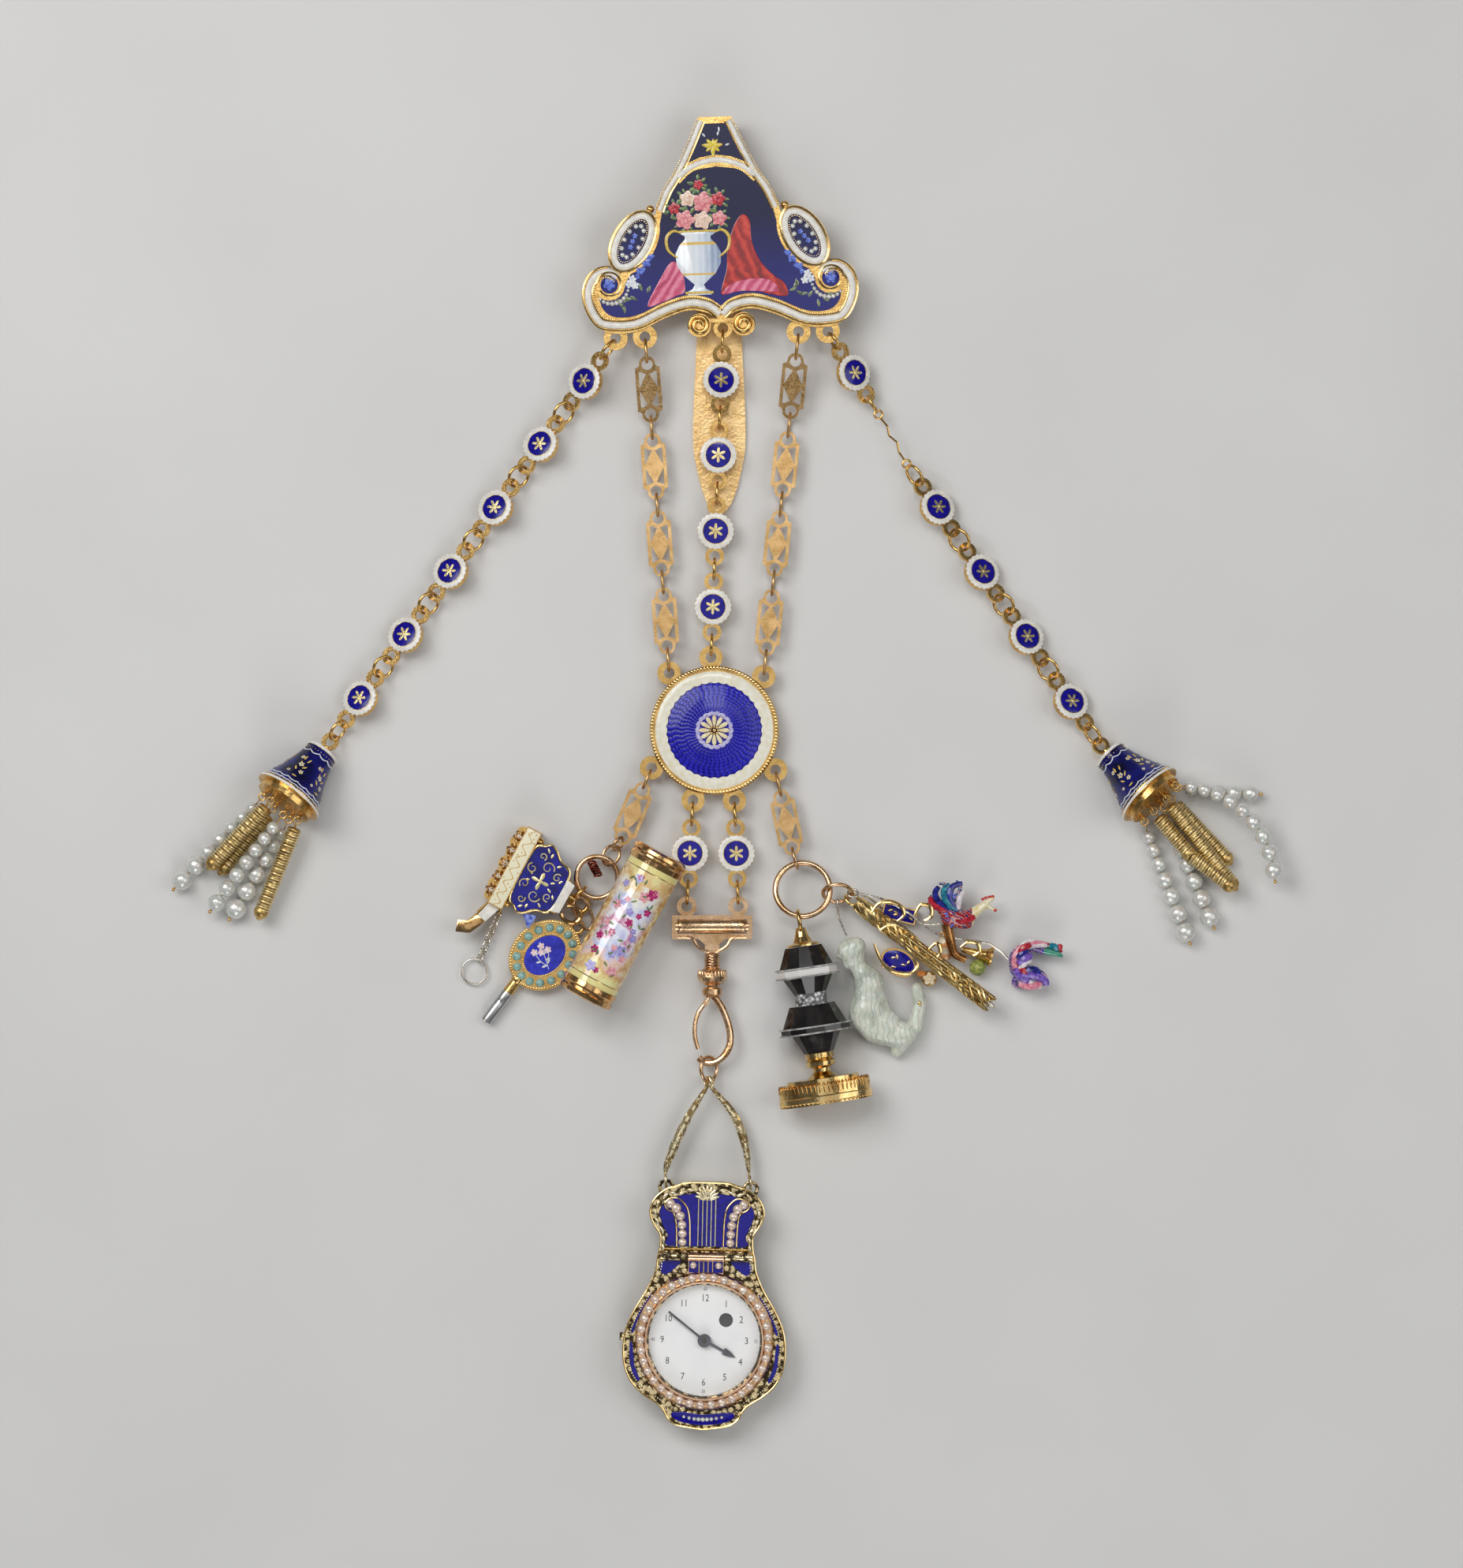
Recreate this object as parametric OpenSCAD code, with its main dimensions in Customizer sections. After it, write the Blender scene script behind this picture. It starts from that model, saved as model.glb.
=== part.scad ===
// Chatelaine: belt hook with enamelled plaque, chains, round plate, tassels, lyre watch and charms.
// It lies face up on a table. X is right, Y is up along the plaque, Z is up from the table.
// The origin is on the flat back of the belt hook, below the middle of the plaque.

/* [Plaque] */
// Turn of the plaque on the table, in degrees
plaque_turn = 1.9; // [-4:0.1:4]
// Height of the plaque's back above the table
plaque_z = 6.5; // [6.2:0.1:8]
// Thickness of the plaque's gold plate
plaque_t = 1.5; // [1.2:0.1:2.5]
// Depth of the pockets that hold the enamel
pocket_d = 0.6; // [0.3:0.1:0.9]
// Width of the white enamel borders
border_w = 1.5; // [1:0.1:1.8]
// Gap between an enamel and its pocket, all round
enamel_gap = 0.06; // [0.03:0.01:0.1]
// Height of an enamel above the gold around it
enamel_proud = 0.15; // [0:0.05:0.3]
// Half length of a side oval
oval_a = 7.6; // [6.5:0.1:8]
// Half width of a side oval
oval_b = 4.7; // [4:0.1:5]

/* [Belt hook] */
// Thickness of the hook's sheet
hook_t = 0.9; // [0.6:0.1:1.1]
// Distance of the blade's tip below the origin
hook_tip = 57; // [50:1:62]
// Greatest width of the blade
hook_w = 11.7; // [9:0.1:13]
// Width of the hook where it is bent over
hook_neck_w = 6.8; // [5:0.1:7.2]

/* [Chains] */
// Radius of a jump ring's wire
ring_wire = 0.35; // [0.25:0.05:0.4]
// Distance between the two holes of a medallion link
medal_pitch = 11.2; // [10.6:0.1:11.4]
// Radius of a medallion
medal_r = 4; // [3.4:0.1:4.2]
// Distance between the two holes of a plate link
plate_pitch = 11.1; // [10.5:0.1:11.4]
// Width of a plate link
plate_w = 5.5; // [4.8:0.1:6]
// Thickness of the links
link_t = 0.8; // [0.6:0.1:1]
// Roll of the medallions of the tassel chains, in degrees
medal_roll = 28; // [15:1:32]
// Height of the chains' middle above the table
chain_z = 3.1; // [3:0.1:3.3]

/* [Round plate] */
// Radius of the round plate
disc_r = 14.3; // [13:0.1:15]
// Radius of the blue enamel in it
disc_blue_r = 10.6; // [9:0.1:11]
// Radius of the rosette in its middle
rosette_r = 4.2; // [3:0.1:5]

/* [Tassels] */
// Height of a tassel's bell
bell_h = 13.4; // [12:0.1:15]
// Radius of the bell at its top
bell_top_r = 3.7; // [3.2:0.1:4]
// Radius of the bell at its mouth
bell_r = 7.9; // [7.6:0.1:8.2]
// Radius of the gold base that closes the bell
base_r = 6.7; // [6.4:0.1:7]
// Radius of a spiral coil
coil_r = 1.5; // [1.2:0.05:1.6]
// Radius of the thread that the pearls are strung on
thread_r = 0.18; // [0.12:0.02:0.22]

/* [Watch clip] */
// Length of the clip's bar
bar_l = 17.8; // [16:0.1:19]
// Radius of the rod in the bar
rod_r = 1.25; // [1:0.05:1.4]
// Radius of the clip's collar
collar_r = 3.3; // [2.8:0.1:3.6]

/* [Watch] */
// Turn of the watch on the table, in degrees
watch_turn = -1.2; // [-4:0.1:4]
// Thickness of the case between its two faces
case_t = 5.4; // [5:0.1:7]
// Radius of the dial
dial_r = 12.3; // [11.5:0.1:12.3]
// Outer radius of the bezel
bezel_r = 15.3; // [14.8:0.1:15.5]
// Length of the minute hand
minute_l = 10.2; // [8:0.1:10.6]
// Length of the hour hand
hour_l = 7.9; // [6:0.1:8.4]
// Radius of the arbor that carries the hands
arbor_r = 0.5; // [0.4:0.05:0.6]
// Play between an arbor or pin and what turns on it
play = 0.06; // [0.03:0.01:0.09]

/* [Charms] */
// Radius of the painted case
etui_r = 6.1; // [5.5:0.1:6.2]
// Length of the painted part of the case
etui_l = 29.3; // [26:0.1:31]
// Outer radius of the large ring that carries the left charms
left_ring_r = 5.2; // [4.8:0.1:5.4]
// Outer radius of the split ring that carries the right charms
split_ring_r = 6.7; // [6.4:0.1:7]
// Half length of the watch key's oval
key_a = 8.6; // [7.5:0.1:9]
// Half width of the watch key's oval
key_b = 7.3; // [6.5:0.1:7.6]
// Radius of the seal's widest stone
seal_r = 7.9; // [7:0.1:8.2]

/* [Hidden] */
$fn = 48;

// Places on the table, as [x, y]
disc_at = [-1.1, -104.3];
watch_at = [-3.3, -239.4];
left_bell_at = [-86.3, -106.8];
right_bell_at = [84.6, -107.7];
left_bell_heading = 233.5;
right_bell_heading = -45.5;
clip_x = -1.6;
etui_top = [-12.6, -131.4];
etui_heading = 241.6;
jug_at = [-42.5, -136.3];
key_at = [-38.7, -154.2];
left_ring_at = [-27.1, -136.9];
split_ring_at = [18.5, -139.6];
small_ring_at = [26.2, -140.4];
seal_heading = -81.5;

// Sizes shared by several pieces
loop_hole = 1.2;
loop_r = 2.1;
plate_hole = 1.25;
ring_slack = 0.27;
plaque_ring_r = 2.65;
disc_loop_r = 2.6;
plaque_top_z = plaque_z + plaque_t;
plaque_ring_z = plaque_top_z - pocket_d - link_t / 2;

// Small helpers
function turned(p, a) = [p.x * cos(a) - p.y * sin(a), p.x * sin(a) + p.y * cos(a)];
// Height of a shallow dome of one radius and rise, at distance r from its middle
function dome_height(r, edge, rise) = let (ball_r = (edge * edge + rise * rise) / (2 * rise))
    rise - ball_r + sqrt(max(0, ball_r * ball_r - r * r));
function polar(r, a) = [r * cos(a), r * sin(a)];
function heading(p, q) = atan2(q.y - p.y, q.x - p.x);
function mix(a, b, t) = a + (b - a) * t;
function ellipse_points(a, b, n = 40) = [for (i = [0:n - 1]) [a * cos(i * 360 / n), b * sin(i * 360 / n)]];
// A right half and its mirror image on the left, as one outline
function whole(points) = concat(points, [for (i = [len(points) - 1:-1:0]) if (points[i].x > 0.001)
    [-points[i].x, points[i].y]]);

// A smooth curve through a list of points
function curve_point(a, b, c, d, t) = 0.5 * (2 * b + (c - a) * t + (2 * a - 5 * b + 4 * c - d) * t * t
    + (3 * b - 3 * c + d - a) * t * t * t);
function curve(points, steps = 4, last = undef) = let (n = len(points)) concat(
    [for (i = [0:n - 2], k = [0:steps - 1]) curve_point(points[max(i - 1, 0)], points[i],
        points[i + 1], points[min(i + 2, n - 1)], k / steps)], [points[n - 1]]);

// The outline moved sideways by d at each point, to the right of the way along it
function side_of(a, b) = let (v = (b - a) / norm(b - a)) [v.y, -v.x];
function side_at(points, i) = let (last = len(points) - 1, m = side_of(points[max(i - 1, 0)],
    points[max(i, 1)]),
    n = side_of(points[min(i, last - 1)], points[min(i + 1, last)])) (m + n) / (1 + m * n);
function moved(points, d) = [for (i = [0:len(points) - 1]) points[i] + d * side_at(points, i)];
function band_points(points, w) = concat(moved(points, w / 2),
    [for (i = [len(points) - 1:-1:0]) points[i] - w / 2 * side_at(points, i)]);

// Puts local +X on the way from p to q, turned about it by roll
module along(p, q, roll = 0) {
    v = q - p;
    translate(p) rotate([0, -asin(v.z / norm(v)), atan2(v.y, v.x)]) rotate([roll, 0, 0]) children();
}
module torus(r, wire) {
    rotate_extrude() translate([r, 0]) circle(r = wire, $fn = 16);
}
module rod(p, q, r) {
    along(p, q) rotate([0, 90, 0]) cylinder(r = r, h = norm(q - p), $fn = 16);
}
module ball(p, r) {
    translate(p) sphere(r = r, $fn = 24);
}
// A bent wire: one ring of corners at each of its points, with one radius or a list of them
module tube(points, radii, sides = 8) {
    n = len(points);
    corners = [for (i = [0:n - 1]) let (a = points[max(i - 1, 0)], b = points[min(i + 1, n - 1)],
        way = (b - a) / norm(b - a), side = cross(way, [0, 0, 1]) / norm(cross(way, [0, 0, 1])),
        up = cross(side, way), r = is_list(radii) ? radii[i] : radii)
        for (k = [0:sides - 1]) points[i] + r * (cos(360 * k / sides) * side + sin(360 * k / sides) * up)];
    walls = [for (i = [0:n - 2], k = [0:sides - 1]) let (m = (k + 1) % sides)
        [i * sides + k, i * sides + m, (i + 1) * sides + m, (i + 1) * sides + k]];
    polyhedron(points = corners, faces = concat([[for (k = [sides - 1:-1:0]) k]],
        [[for (k = [0:sides - 1]) (n - 1) * sides + k]], walls));
}
module ellipse_plate(a, b, h) {
    linear_extrude(height = h) polygon(ellipse_points(a, b));
}

// Plaque outlines, in the plaque's own axes, drawn as the right half from the bottom notch upwards
lower_edge = [[0, -13.9], [2.8, -12], [7, -11.2], [12.3, -12.7], [18.8, -15.5], [25.2, -15.5],
    [29.3, -12], [30.5, -7.2], [29.4, -2.8], [25.5, -0.9], [22, -2.2]];
upper_edge = [[14.5, 9], [13.4, 12], [11.2, 16.2], [9.4, 19], [7.6, 22], [5.4, 26.5], [3.8, 30.6],
    [3.7, 31.4]];
field_edge = [[0, -10.4], [2.6, -8.6], [7, -7.8], [12.4, -9.2], [18.9, -12], [24, -12], [26.4, -9.6],
    [26, -7], [22, -6], [19, -2], [14.6, 2], [13, 7.5], [12, 11.6], [10, 16.2], [6.4, 19.2], [0, 20.4]];
border_path = [[22.6, -3.4], [24.2, -2.2], [26.8, -2.5], [28.8, -4.8], [29.2, -8.3], [27.6, -12.2],
    [25.2, -13.8], [19, -13.8], [12.5, -11], [7, -9.5], [2.6, -10.3], [0.5, -12]];
shoulder_path = [[3.1, 30.6], [5.6, 24.9], [8.6, 19], [11, 15.3], [12.9, 11]];
arch_path = [[-8.9, 17.6], [-5.6, 20.5], [0, 21.9], [5.6, 20.5], [8.9, 17.6]];
panel_edge = [[0, 23], [3.4, 22.6], [6.5, 21.3], [4.3, 25.6], [2.3, 29.9], [0, 29.9]];
shoulder_w = border_w - 0.2;
arch_w = border_w - 0.4;
oval_at = [19, 4.4];
oval_lean = 31;
volute_at = [24.5, -5];
volute_r = 1.9;
scroll_at = [4.9, -14.6];
scroll_r = 2.6;
centre_loop_at = [0.3, -15.4];
plaque_rings = [[-23.5, -16.8], [-17, -16.7], [17, -16.7], [23.5, -16.8]];
function on_plaque(p, z) = let (q = turned(p, plaque_turn)) [q.x, q.y, z];

module both_sides() {
    children();
    mirror([1, 0, 0]) children();
}
module oval_place() {
    translate(oval_at) rotate(90 + oval_lean) children();
}
module plaque_outline() {
    polygon(whole(curve(concat(lower_edge, upper_edge))));
    both_sides() oval_place() polygon(ellipse_points(oval_a, oval_b));
}
module field_shape(d) {
    difference() {
        polygon(whole(moved(curve(field_edge), d)));
        both_sides() oval_place() polygon(ellipse_points(oval_a + 0.5 - d, oval_b + 0.5 - d));
        both_sides() translate(volute_at) circle(r = volute_r + 1.6 - d);
        both_sides() polygon(band_points(curve(border_path), border_w + 1 - 2 * d));
        both_sides() polygon(band_points(curve(shoulder_path), shoulder_w + 1 - 2 * d));
        polygon(band_points(curve(arch_path), arch_w + 1 - 2 * d));
    }
}
module border_shape(d) {
    both_sides() polygon(band_points(curve(border_path), border_w + 2 * d));
    polygon(concat([[-1.2 - d, -11.3 + d], [1.2 + d, -11.3 + d], [0, -13 - d]]));
}
module shoulder_shape(d) {
    both_sides() polygon(band_points(curve(shoulder_path), shoulder_w + 2 * d));
}
module arch_shape(d) {
    difference() {
        polygon(band_points(curve(arch_path), arch_w + 2 * d));
        both_sides() polygon(band_points(curve(shoulder_path), shoulder_w + 0.7 - 2 * d));
    }
}
module panel_shape(d) {
    polygon(whole(moved(panel_edge, d)));
}
module in_pocket(extra = 0) {
    rotate(plaque_turn) translate([0, 0, plaque_top_z - pocket_d + enamel_gap])
        linear_extrude(height = pocket_d - enamel_gap + enamel_proud + extra) children();
}
module plaque() {
    color("goldenrod") rotate(plaque_turn) {
        difference() {
            translate([0, 0, plaque_z]) linear_extrude(height = plaque_t) plaque_outline();
            translate([0, 0, plaque_top_z - pocket_d]) linear_extrude(height = pocket_d + 1) {
                field_shape(enamel_gap);
                border_shape(enamel_gap);
                shoulder_shape(enamel_gap);
                arch_shape(enamel_gap);
                panel_shape(enamel_gap);
                both_sides() oval_place() polygon(ellipse_points(oval_a - 0.7, oval_b - 0.7));
            }
        }
        translate([0, 0, plaque_z + 0.1]) linear_extrude(height = plaque_t) {
            both_sides() translate(scroll_at) circle(r = scroll_r);
            translate([-3, -14.1]) square([6, 0.9]);
        }
        translate([centre_loop_at.x, centre_loop_at.y, plaque_ring_z - link_t / 2]) difference() {
            cylinder(r = loop_r, h = link_t);
            translate([0, 0, -1]) cylinder(r = loop_hole, h = link_t + 2);
        }
        for (p = plaque_rings) translate([p.x, p.y, plaque_ring_z - link_t / 2]) difference() {
            cylinder(r = plaque_ring_r, h = link_t);
            translate([0, 0, -1]) cylinder(r = loop_hole, h = link_t + 2);
        }
        both_sides() translate([oval_at.x - 4.1, oval_at.y + 7.1, plaque_z + 0.75]) sphere(r = 0.9);
    }
}
module plaque_field() {
    color("midnightblue") in_pocket() field_shape(0);
}
module plaque_top_panel() {
    color("navy") in_pocket() panel_shape(0);
}
module plaque_border() {
    color("ivory") in_pocket() {
        border_shape(0);
        shoulder_shape(0);
        arch_shape(0);
    }
}
module oval_rings() {
    color("ivory") in_pocket(0.2) both_sides() oval_place() difference() {
        polygon(ellipse_points(oval_a - 0.7 - enamel_gap, oval_b - 0.7 - enamel_gap));
        polygon(ellipse_points(oval_a - 2, oval_b - 2));
    }
}
module oval_centres() {
    color("navy") in_pocket() both_sides() oval_place()
        polygon(ellipse_points(oval_a - 2 - enamel_gap, oval_b - 2 - enamel_gap));
}

// Belt hook: blade on the table, bent over at the top, with a leg that is seated behind the plaque
hook_leg_z = plaque_z - 0.05 - hook_t;
bend_r = (hook_leg_z + hook_t) / 2;
bend_y = 27.4;
leg_end_y = 14;
module blade_outline() {
    right = curve([[hook_neck_w / 2, bend_y], [hook_neck_w / 2 + 0.2, 14], [hook_w * 0.4, -8],
        [hook_w * 0.43, -18], [hook_w / 2, -38], [hook_w * 0.43, -46], [hook_w * 0.24, hook_tip * -0.94],
        [0, -hook_tip]], 5);
    polygon(whole(right));
}
module belt_hook() {
    color("goldenrod") {
        linear_extrude(height = hook_t) blade_outline();
        translate([-hook_neck_w / 2, leg_end_y, hook_leg_z]) cube([hook_neck_w, bend_y - leg_end_y, hook_t]);
        translate([-hook_neck_w / 2, bend_y, bend_r]) rotate([90, 0, 90]) difference() {
            cylinder(r = bend_r, h = hook_neck_w);
            translate([0, 0, -1]) cylinder(r = bend_r - hook_t, h = hook_neck_w + 2);
            translate([-20, -20, -1]) cube([20, 40, hook_neck_w + 2]);
        }
    }
}

// Chains: links between two anchors, with a jump ring in each gap. zs holds the height of each hole.
function link_run(pitch, za, zb) = sqrt(pitch * pitch - (za - zb) * (za - zb));
function runs_before(pitch, zs, i) = i <= 0 ? 0 : link_run(pitch, zs[2 * i - 1], zs[2 * i])
    + runs_before(pitch, zs, i - 1);
function gap_run(a, b, pitch, n, zs) = (norm(b - a) - runs_before(pitch, zs, n)) / (n + 1);
function hole_at(a, b, pitch, n, zs, k) = let (gaps = ceil(k / 2), links = floor(k / 2),
    s = gaps * gap_run(a, b, pitch, n, zs) + runs_before(pitch, zs, links),
    p = a + (b - a) / norm(b - a) * s) [p.x, p.y, zs[k]];
function drop_heights(n, z_start, z_end) = [for (k = [0:2 * n + 1]) k == 0 ? z_start
    : k == 2 * n + 1 ? z_end : k == 1 ? z_start - 1.2 : k == 2 ? chain_z + 0.2 : chain_z];
function level_heights(n) = [for (k = [0:2 * n + 1]) chain_z];
function over_blade(n) = [for (k = [0:2 * n + 1]) k == 0 ? plaque_ring_z : k == 1 ? plaque_ring_z - 1
    : k == 2 ? hook_t + 3.2 : k < 5 ? hook_t + 2.8 : k == 5 ? hook_t + 2.4 : chain_z];

module jump_ring(p, q, hole, roll) {
    along((p + q) / 2, q, roll) torus(norm(q - p) / 2 - (hole - ring_wire - ring_slack), ring_wire);
}
module chain_rings(a, b, pitch, n, zs, hole, rolls) {
    for (i = [0:n]) jump_ring(hole_at(a, b, pitch, n, zs, 2 * i), hole_at(a, b, pitch, n, zs, 2 * i + 1),
        hole, rolls[i]);
}
module on_links(a, b, pitch, n, zs, roll) {
    for (i = [0:n - 1]) let (p = hole_at(a, b, pitch, n, zs, 2 * i + 1),
        q = hole_at(a, b, pitch, n, zs, 2 * i + 2)) along((p + q) / 2, q, roll) children();
}
medal_t = 1.2;
medal_pocket = 0.45;
module medallion() {
    difference() {
        union() {
            translate([0, 0, -medal_t / 2]) cylinder(r = medal_r, h = medal_t);
            for (s = [-1, 1]) translate([s * medal_pitch / 2, 0, -link_t / 2]) cylinder(r = loop_r,
                h = link_t);
        }
        translate([0, 0, medal_t / 2 - medal_pocket]) cylinder(r = medal_r - 0.35, h = 1);
        for (s = [-1, 1]) translate([s * medal_pitch / 2, 0, -2]) cylinder(r = loop_hole, h = 4);
    }
}
module medallion_enamel() {
    translate([0, 0, medal_t / 2 - medal_pocket + 0.05]) cylinder(r = medal_r - 0.42, h = medal_pocket + 0.1);
}
module plate_link() {
    rim = plate_hole + 0.6;
    lozenge = plate_pitch / 2 - rim + 0.3;
    rail = 0.75;
    translate([0, 0, -link_t / 2]) linear_extrude(height = link_t) difference() {
        union() {
            translate([-plate_pitch / 2 - 0.3, -plate_w / 2]) square([plate_pitch + 0.6, plate_w]);
            for (s = [-1, 1]) translate([s * plate_pitch / 2, 0]) circle(r = rim);
        }
        difference() {
            translate([-lozenge, -plate_w / 2 + rail]) square([2 * lozenge, plate_w - 2 * rail]);
            polygon([[-lozenge - 0.1, 0], [0, -plate_w / 2 + rail - 0.2], [lozenge + 0.1, 0],
                [0, plate_w / 2 - rail + 0.2]]);
            for (s = [-1, 1]) translate([s * plate_pitch / 2, 0]) circle(r = rim + 0.2);
        }
        for (s = [-1, 1]) {
            translate([s * plate_pitch / 2, 0]) circle(r = plate_hole);
            for (side = [-1, 1]) translate([s * (plate_pitch / 2 + 0.3), side * plate_w / 2])
                circle(r = 1);
        }
    }
}
module medal_chain(a, b, n, zs, rolls, roll) {
    chain_rings(a, b, medal_pitch, n, zs, loop_hole, rolls);
    on_links(a, b, medal_pitch, n, zs, roll) medallion();
}
module medal_enamels(a, b, n, zs, roll) {
    on_links(a, b, medal_pitch, n, zs, roll) medallion_enamel();
}

left_a = turned(plaque_rings[0], plaque_turn);
right_a = turned(plaque_rings[3], plaque_turn);
left_zs = drop_heights(6, plaque_ring_z, chain_z);
left_ring_rolls = [-76, -40, -40, -40, -40, -40, -62];
repair_top = [35.3, -34.2];
repair_end = [41.6, -45.2];
right_top_zs = drop_heights(1, plaque_ring_z, chain_z + 0.2);
right_zs = level_heights(4);

module left_tassel_chain() {
    color("goldenrod") medal_chain(left_a, left_bell_at, 6, left_zs, left_ring_rolls, medal_roll);
}
module left_tassel_enamel() {
    color("mediumblue") medal_enamels(left_a, left_bell_at, 6, left_zs, medal_roll);
}
repair_wave = [[0, 0, 0], [0.22, 0.4, 0.2], [0.4, -0.3, -0.1], [0.6, 0.5, 0.2], [0.8, -0.2, 0], [1, 0, 0]];
module repair_wire() {
    eye = 0.9;
    a = [repair_top.x, repair_top.y, chain_z + 0.2];
    b = [repair_end.x, repair_end.y, chain_z];
    run = norm(b - a) - 2 * eye;
    along(a, b) {
        tube([for (p = repair_wave) [eye + p.x * run, p.y, p.z]], 0.25);
        torus(eye, 0.25);
        translate([norm(b - a), 0, 0]) torus(eye, 0.25);
    }
}
module right_tassel_chain() {
    color("goldenrod") {
        medal_chain(right_a, repair_top, 1, right_top_zs, [76, 90], -medal_roll);
        repair_wire();
        medal_chain(repair_end, right_bell_at, 4, right_zs, [62, 40, 40, 40, 62], -medal_roll);
    }
}
module right_tassel_enamel() {
    color("mediumblue") {
        medal_enamels(right_a, repair_top, 1, right_top_zs, -medal_roll);
        medal_enamels(repair_end, right_bell_at, 4, right_zs, -medal_roll);
    }
}
centre_a = turned(centre_loop_at, plaque_turn);
disc_loop_angles = [92.6, 128.3, 47.4, 210.8, 253, 286, 327.1];
disc_loops = [for (a = disc_loop_angles) disc_at + polar(disc_r + 1.9, a)];
module centre_chain() {
    color("goldenrod") medal_chain(centre_a, disc_loops[0], 4, over_blade(4), [90, 90, 90, 90, 90], 0);
}
module centre_enamel() {
    color("mediumblue") medal_enamels(centre_a, disc_loops[0], 4, over_blade(4), 0);
}
module plate_chain(a, b) {
    zs = drop_heights(4, plaque_ring_z, chain_z);
    color("darkgoldenrod") {
        chain_rings(a, b, plate_pitch, 4, zs, plate_hole, [90, 90, 90, 90, 90]);
        on_links(a, b, plate_pitch, 4, zs, 0) plate_link();
    }
}
module left_plate_chain() {
    plate_chain(turned(plaque_rings[1], plaque_turn), disc_loops[1]);
}
module right_plate_chain() {
    plate_chain(turned(plaque_rings[2], plaque_turn), disc_loops[2]);
}

// Round plate: a lens of gold with a white ring, a blue dome and a rosette
disc_rim_z = chain_z + 1.1;
dome_rise = 1.5;
dome_z = disc_rim_z - 0.4;
module disc() {
    color("goldenrod") translate([disc_at.x, disc_at.y, 0]) {
        rotate_extrude($fn = 96) polygon([[0, 0.3], [disc_r * 0.45, 0.45], [disc_r * 0.8, 1],
            [disc_r - 0.5, chain_z - 0.8], [disc_r, chain_z - 0.4], [disc_r, chain_z + 0.6],
            [disc_r - 0.4, disc_rim_z], [disc_r - 0.95, disc_rim_z], [disc_r - 0.95, dome_z - 0.05],
            [0, dome_z - 0.05]]);
        for (p = disc_loops) translate([p.x - disc_at.x, p.y - disc_at.y, chain_z - link_t / 2])
            difference() {
            cylinder(r = disc_loop_r, h = link_t);
            translate([0, 0, -1]) cylinder(r = loop_hole, h = link_t + 2);
        }
    }
}
module disc_white() {
    color("ivory") translate([disc_at.x, disc_at.y, dome_z]) rotate_extrude($fn = 96)
        polygon([[disc_blue_r + 0.05, 0], [disc_r - 1, 0], [disc_r - 1, 0.35], [disc_blue_r + 0.05, 0.6]]);
}
module disc_blue() {
    steps = 10;
    color("mediumblue") translate([disc_at.x, disc_at.y, dome_z]) rotate_extrude($fn = 96)
        polygon(concat([[0, 0], [disc_blue_r, 0]], [for (i = [0:steps])
            let (r = disc_blue_r * (1 - i / steps))
            [r, 0.3 + dome_height(r, disc_blue_r, dome_rise)]]));
}
module disc_rosette() {
    petals = 12;
    color("wheat") translate([disc_at.x, disc_at.y, dome_z + dome_rise + 0.35]) {
        linear_extrude(height = 0.35) {
            circle(r = rosette_r - 0.7);
            for (i = [0:petals - 1]) translate(polar(rosette_r - 0.8, i * 360 / petals)) circle(r = 0.8);
        }
        translate([0, 0, 0.3]) cylinder(r = 0.9, h = 0.4);
    }
}

// Tassel bells lie on their sides, so their axes rise towards the mouth by the cone's half angle
bell_rise = atan((bell_r - bell_top_r) / bell_h);
bell_loop_back = 2.6;
base_out = 1.6;
flange_t = 0.8;
bell_axis_z = bell_top_r * cos(bell_rise) + 0.3;
module bell_place(at, head) {
    translate([at.x, at.y, chain_z]) rotate([0, 0, head]) children();
}
module bell_frame(at, head) {
    bell_place(at, head) translate([bell_loop_back, 0, bell_axis_z - chain_z]) rotate([0, -bell_rise, 0])
        children();
}
module turned_shape(points) {
    rotate([0, 90, 0]) rotate_extrude($fn = 64) polygon(points);
}
module bell(at, head, loop_roll, strands) {
    color("goldenrod") {
        bell_frame(at, head) turned_shape([[0, -0.4], [bell_top_r - 1.6, -0.4], [bell_top_r, 0.1],
            [bell_top_r, 0.8], [1.6, 0.8], [1.6, bell_h - flange_t], [bell_r, bell_h - flange_t],
            [bell_r, bell_h], [base_r, bell_h], [base_r, bell_h + base_out], [0, bell_h + base_out]]);
        bell_place(at, head) rotate([loop_roll, 0, 0]) difference() {
            translate([0, 0, -link_t / 2]) cylinder(r = loop_r - 0.1, h = link_t);
            translate([0, 0, -1]) cylinder(r = loop_hole, h = 2);
        }
        bell_frame(at, head) rotate([0, 90, 0]) translate([0, 0, -1.1]) cylinder(r = 0.9, h = 1);
        for (s = strands) translate(strand_start(at, head, s)) rotate([90, 0, s[2]])
            torus(base_eye_r, 0.22);
    }
}
module bell_enamel(at, head) {
    top = 0.9;
    run = bell_h - flange_t - 0.1 - top;
    color("midnightblue") bell_frame(at, head) turned_shape(concat([[1.7, top]],
        [for (t = [0:0.25:1]) [mix(bell_top_r - 0.1, bell_r - 0.4, pow(t, 1.35)), top + run * t]],
        [[1.7, top + run]]));
}
module left_bell() {
    bell(left_bell_at, left_bell_heading, medal_roll, concat(left_pearl_strands, left_coil_strands));
}
module left_bell_enamel() {
    bell_enamel(left_bell_at, left_bell_heading);
}
module right_bell() {
    bell(right_bell_at, right_bell_heading, -medal_roll,
        concat(right_pearl_strands, right_coil_strands, [bent_coil]));
}
module right_bell_enamel() {
    bell_enamel(right_bell_at, right_bell_heading);
}

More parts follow.
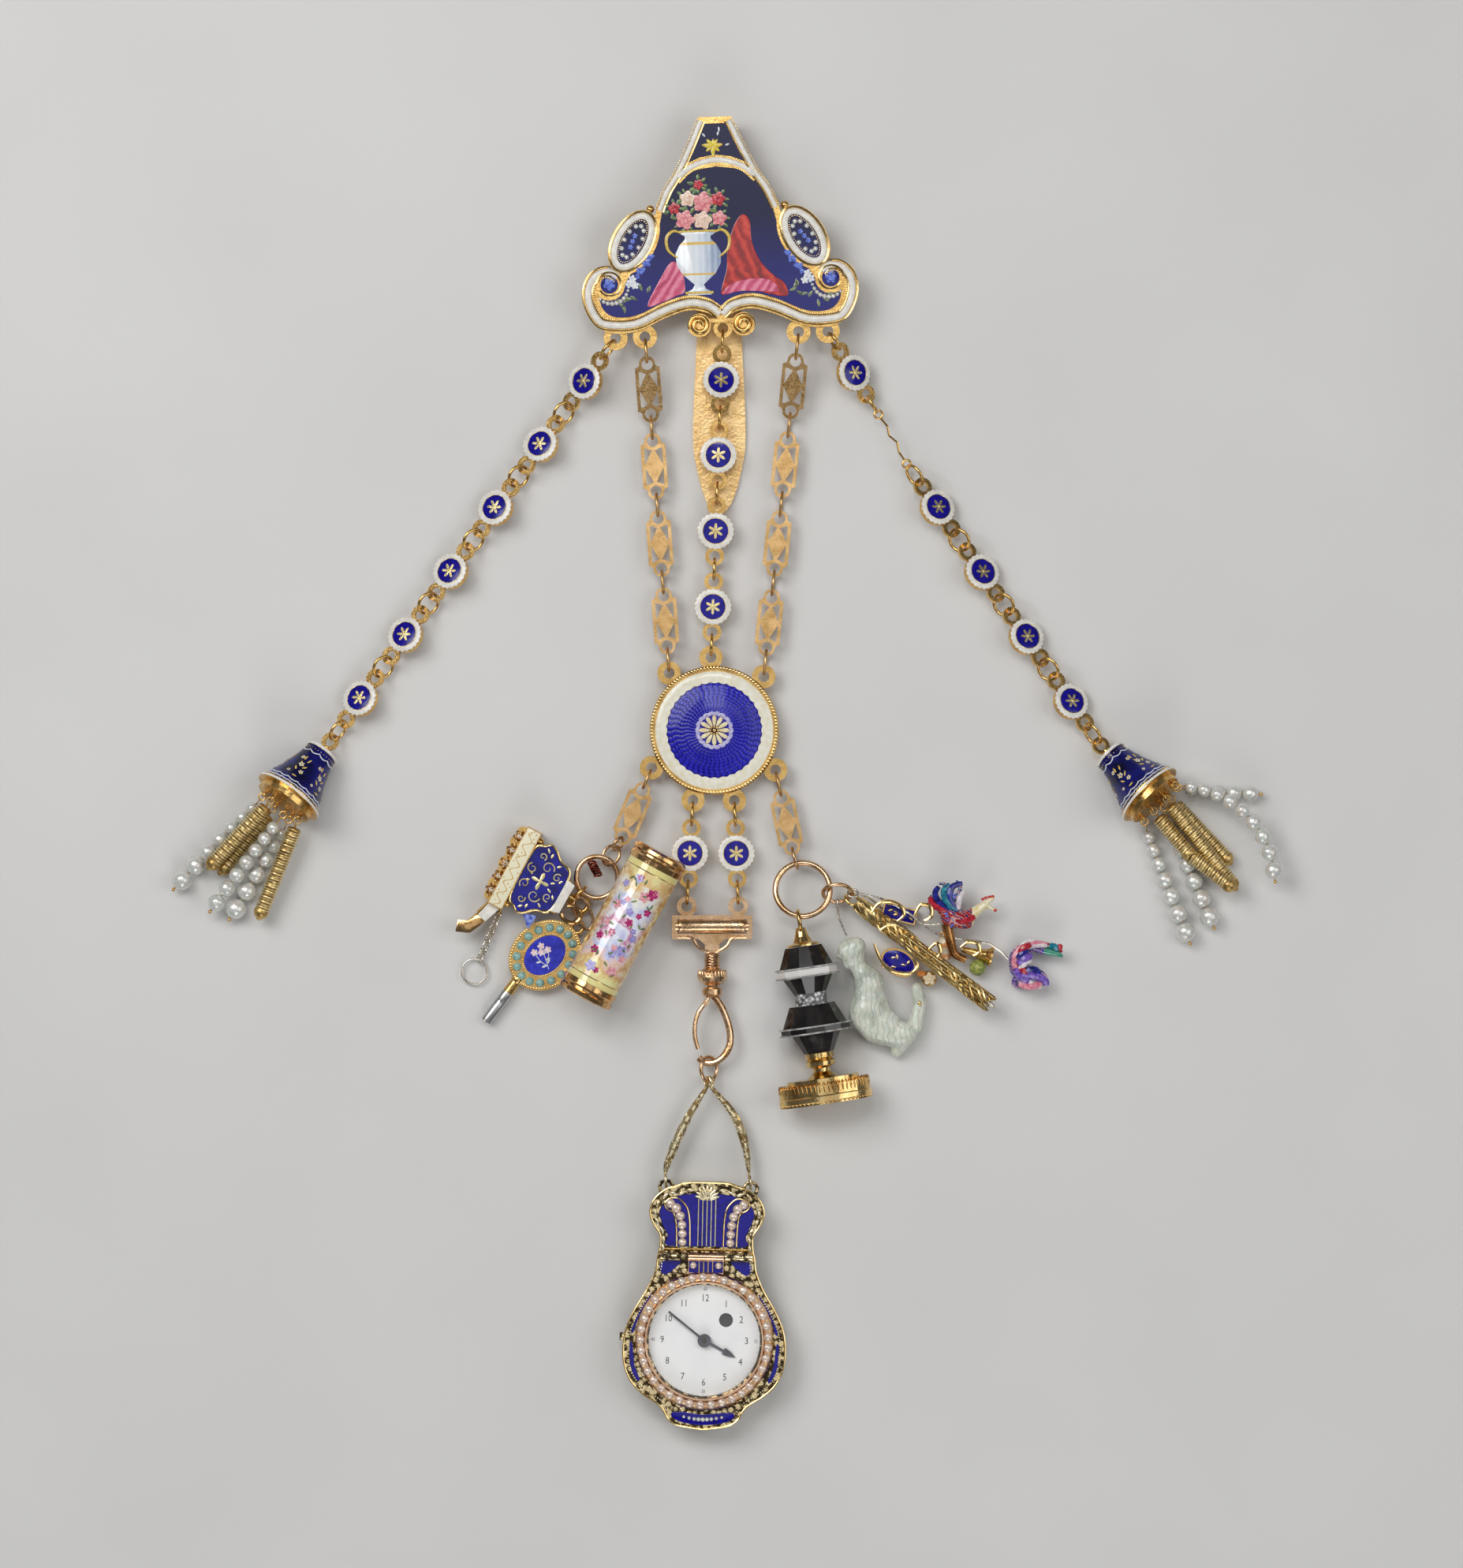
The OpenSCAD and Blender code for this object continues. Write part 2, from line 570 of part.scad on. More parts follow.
// Strands: [turn round the base, radius there, heading, bend, count or length, first radius, last
// radius, lift]
left_pearl_strands = [[-66, 5, 224, 4, 7, 1.35, 2.2, 0], [20, 3.9, 232, 2, 7, 1.4, 1.9, 3.4],
    [34, 5.2, 239, 0, 6, 1.4, 2.3, 0]];
left_coil_strands = [[-78, 2.6, 227, 0, 17, 4], [-14, 5.2, 230, 0, 15, 0], [80, 4.6, 248, 0, 19, 3.2]];
right_pearl_strands = [[70, 5.2, -6, 4, 5, 1.3, 1.8, 0], [100, 5, -4, -84, 9, 1.35, 2, 4.6],
    [6, 5.2, -67, 0, 7, 1.4, 2.2, 0], [-64, 5.2, -70, 2, 7, 1.4, 2.2, 0]];
right_coil_strands = [[34, 5.2, -47, 0, 16, 0], [52, 2.6, -52, 0, 21, 3.6]];

function bell_point(at, head, s, a, r) = let (x = s, y = r * sin(a), z = -r * cos(a),
    u = x * cos(bell_rise) - z * sin(bell_rise), w = x * sin(bell_rise) + z * cos(bell_rise),
    p = turned([bell_loop_back + u, y], head)) [at.x + p.x, at.y + p.y, bell_axis_z + w];
eye_r = 0.75;
base_eye_r = 0.65;
fall = 3;
function strand_start(at, head, s) = bell_point(at, head, bell_h + base_out + 0.45, s[0], s[1]);
function flat(p) = [p.x, p.y];

// Lengths along a pearl strand: each pearl takes its own width and a small gap
pearl_gap = 0.16;
function pearl_size(s, i) = mix(s[5], s[6], i / (s[4] - 1));
function pearl_s(s, i) = i <= 0 ? 0 : 2 * pearl_size(s, i - 1) + pearl_gap + pearl_s(s, i - 1);
function strand_knot(at, head, s, i) = let (run = pearl_s(s, s[4]), t = pearl_s(s, i),
    start = strand_start(at, head, s), h0 = s[2], turn = s[3],
    p = flat(start) + polar(fall, h0) + (abs(turn) < 1 ? polar(t, h0)
        : let (r = run / (turn * PI / 180)) r * [sin(h0 + turn * t / run) - sin(h0),
            cos(h0) - cos(h0 + turn * t / run)]),
    size = pearl_size(s, min(i, s[4] - 1)))
    [p.x, p.y, size + 0.1 + s[7] * (1 - 0.25 * t / run)];
module pearl_strand(at, head, s) {
    for (i = [0:s[4] - 1]) let (p = strand_knot(at, head, s, i), q = strand_knot(at, head, s, i + 1))
        along((p + q) / 2, q) rotate([0, 90, 0]) difference() {
            sphere(r = pearl_size(s, i), $fn = 48);
            cylinder(r = thread_r + 0.12, h = 10, center = true, $fn = 16);
        }
}
module eye_ring(start, h) {
    c = start + [eye_r * cos(h), eye_r * sin(h), 0];
    translate(c) torus(eye_r, 0.2);
}
module strand_thread(at, head, s) {
    start = strand_start(at, head, s);
    knots = [for (i = [0:s[4]]) strand_knot(at, head, s, i)];
    far = start + [2 * eye_r * cos(s[2]), 2 * eye_r * sin(s[2]), 0];
    last = knots[s[4]];
    before = knots[s[4] - 1];
    tip = last + 0.5 * (last - before) / norm(last - before);
    eye_ring(start, s[2]);
    tube(concat([far], knots, [tip]), thread_r, 6);
    ball(tip, 0.4);
}
// A spiral coil with a ball at its end, hung from its eye
coil_pitch = 0.95;
function coil_start(at, head, s) = let (start = strand_start(at, head, s), p = flat(start) + polar(fall,
    s[2]))
    [p.x, p.y, coil_r + 0.1 + s[5]];
module coil_profile(turns) {
    translate([0, -0.5]) square([coil_r - 0.45, turns * coil_pitch + 0.5]);
    for (i = [0:turns - 1]) translate([coil_r - 0.5, i * coil_pitch]) circle(r = 0.5, $fn = 16);
}
module coil_run(p, q, turns) {
    along(p, q) rotate([0, 90, 0]) rotate_extrude($fn = 32) intersection() {
        coil_profile(turns);
        translate([0, -1]) square([3, turns * coil_pitch + 2]);
    }
}
module coil_hanger(at, head, s) {
    start = strand_start(at, head, s);
    eye_ring(start, s[2]);
    rod(start + [2 * eye_r * cos(s[2]), 2 * eye_r * sin(s[2]), 0], coil_start(at, head, s), 0.25);
    ball(coil_start(at, head, s), 0.6);
}
module coil_end(p, q, run) {
    along(p, q) {
        translate([run + 0.6, 0, 0]) sphere(r = coil_r + 0.15, $fn = 32);
        translate([run + 2, 0, 0]) sphere(r = 0.6, $fn = 24);
    }
}
module coil_strand(at, head, s) {
    p = coil_start(at, head, s);
    d = flat(p) + polar(s[4], s[2]);
    q = [d.x, d.y, coil_r + 0.3 + s[5] * 0.7];
    turns = floor(s[4] / coil_pitch);
    coil_hanger(at, head, s);
    coil_run(p, q, turns);
    coil_end(p, q, turns * coil_pitch);
}
// A coil that is bent in the middle of its length
bent_coil = [-58, 2.2, -50, 12, 19, 3.8];
module bent_coil_strand(at, head, s) {
    turns = floor(s[4] / coil_pitch / 2);
    run = turns * coil_pitch;
    p = coil_start(at, head, s);
    first = [cos(s[2]), sin(s[2]), 0];
    second = [cos(s[2] + s[3]), sin(s[2] + s[3]), 0];
    knee = p + (run + 0.6) * first;
    start = knee + 1.1 * second;
    coil_hanger(at, head, s);
    coil_run(p, knee, turns);
    translate(knee) sphere(r = coil_r + 0.15, $fn = 32);
    coil_run(start, start + second, turns);
    coil_end(start, start + second, run);
}
module left_coils() {
    color("gold") for (s = left_coil_strands) coil_strand(left_bell_at, left_bell_heading, s);
}
module left_pearls() {
    color("white") for (s = left_pearl_strands) pearl_strand(left_bell_at, left_bell_heading, s);
}
module left_threads() {
    color("gold") for (s = left_pearl_strands) strand_thread(left_bell_at, left_bell_heading, s);
}
module right_coils() {
    color("gold") {
        for (s = right_coil_strands) coil_strand(right_bell_at, right_bell_heading, s);
        bent_coil_strand(right_bell_at, right_bell_heading, bent_coil);
    }
}
module right_pearls() {
    color("white") for (s = right_pearl_strands) pearl_strand(right_bell_at, right_bell_heading, s);
}
module right_threads() {
    color("gold") for (s = right_pearl_strands) strand_thread(right_bell_at, right_bell_heading, s);
}

// Clip that carries the watch
bar_top = -145.3;
bar_w = 5.3;
bar_rail = 0.8;
bar_loop_y = -143.3;
bar_loops = [[-7.2, bar_loop_y], [4.2, bar_loop_y]];
gate_pivot = [-2.9, -164.6];
gate_path = [[-2.9, -164.6], [-4.6, -166.8], [-5.4, -169.6], [-5.4, -172.4], [-4.7, -175]];
hook_path = [[-1.3, -163], [0.6, -165.8], [2, -169.4], [2.5, -172.4], [2.1, -174.8], [0.7, -176.9],
    [-1.2, -178], [-3.2, -178], [-4.6, -176.9]];
clip_zs = level_heights(1);
module clip_chains() {
    color("goldenrod") for (i = [0:1]) medal_chain(disc_loops[4 + i], bar_loops[i], 1, clip_zs, [90, 90], 0);
}
module clip_enamel() {
    color("mediumblue") for (i = [0:1]) medal_enamels(disc_loops[4 + i], bar_loops[i], 1, clip_zs, 0);
}
module clip_bar() {
    color("peru") translate([clip_x, 0, 0]) {
        translate([0, 0, chain_z - 1]) linear_extrude(height = 2) difference() {
            polygon([[-bar_l / 2, bar_top], [bar_l / 2, bar_top], [bar_l / 2, bar_top - bar_w], [3,
                bar_top - bar_w],
                [1.6, bar_top - bar_w - 1.2], [1.6, bar_top - bar_w - 3.2], [-1.6, bar_top - bar_w - 3.2],
                [-1.6, bar_top - bar_w - 1.2], [-3, bar_top - bar_w], [-bar_l / 2, bar_top - bar_w]]);
            translate([-bar_l / 2 + 1.2, bar_top - bar_w + bar_rail + 0.4])
                square([bar_l - 2.4, bar_w - 2 * bar_rail - 0.4]);
        }
        rod([-bar_l / 2 + 0.8, bar_top - bar_w / 2 + 0.2, chain_z], [bar_l / 2 - 0.8,
            bar_top - bar_w / 2 + 0.2, chain_z],
            rod_r);
        for (p = bar_loops) translate([p.x - clip_x, p.y, chain_z - link_t / 2]) difference() {
            cylinder(r = loop_r + 0.1, h = link_t);
            translate([0, 0, -1]) cylinder(r = loop_hole, h = link_t + 2);
        }
    }
}
module clip_hook() {
    stem_top = bar_top - bar_w - 3.3;
    color("peru") {
        translate([clip_x, stem_top, collar_r + 0.1]) rotate([90, 0, 0]) rotate_extrude($fn = 48)
            polygon([[0, 0], [1, 0], [1, 0.5], [1.3, 0.8], [1, 1.1], [1, 1.6], [1.3, 1.9], [1, 2.2], [1, 2.8],
                [2.2, 3.4], [collar_r - 0.3, 4.2], [collar_r, 5.1], [collar_r - 0.3, 6], [1.6, 6.9],
                [1.5, 7.4], [2.2, 7.8], [2.2, 9], [1.6, 9.6], [0, 9.6]]);
        tube([for (p = curve(hook_path, 2)) [p.x, p.y, collar_r + 0.1]], 0.8, 12);
        translate([gate_pivot.x, gate_pivot.y, collar_r + 0.1]) {
            cylinder(r = 0.35, h = 2.2, center = true, $fn = 24);
            for (s = [-1, 1]) translate([0, 0, s * 1.05]) cylinder(r = 0.75, h = 0.5, center = true,
                $fn = 24);
        }
        for (s = [-1, 1]) rod([gate_pivot.x, gate_pivot.y, collar_r + 0.1 + s * 1.05],
            [clip_x - 0.3, gate_pivot.y + 1.5, collar_r + 0.1 + s * 1.05], 0.3);
    }
}
module clip_gate() {
    color("peru") {
        translate([gate_pivot.x, gate_pivot.y, collar_r + 0.1]) difference() {
            cylinder(r = 0.75, h = 1.3, center = true, $fn = 24);
            cylinder(r = 0.35 + play, h = 3, center = true, $fn = 24);
        }
        difference() {
            tube([for (p = curve(gate_path, 2)) [p.x, p.y, collar_r + 0.1]], 0.5, 12);
            translate([gate_pivot.x, gate_pivot.y, collar_r + 0.1]) cylinder(r = 0.6, h = 3,
                center = true, $fn = 24);
        }
    }
}

// Ring and bail of the watch
watch_ring_at = [-2.3, -179.4, 3.4];
watch_ring_r = 2.7;
bail_wire = 0.32;
module watch_ring() {
    color("goldenrod") translate(watch_ring_at) rotate([0, ring_tilt, 0]) torus(watch_ring_r, 0.42);
}
head_loops = [[-9.2, 33.6], [9.6, 33.6]];
function on_watch(p) = turned(p, watch_turn) + watch_at;
head_loop_z = 3.6;
ring_tilt = 50;
bail_eye_y = -182.2;
bail_eye_r = 0.95;
bail_arms = [[[-2.6, -183.2], [-7.2, -190.6], [-11, -199], [-12, -202.4]],
    [[-2, -183.2], [3.1, -189.4], [5.6, -195.6], [6.6, -202.4]]];
module bail_arm(side) {
    path = bail_arms[side];
    apart = (side - 0.5) * 0.86;
    eye = [watch_ring_at.x + apart * cos(ring_tilt), bail_eye_y, watch_ring_at.z - apart * sin(ring_tilt)];
    foot = on_watch(head_loops[side]);
    points = [for (p = curve(path, 3)) [p.x, p.y, mix(eye.z, head_loop_z, (path[0].y - p.y)
        / (path[0].y - foot.y))]];
    n = len(points);
    last = points[n - 1];
    translate(eye) rotate([0, ring_tilt + 90, 0]) torus(bail_eye_r, bail_wire);
    tube(points, [for (i = [0:n - 1]) mix(0.35, 1, sin(180 * i / (n - 1)))], 10);
    translate([mix(last.x, foot.x, 0.5), mix(last.y, foot.y, 0.5), head_loop_z])
        rotate([90, 0, heading(last, foot)]) torus(norm(flat(last) - foot) / 2 - 0.1, bail_wire);
}
module watch_bail() {
    color("gold") for (side = [0, 1]) bail_arm(side);
}

// Watch, in its own axes: the dial's centre is the origin and the lyre's head is up
case_z = 1.5;
case_top = case_z + case_t;
dial_z = case_top - 0.7;
head_edge = [[0, 35], [4.4, 34.9], [6.6, 34.2], [9, 33.4], [11.6, 31.2], [12.6, 28.2], [11.6, 25.4],
    [10.2, 23.1], [10.3, 20], [10.7, 18.2], [11.1, 15.2], [12.8, 11.2], [15.6, 6.4], [17.4, 2.2], [17.9,
        -2.2],
    [17.5, -6], [16, -9.4], [13.4, -12], [10, -14.2], [8.6, -15.8], [7.6, -17.6], [5.4, -18.8], [0, -19.6]];
enamel_edge = [[0, 32.6], [4.4, 32.4], [8.6, 31.2], [10.6, 28.4], [9.9, 25.6], [8.7, 23], [8.8, 20.8],
    [0, 20.8]];
module half_outline(points, steps) {
    p = curve(points, steps);
    polygon(whole(p));
}
module watch_place() {
    translate([watch_at.x, watch_at.y, 0]) rotate(watch_turn) children();
}
hinge_y = 18.6;
hinge_z = case_top + 1.1;
knuckle_r = 0.9;
pin_r = 0.4;
knuckle_half = 4;
module watch_case() {
    back_r = 13;
    back_rise = 1.45;
    steps = 8;
    color("goldenrod") watch_place() {
        difference() {
            translate([0, 0, case_z]) linear_extrude(height = case_t) half_outline(head_edge, 3);
            translate([0, 0, case_top - 1.4]) cylinder(r = dial_r + 0.1, h = 5, $fn = 96);
            translate([0, 0, case_top - 0.5]) linear_extrude(height = 2) half_outline(enamel_edge, 3);
        }
        translate([0, 0, case_z]) rotate_extrude($fn = 96) polygon(concat([[0, 0.2], [back_r, 0.2]],
            [for (i = [0:steps]) let (r = back_r * (1 - i / steps)) [r, -dome_height(r, back_r,
                back_rise)]]));
        for (s = [-1, 1]) translate([s * (knuckle_half + 3.2), hinge_y, hinge_z]) rotate([0, 90, 0])
            cylinder(r = knuckle_r, h = 6.2, center = true, $fn = 32);
        for (s = [-1, 1]) translate([s * (knuckle_half + 3.2), hinge_y, case_top + 0.3])
            cube([6.2, 1.4, 1], center = true);
        translate([0, hinge_y, hinge_z]) rotate([0, 90, 0]) cylinder(r = pin_r, h = 10, center = true,
            $fn = 32);
        for (p = head_loops) translate([p.x, p.y, head_loop_z]) torus(1.45, 0.4);
        translate([-18.2, 0.4, case_z + case_t / 2]) rotate([0, 90, 0]) cylinder(r = 0.9, h = 1.2,
            center = true);
        translate([0, 0, dial_z - 0.8]) cylinder(r = arbor_r, h = 2.9, $fn = 32);
    }
}
module watch_head_enamel() {
    color("mediumblue") watch_place() translate([0, 0, case_top - 0.45]) linear_extrude(height = 0.6)
        half_outline([for (p = enamel_edge) [p.x * 0.985, 26.6 + (p.y - 26.6) * 0.985]], 3);
}
wind_at = [4.7, 4.6];
module watch_dial() {
    color("white") watch_place() difference() {
        translate([0, 0, dial_z - 0.6]) cylinder(r = dial_r, h = 0.65, $fn = 96);
        translate([0, 0, dial_z - 2]) cylinder(r = arbor_r + 0.2, h = 4, $fn = 32);
        translate([wind_at.x, wind_at.y, dial_z - 2]) cylinder(r = 1.5, h = 4, $fn = 32);
    }
}
bezel_z = case_top + 0.08;
bezel_t = 1.7;
glass_z = bezel_z + 1.4;
module watch_bezel() {
    bore = dial_r + 0.45;
    color("gold") watch_place() difference() {
        union() {
            translate([0, 0, bezel_z]) rotate_extrude($fn = 96) polygon([[bore, 0], [bezel_r, 0],
                [bezel_r, 0.9],
                [bezel_r - 0.5, bezel_t], [bore + 0.9, bezel_t], [bore, bezel_t - 0.5]]);
            translate([-knuckle_half + 0.1, 14.5, bezel_z]) cube([2 * knuckle_half - 0.2,
                hinge_y - 14.5, 0.9]);
            translate([0, hinge_y, hinge_z]) rotate([0, 90, 0])
                cylinder(r = knuckle_r, h = 2 * knuckle_half - 0.2, center = true, $fn = 32);
        }
        translate([0, hinge_y, hinge_z]) rotate([0, 90, 0]) cylinder(r = pin_r + play, h = 20,
            center = true, $fn = 32);
    }
}
module watch_glass() {
    edge = dial_r + 0.35;
    rise = 2.2;
    skin = 0.7;
    inner = edge - 2 * skin;
    steps = 10;
    color("lightcyan", 0.3) watch_place() translate([0, 0, glass_z]) rotate_extrude($fn = 96) polygon(concat(
        [for (i = [0:steps]) let (r = inner * i / steps) [r, dome_height(r, inner, rise - skin)]],
        [for (i = [steps:-1:0]) let (r = edge * i / steps) [r, dome_height(r, edge, rise)]]));
}
minute_at = 142;
hour_at = -27.5;
module hand(length, z, t, width) {
    translate([0, 0, z]) linear_extrude(height = t) {
        polygon([[0, -width / 2], [length * 0.6, -width / 3], [length * 0.62, -width], [length * 0.78,
            -width * 0.8],
            [length, 0], [length * 0.78, width * 0.8], [length * 0.62, width], [length * 0.6, width / 3],
            [0, width / 2]]);
        circle(r = 1.2);
    }
}
module hour_hand() {
    color("dimgray") watch_place() rotate(hour_at) difference() {
        hand(hour_l, dial_z + 0.3, 0.25, 0.8);
        translate([0, 0, dial_z]) cylinder(r = arbor_r + play, h = 2, $fn = 32);
    }
}
module minute_hand() {
    color("dimgray") watch_place() rotate(minute_at) difference() {
        union() {
            translate([0, -0.25, dial_z + 0.75]) cube([minute_l, 0.5, 0.25]);
            translate([0, 0, dial_z + 0.75]) cylinder(r = 1.5, h = 0.6, $fn = 32);
        }
        translate([0, 0, dial_z]) cylinder(r = arbor_r + play, h = 4, $fn = 32);
    }
}

// Left charms
left_link_end = [-21.4, -127.9];
ring_wide = 0.6;
left_ring_z = 3;
module left_charm_link() {
    a = [disc_loops[3].x, disc_loops[3].y, chain_z];
    b = [left_link_end.x, left_link_end.y, chain_z];
    u = (b - a) / norm(b - a);
    hole = b - u * plate_pitch;
    color("darkgoldenrod") {
        jump_ring(a, hole, plate_hole, 90);
        along((hole + b) / 2, b) plate_link();
    }
}
joint_rings = [[8.75, 1.55, 60], [5.8, 2.3, -40]];
module left_charm_rings() {
    color("peru") {
        translate([left_ring_at.x, left_ring_at.y, left_ring_z]) torus(left_ring_r - ring_wide, ring_wide);
        for (r = joint_rings) let (way = heading(left_ring_at, left_link_end),
            c = left_ring_at + polar(r[0], way))
            translate([c.x, c.y, left_ring_z]) rotate([0, 0, way]) rotate([r[2], 0, 0]) torus(r[1], 0.38);
    }
}
etui_rise = 1;
etui_cap = 3.5;
etui_top_z = 10.2;
module etui_place() {
    translate([etui_top.x, etui_top.y, etui_top_z]) rotate([0, 0, etui_heading]) rotate([0, etui_rise, 0])
        rotate([0, 90, 0]) children();
}
module etui_body() {
    color("moccasin") etui_place() translate([0, 0, etui_cap + 0.05]) cylinder(r = etui_r, h = etui_l,
        $fn = 64);
}
module etui_caps() {
    far = etui_cap + etui_l + 0.1;
    color("peru") etui_place() {
        rotate_extrude($fn = 64) polygon([[0, 0], [etui_r - 0.6, 0], [etui_r + 0.2, 0.5], [etui_r + 0.3, 1.2],
            [etui_r, 1.6], [etui_r, 2], [etui_r + 0.3, 2.4], [etui_r + 0.2, etui_cap], [0, etui_cap]]);
        translate([0, 0, far]) rotate_extrude($fn = 64) polygon([[0, 0], [etui_r + 0.2, 0],
            [etui_r + 0.3, 1.1],
            [etui_r, 1.5], [etui_r, 2], [etui_r + 0.3, 2.3], [etui_r + 0.2, 3.2], [etui_r - 0.6, etui_cap],
            [0, etui_cap]]);
    }
}

// Jug-shaped enamel charm, lying on its side, with its gold foot bar to the left
jug_turn = 28;
jug_half = [[-1.3, 5.6], [0.6, 7.5], [1.8, 8.3], [3.4, 7.6], [5.2, 6], [8.3, 4.4]];
flower_sizes = [1.3, 1.7, 1.4, 1.8, 1.4, 1.7, 1.3];
jug_eye_at = [-1.6, -10.1, 3];
jug_loop_reach = 5.1;
function on_jug(p) = let (q = turned(p, -jug_turn)) [jug_at.x + q.x, jug_at.y + q.y, p.z];
module jug_place() {
    translate([jug_at.x, jug_at.y, 0]) rotate(-jug_turn) children();
}
module jug_enamel() {
    color("navy") jug_place() translate([0, 0, 0.6]) linear_extrude(height = 5.4) {
        p = curve(jug_half, 4);
        polygon(concat(p, [for (i = [len(p) - 1:-1:0]) [p[i].x, -p[i].y]]));
    }
}
module jug_charm() {
    way = heading(left_ring_at, flat(on_jug([11.3, 0, 0])));
    loop_at = left_ring_at + polar(jug_loop_reach, way);
    color("goldenrod") {
        jug_place() {
            translate([-4.9, -9.5, 0.2]) cube([3.5, 19, 6.4]);
            translate([8.4, -4.8, 0.4]) cube([1.1, 8, 5.8]);
            for (i = [0:6]) translate([-5.3, (i - 3) * 2.6, 1])
                cylinder(r = flower_sizes[i], h = 1.8 + flower_sizes[i], $fn = 32);
            for (s = [-1, 1]) translate([-1.1, s * 7.6, 3.3]) sphere(r = 1.1);
            rod([9.2, 0, 3], [11.8, 0, 3], 0.9);
            translate([-1.5, -3, 0.2]) cube([10, 6, 0.35]);
            rod([9, -0.9, 1.2], [12, -0.9, 1.2], 0.45);
            translate([13.4, -0.4, 1.2]) torus(1.7, 0.6);
            rod([-3.4, -9, 3.3], [-4.9, -13, 3.3], 1.5);
            rod([-4.9, -13, 3.3], [-6.4, -17, 3.3], 1.2);
        }
        translate([loop_at.x, loop_at.y, left_ring_z]) rotate([90, 0, way]) torus(1.7, 0.4);
        translate(on_jug(jug_eye_at)) rotate([90, 0, heading(flat(on_jug(jug_eye_at)), fine_ring_at)])
            torus(0.7, 0.22);
    }
}
key_lean = 41;
key_z = 1.7;
key_t = 2.2;
module key_place() {
    translate([key_at.x, key_at.y, key_z]) rotate(key_lean) children();
}
module watch_key() {
    color("goldenrod") {
        key_place() {
            translate([0, 0, -key_t / 2]) difference() {
                ellipse_plate(key_a, key_b, key_t);
                translate([0, 0, key_t - 0.5]) ellipse_plate(key_a - 3.4, key_b - 3.4, 1);
            }
            translate([key_a + 0.9, 0, 0]) torus(1.3, 0.45);
        }
        tip = [-51.8, -168.9, 1.6];
        neck = [-44.8, -159.6, 1.7];
        rod([-43.4, -158, 1.7], neck, 1);
        ball(neck, 1.4);
        rod(neck, tip, 1.2);
    }
}
module key_enamel() {
    color("royalblue") key_place() translate([0, 0, key_t / 2 - 0.45])
        ellipse_plate(key_a - 3.5, key_b - 3.5, 0.7);
}

// Right charms
split_wire = 0.65;
split_tilt = -13;
split_z = 4.75;
split_reach = 7.1;
right_link_end = [16.1, -130.2];
module right_charm_link() {
    a = [disc_loops[6].x, disc_loops[6].y, chain_z];
    b = [right_link_end.x, right_link_end.y, chain_z];
    u = (b - a) / norm(b - a);
    hole = b - u * plate_pitch;
    color("darkgoldenrod") {
        jump_ring(a, hole, plate_hole, 90);
        along((hole + b) / 2, b) plate_link();
    }
}
small_ring_z = 4.6;
small_ring_r = 3.2;
small_ring_tilt = 52;
module right_charm_rings() {
    way = heading(split_ring_at, right_link_end);
    joint = split_ring_at + polar(split_reach, way);
    color("peru") {
        translate([split_ring_at.x, split_ring_at.y, split_z]) rotate([split_tilt, 0, 0])
            torus(split_ring_r - split_wire, split_wire);
        translate([joint.x, joint.y, chain_z + 0.15]) rotate([90, 0, way]) torus(2.3, 0.38);
        translate([small_ring_at.x, small_ring_at.y, small_ring_z]) rotate([small_ring_tilt, 0, 0])
            torus(small_ring_r, 0.45);
    }
}

// Seal: turned rock crystal held in gold, lying on its side, flattened from front to back
seal_top = [17.9, -147.6];
seal_z = 6.2;
seal_flat = 0.75;
module seal_place() {
    translate([seal_top.x, seal_top.y, seal_z]) rotate([0, 0, seal_heading]) children();
}
module seal_part(x, h, ra, rb, sides) {
    translate([x, 0, 0]) scale([1, 1, seal_flat]) rotate([0, 90, 0]) rotate([0, 0, 180 / sides])
        cylinder(r1 = ra, r2 = rb, h = h, $fn = sides);
}
module seal_stone() {
    color("dimgray") {
        seal_part(4.6, 4.6, 4.2, 6.2, 12);
        seal_part(9.2, 2, seal_r - 1, seal_r - 1, 12);
        seal_part(11.2, 3.8, 5.8, 3.7, 12);
        seal_part(15, 2.6, 3.6, 3.6, 12);
        seal_part(17.6, 4.6, 5.2, 7.4, 12);
        seal_part(22.2, 1.7, seal_r, seal_r, 12);
        seal_part(23.9, 4.4, 5.6, 3.4, 12);
    }
}
module seal_mount() {
    color("goldenrod") seal_place() {
        translate([-1.1, 0, 0]) rotate([90, 0, 0]) torus(2.3, 0.45);
        rotate([0, 90, 0]) rotate_extrude($fn = 32) polygon([[0, 0.4], [1, 0.4], [1.6, 2.4], [2.2, 3.6],
            [3.6, 4.1],
            [3.6, 4.5], [0, 4.5]]);
        rotate([0, 90, 0]) rotate_extrude($fn = 32) polygon([[0, 28.4], [3.2, 28.4], [3.3, 29.4], [2.8, 29.8],
            [3.3, 30.3], [3.2, 31.2], [1.9, 31.8], [1.9, 32.6], [3.6, 34], [0, 34.2]]);
        translate([34, 0, 0]) rotate([90, 0, 90]) ellipse_plate(8, 5, 1.6);
        translate([35.4, 0, 0]) rotate([90, 0, 90]) ellipse_plate(10.2, 6, 4.2);
    }
}
module seal_stone_placed() {
    seal_place() seal_stone();
}

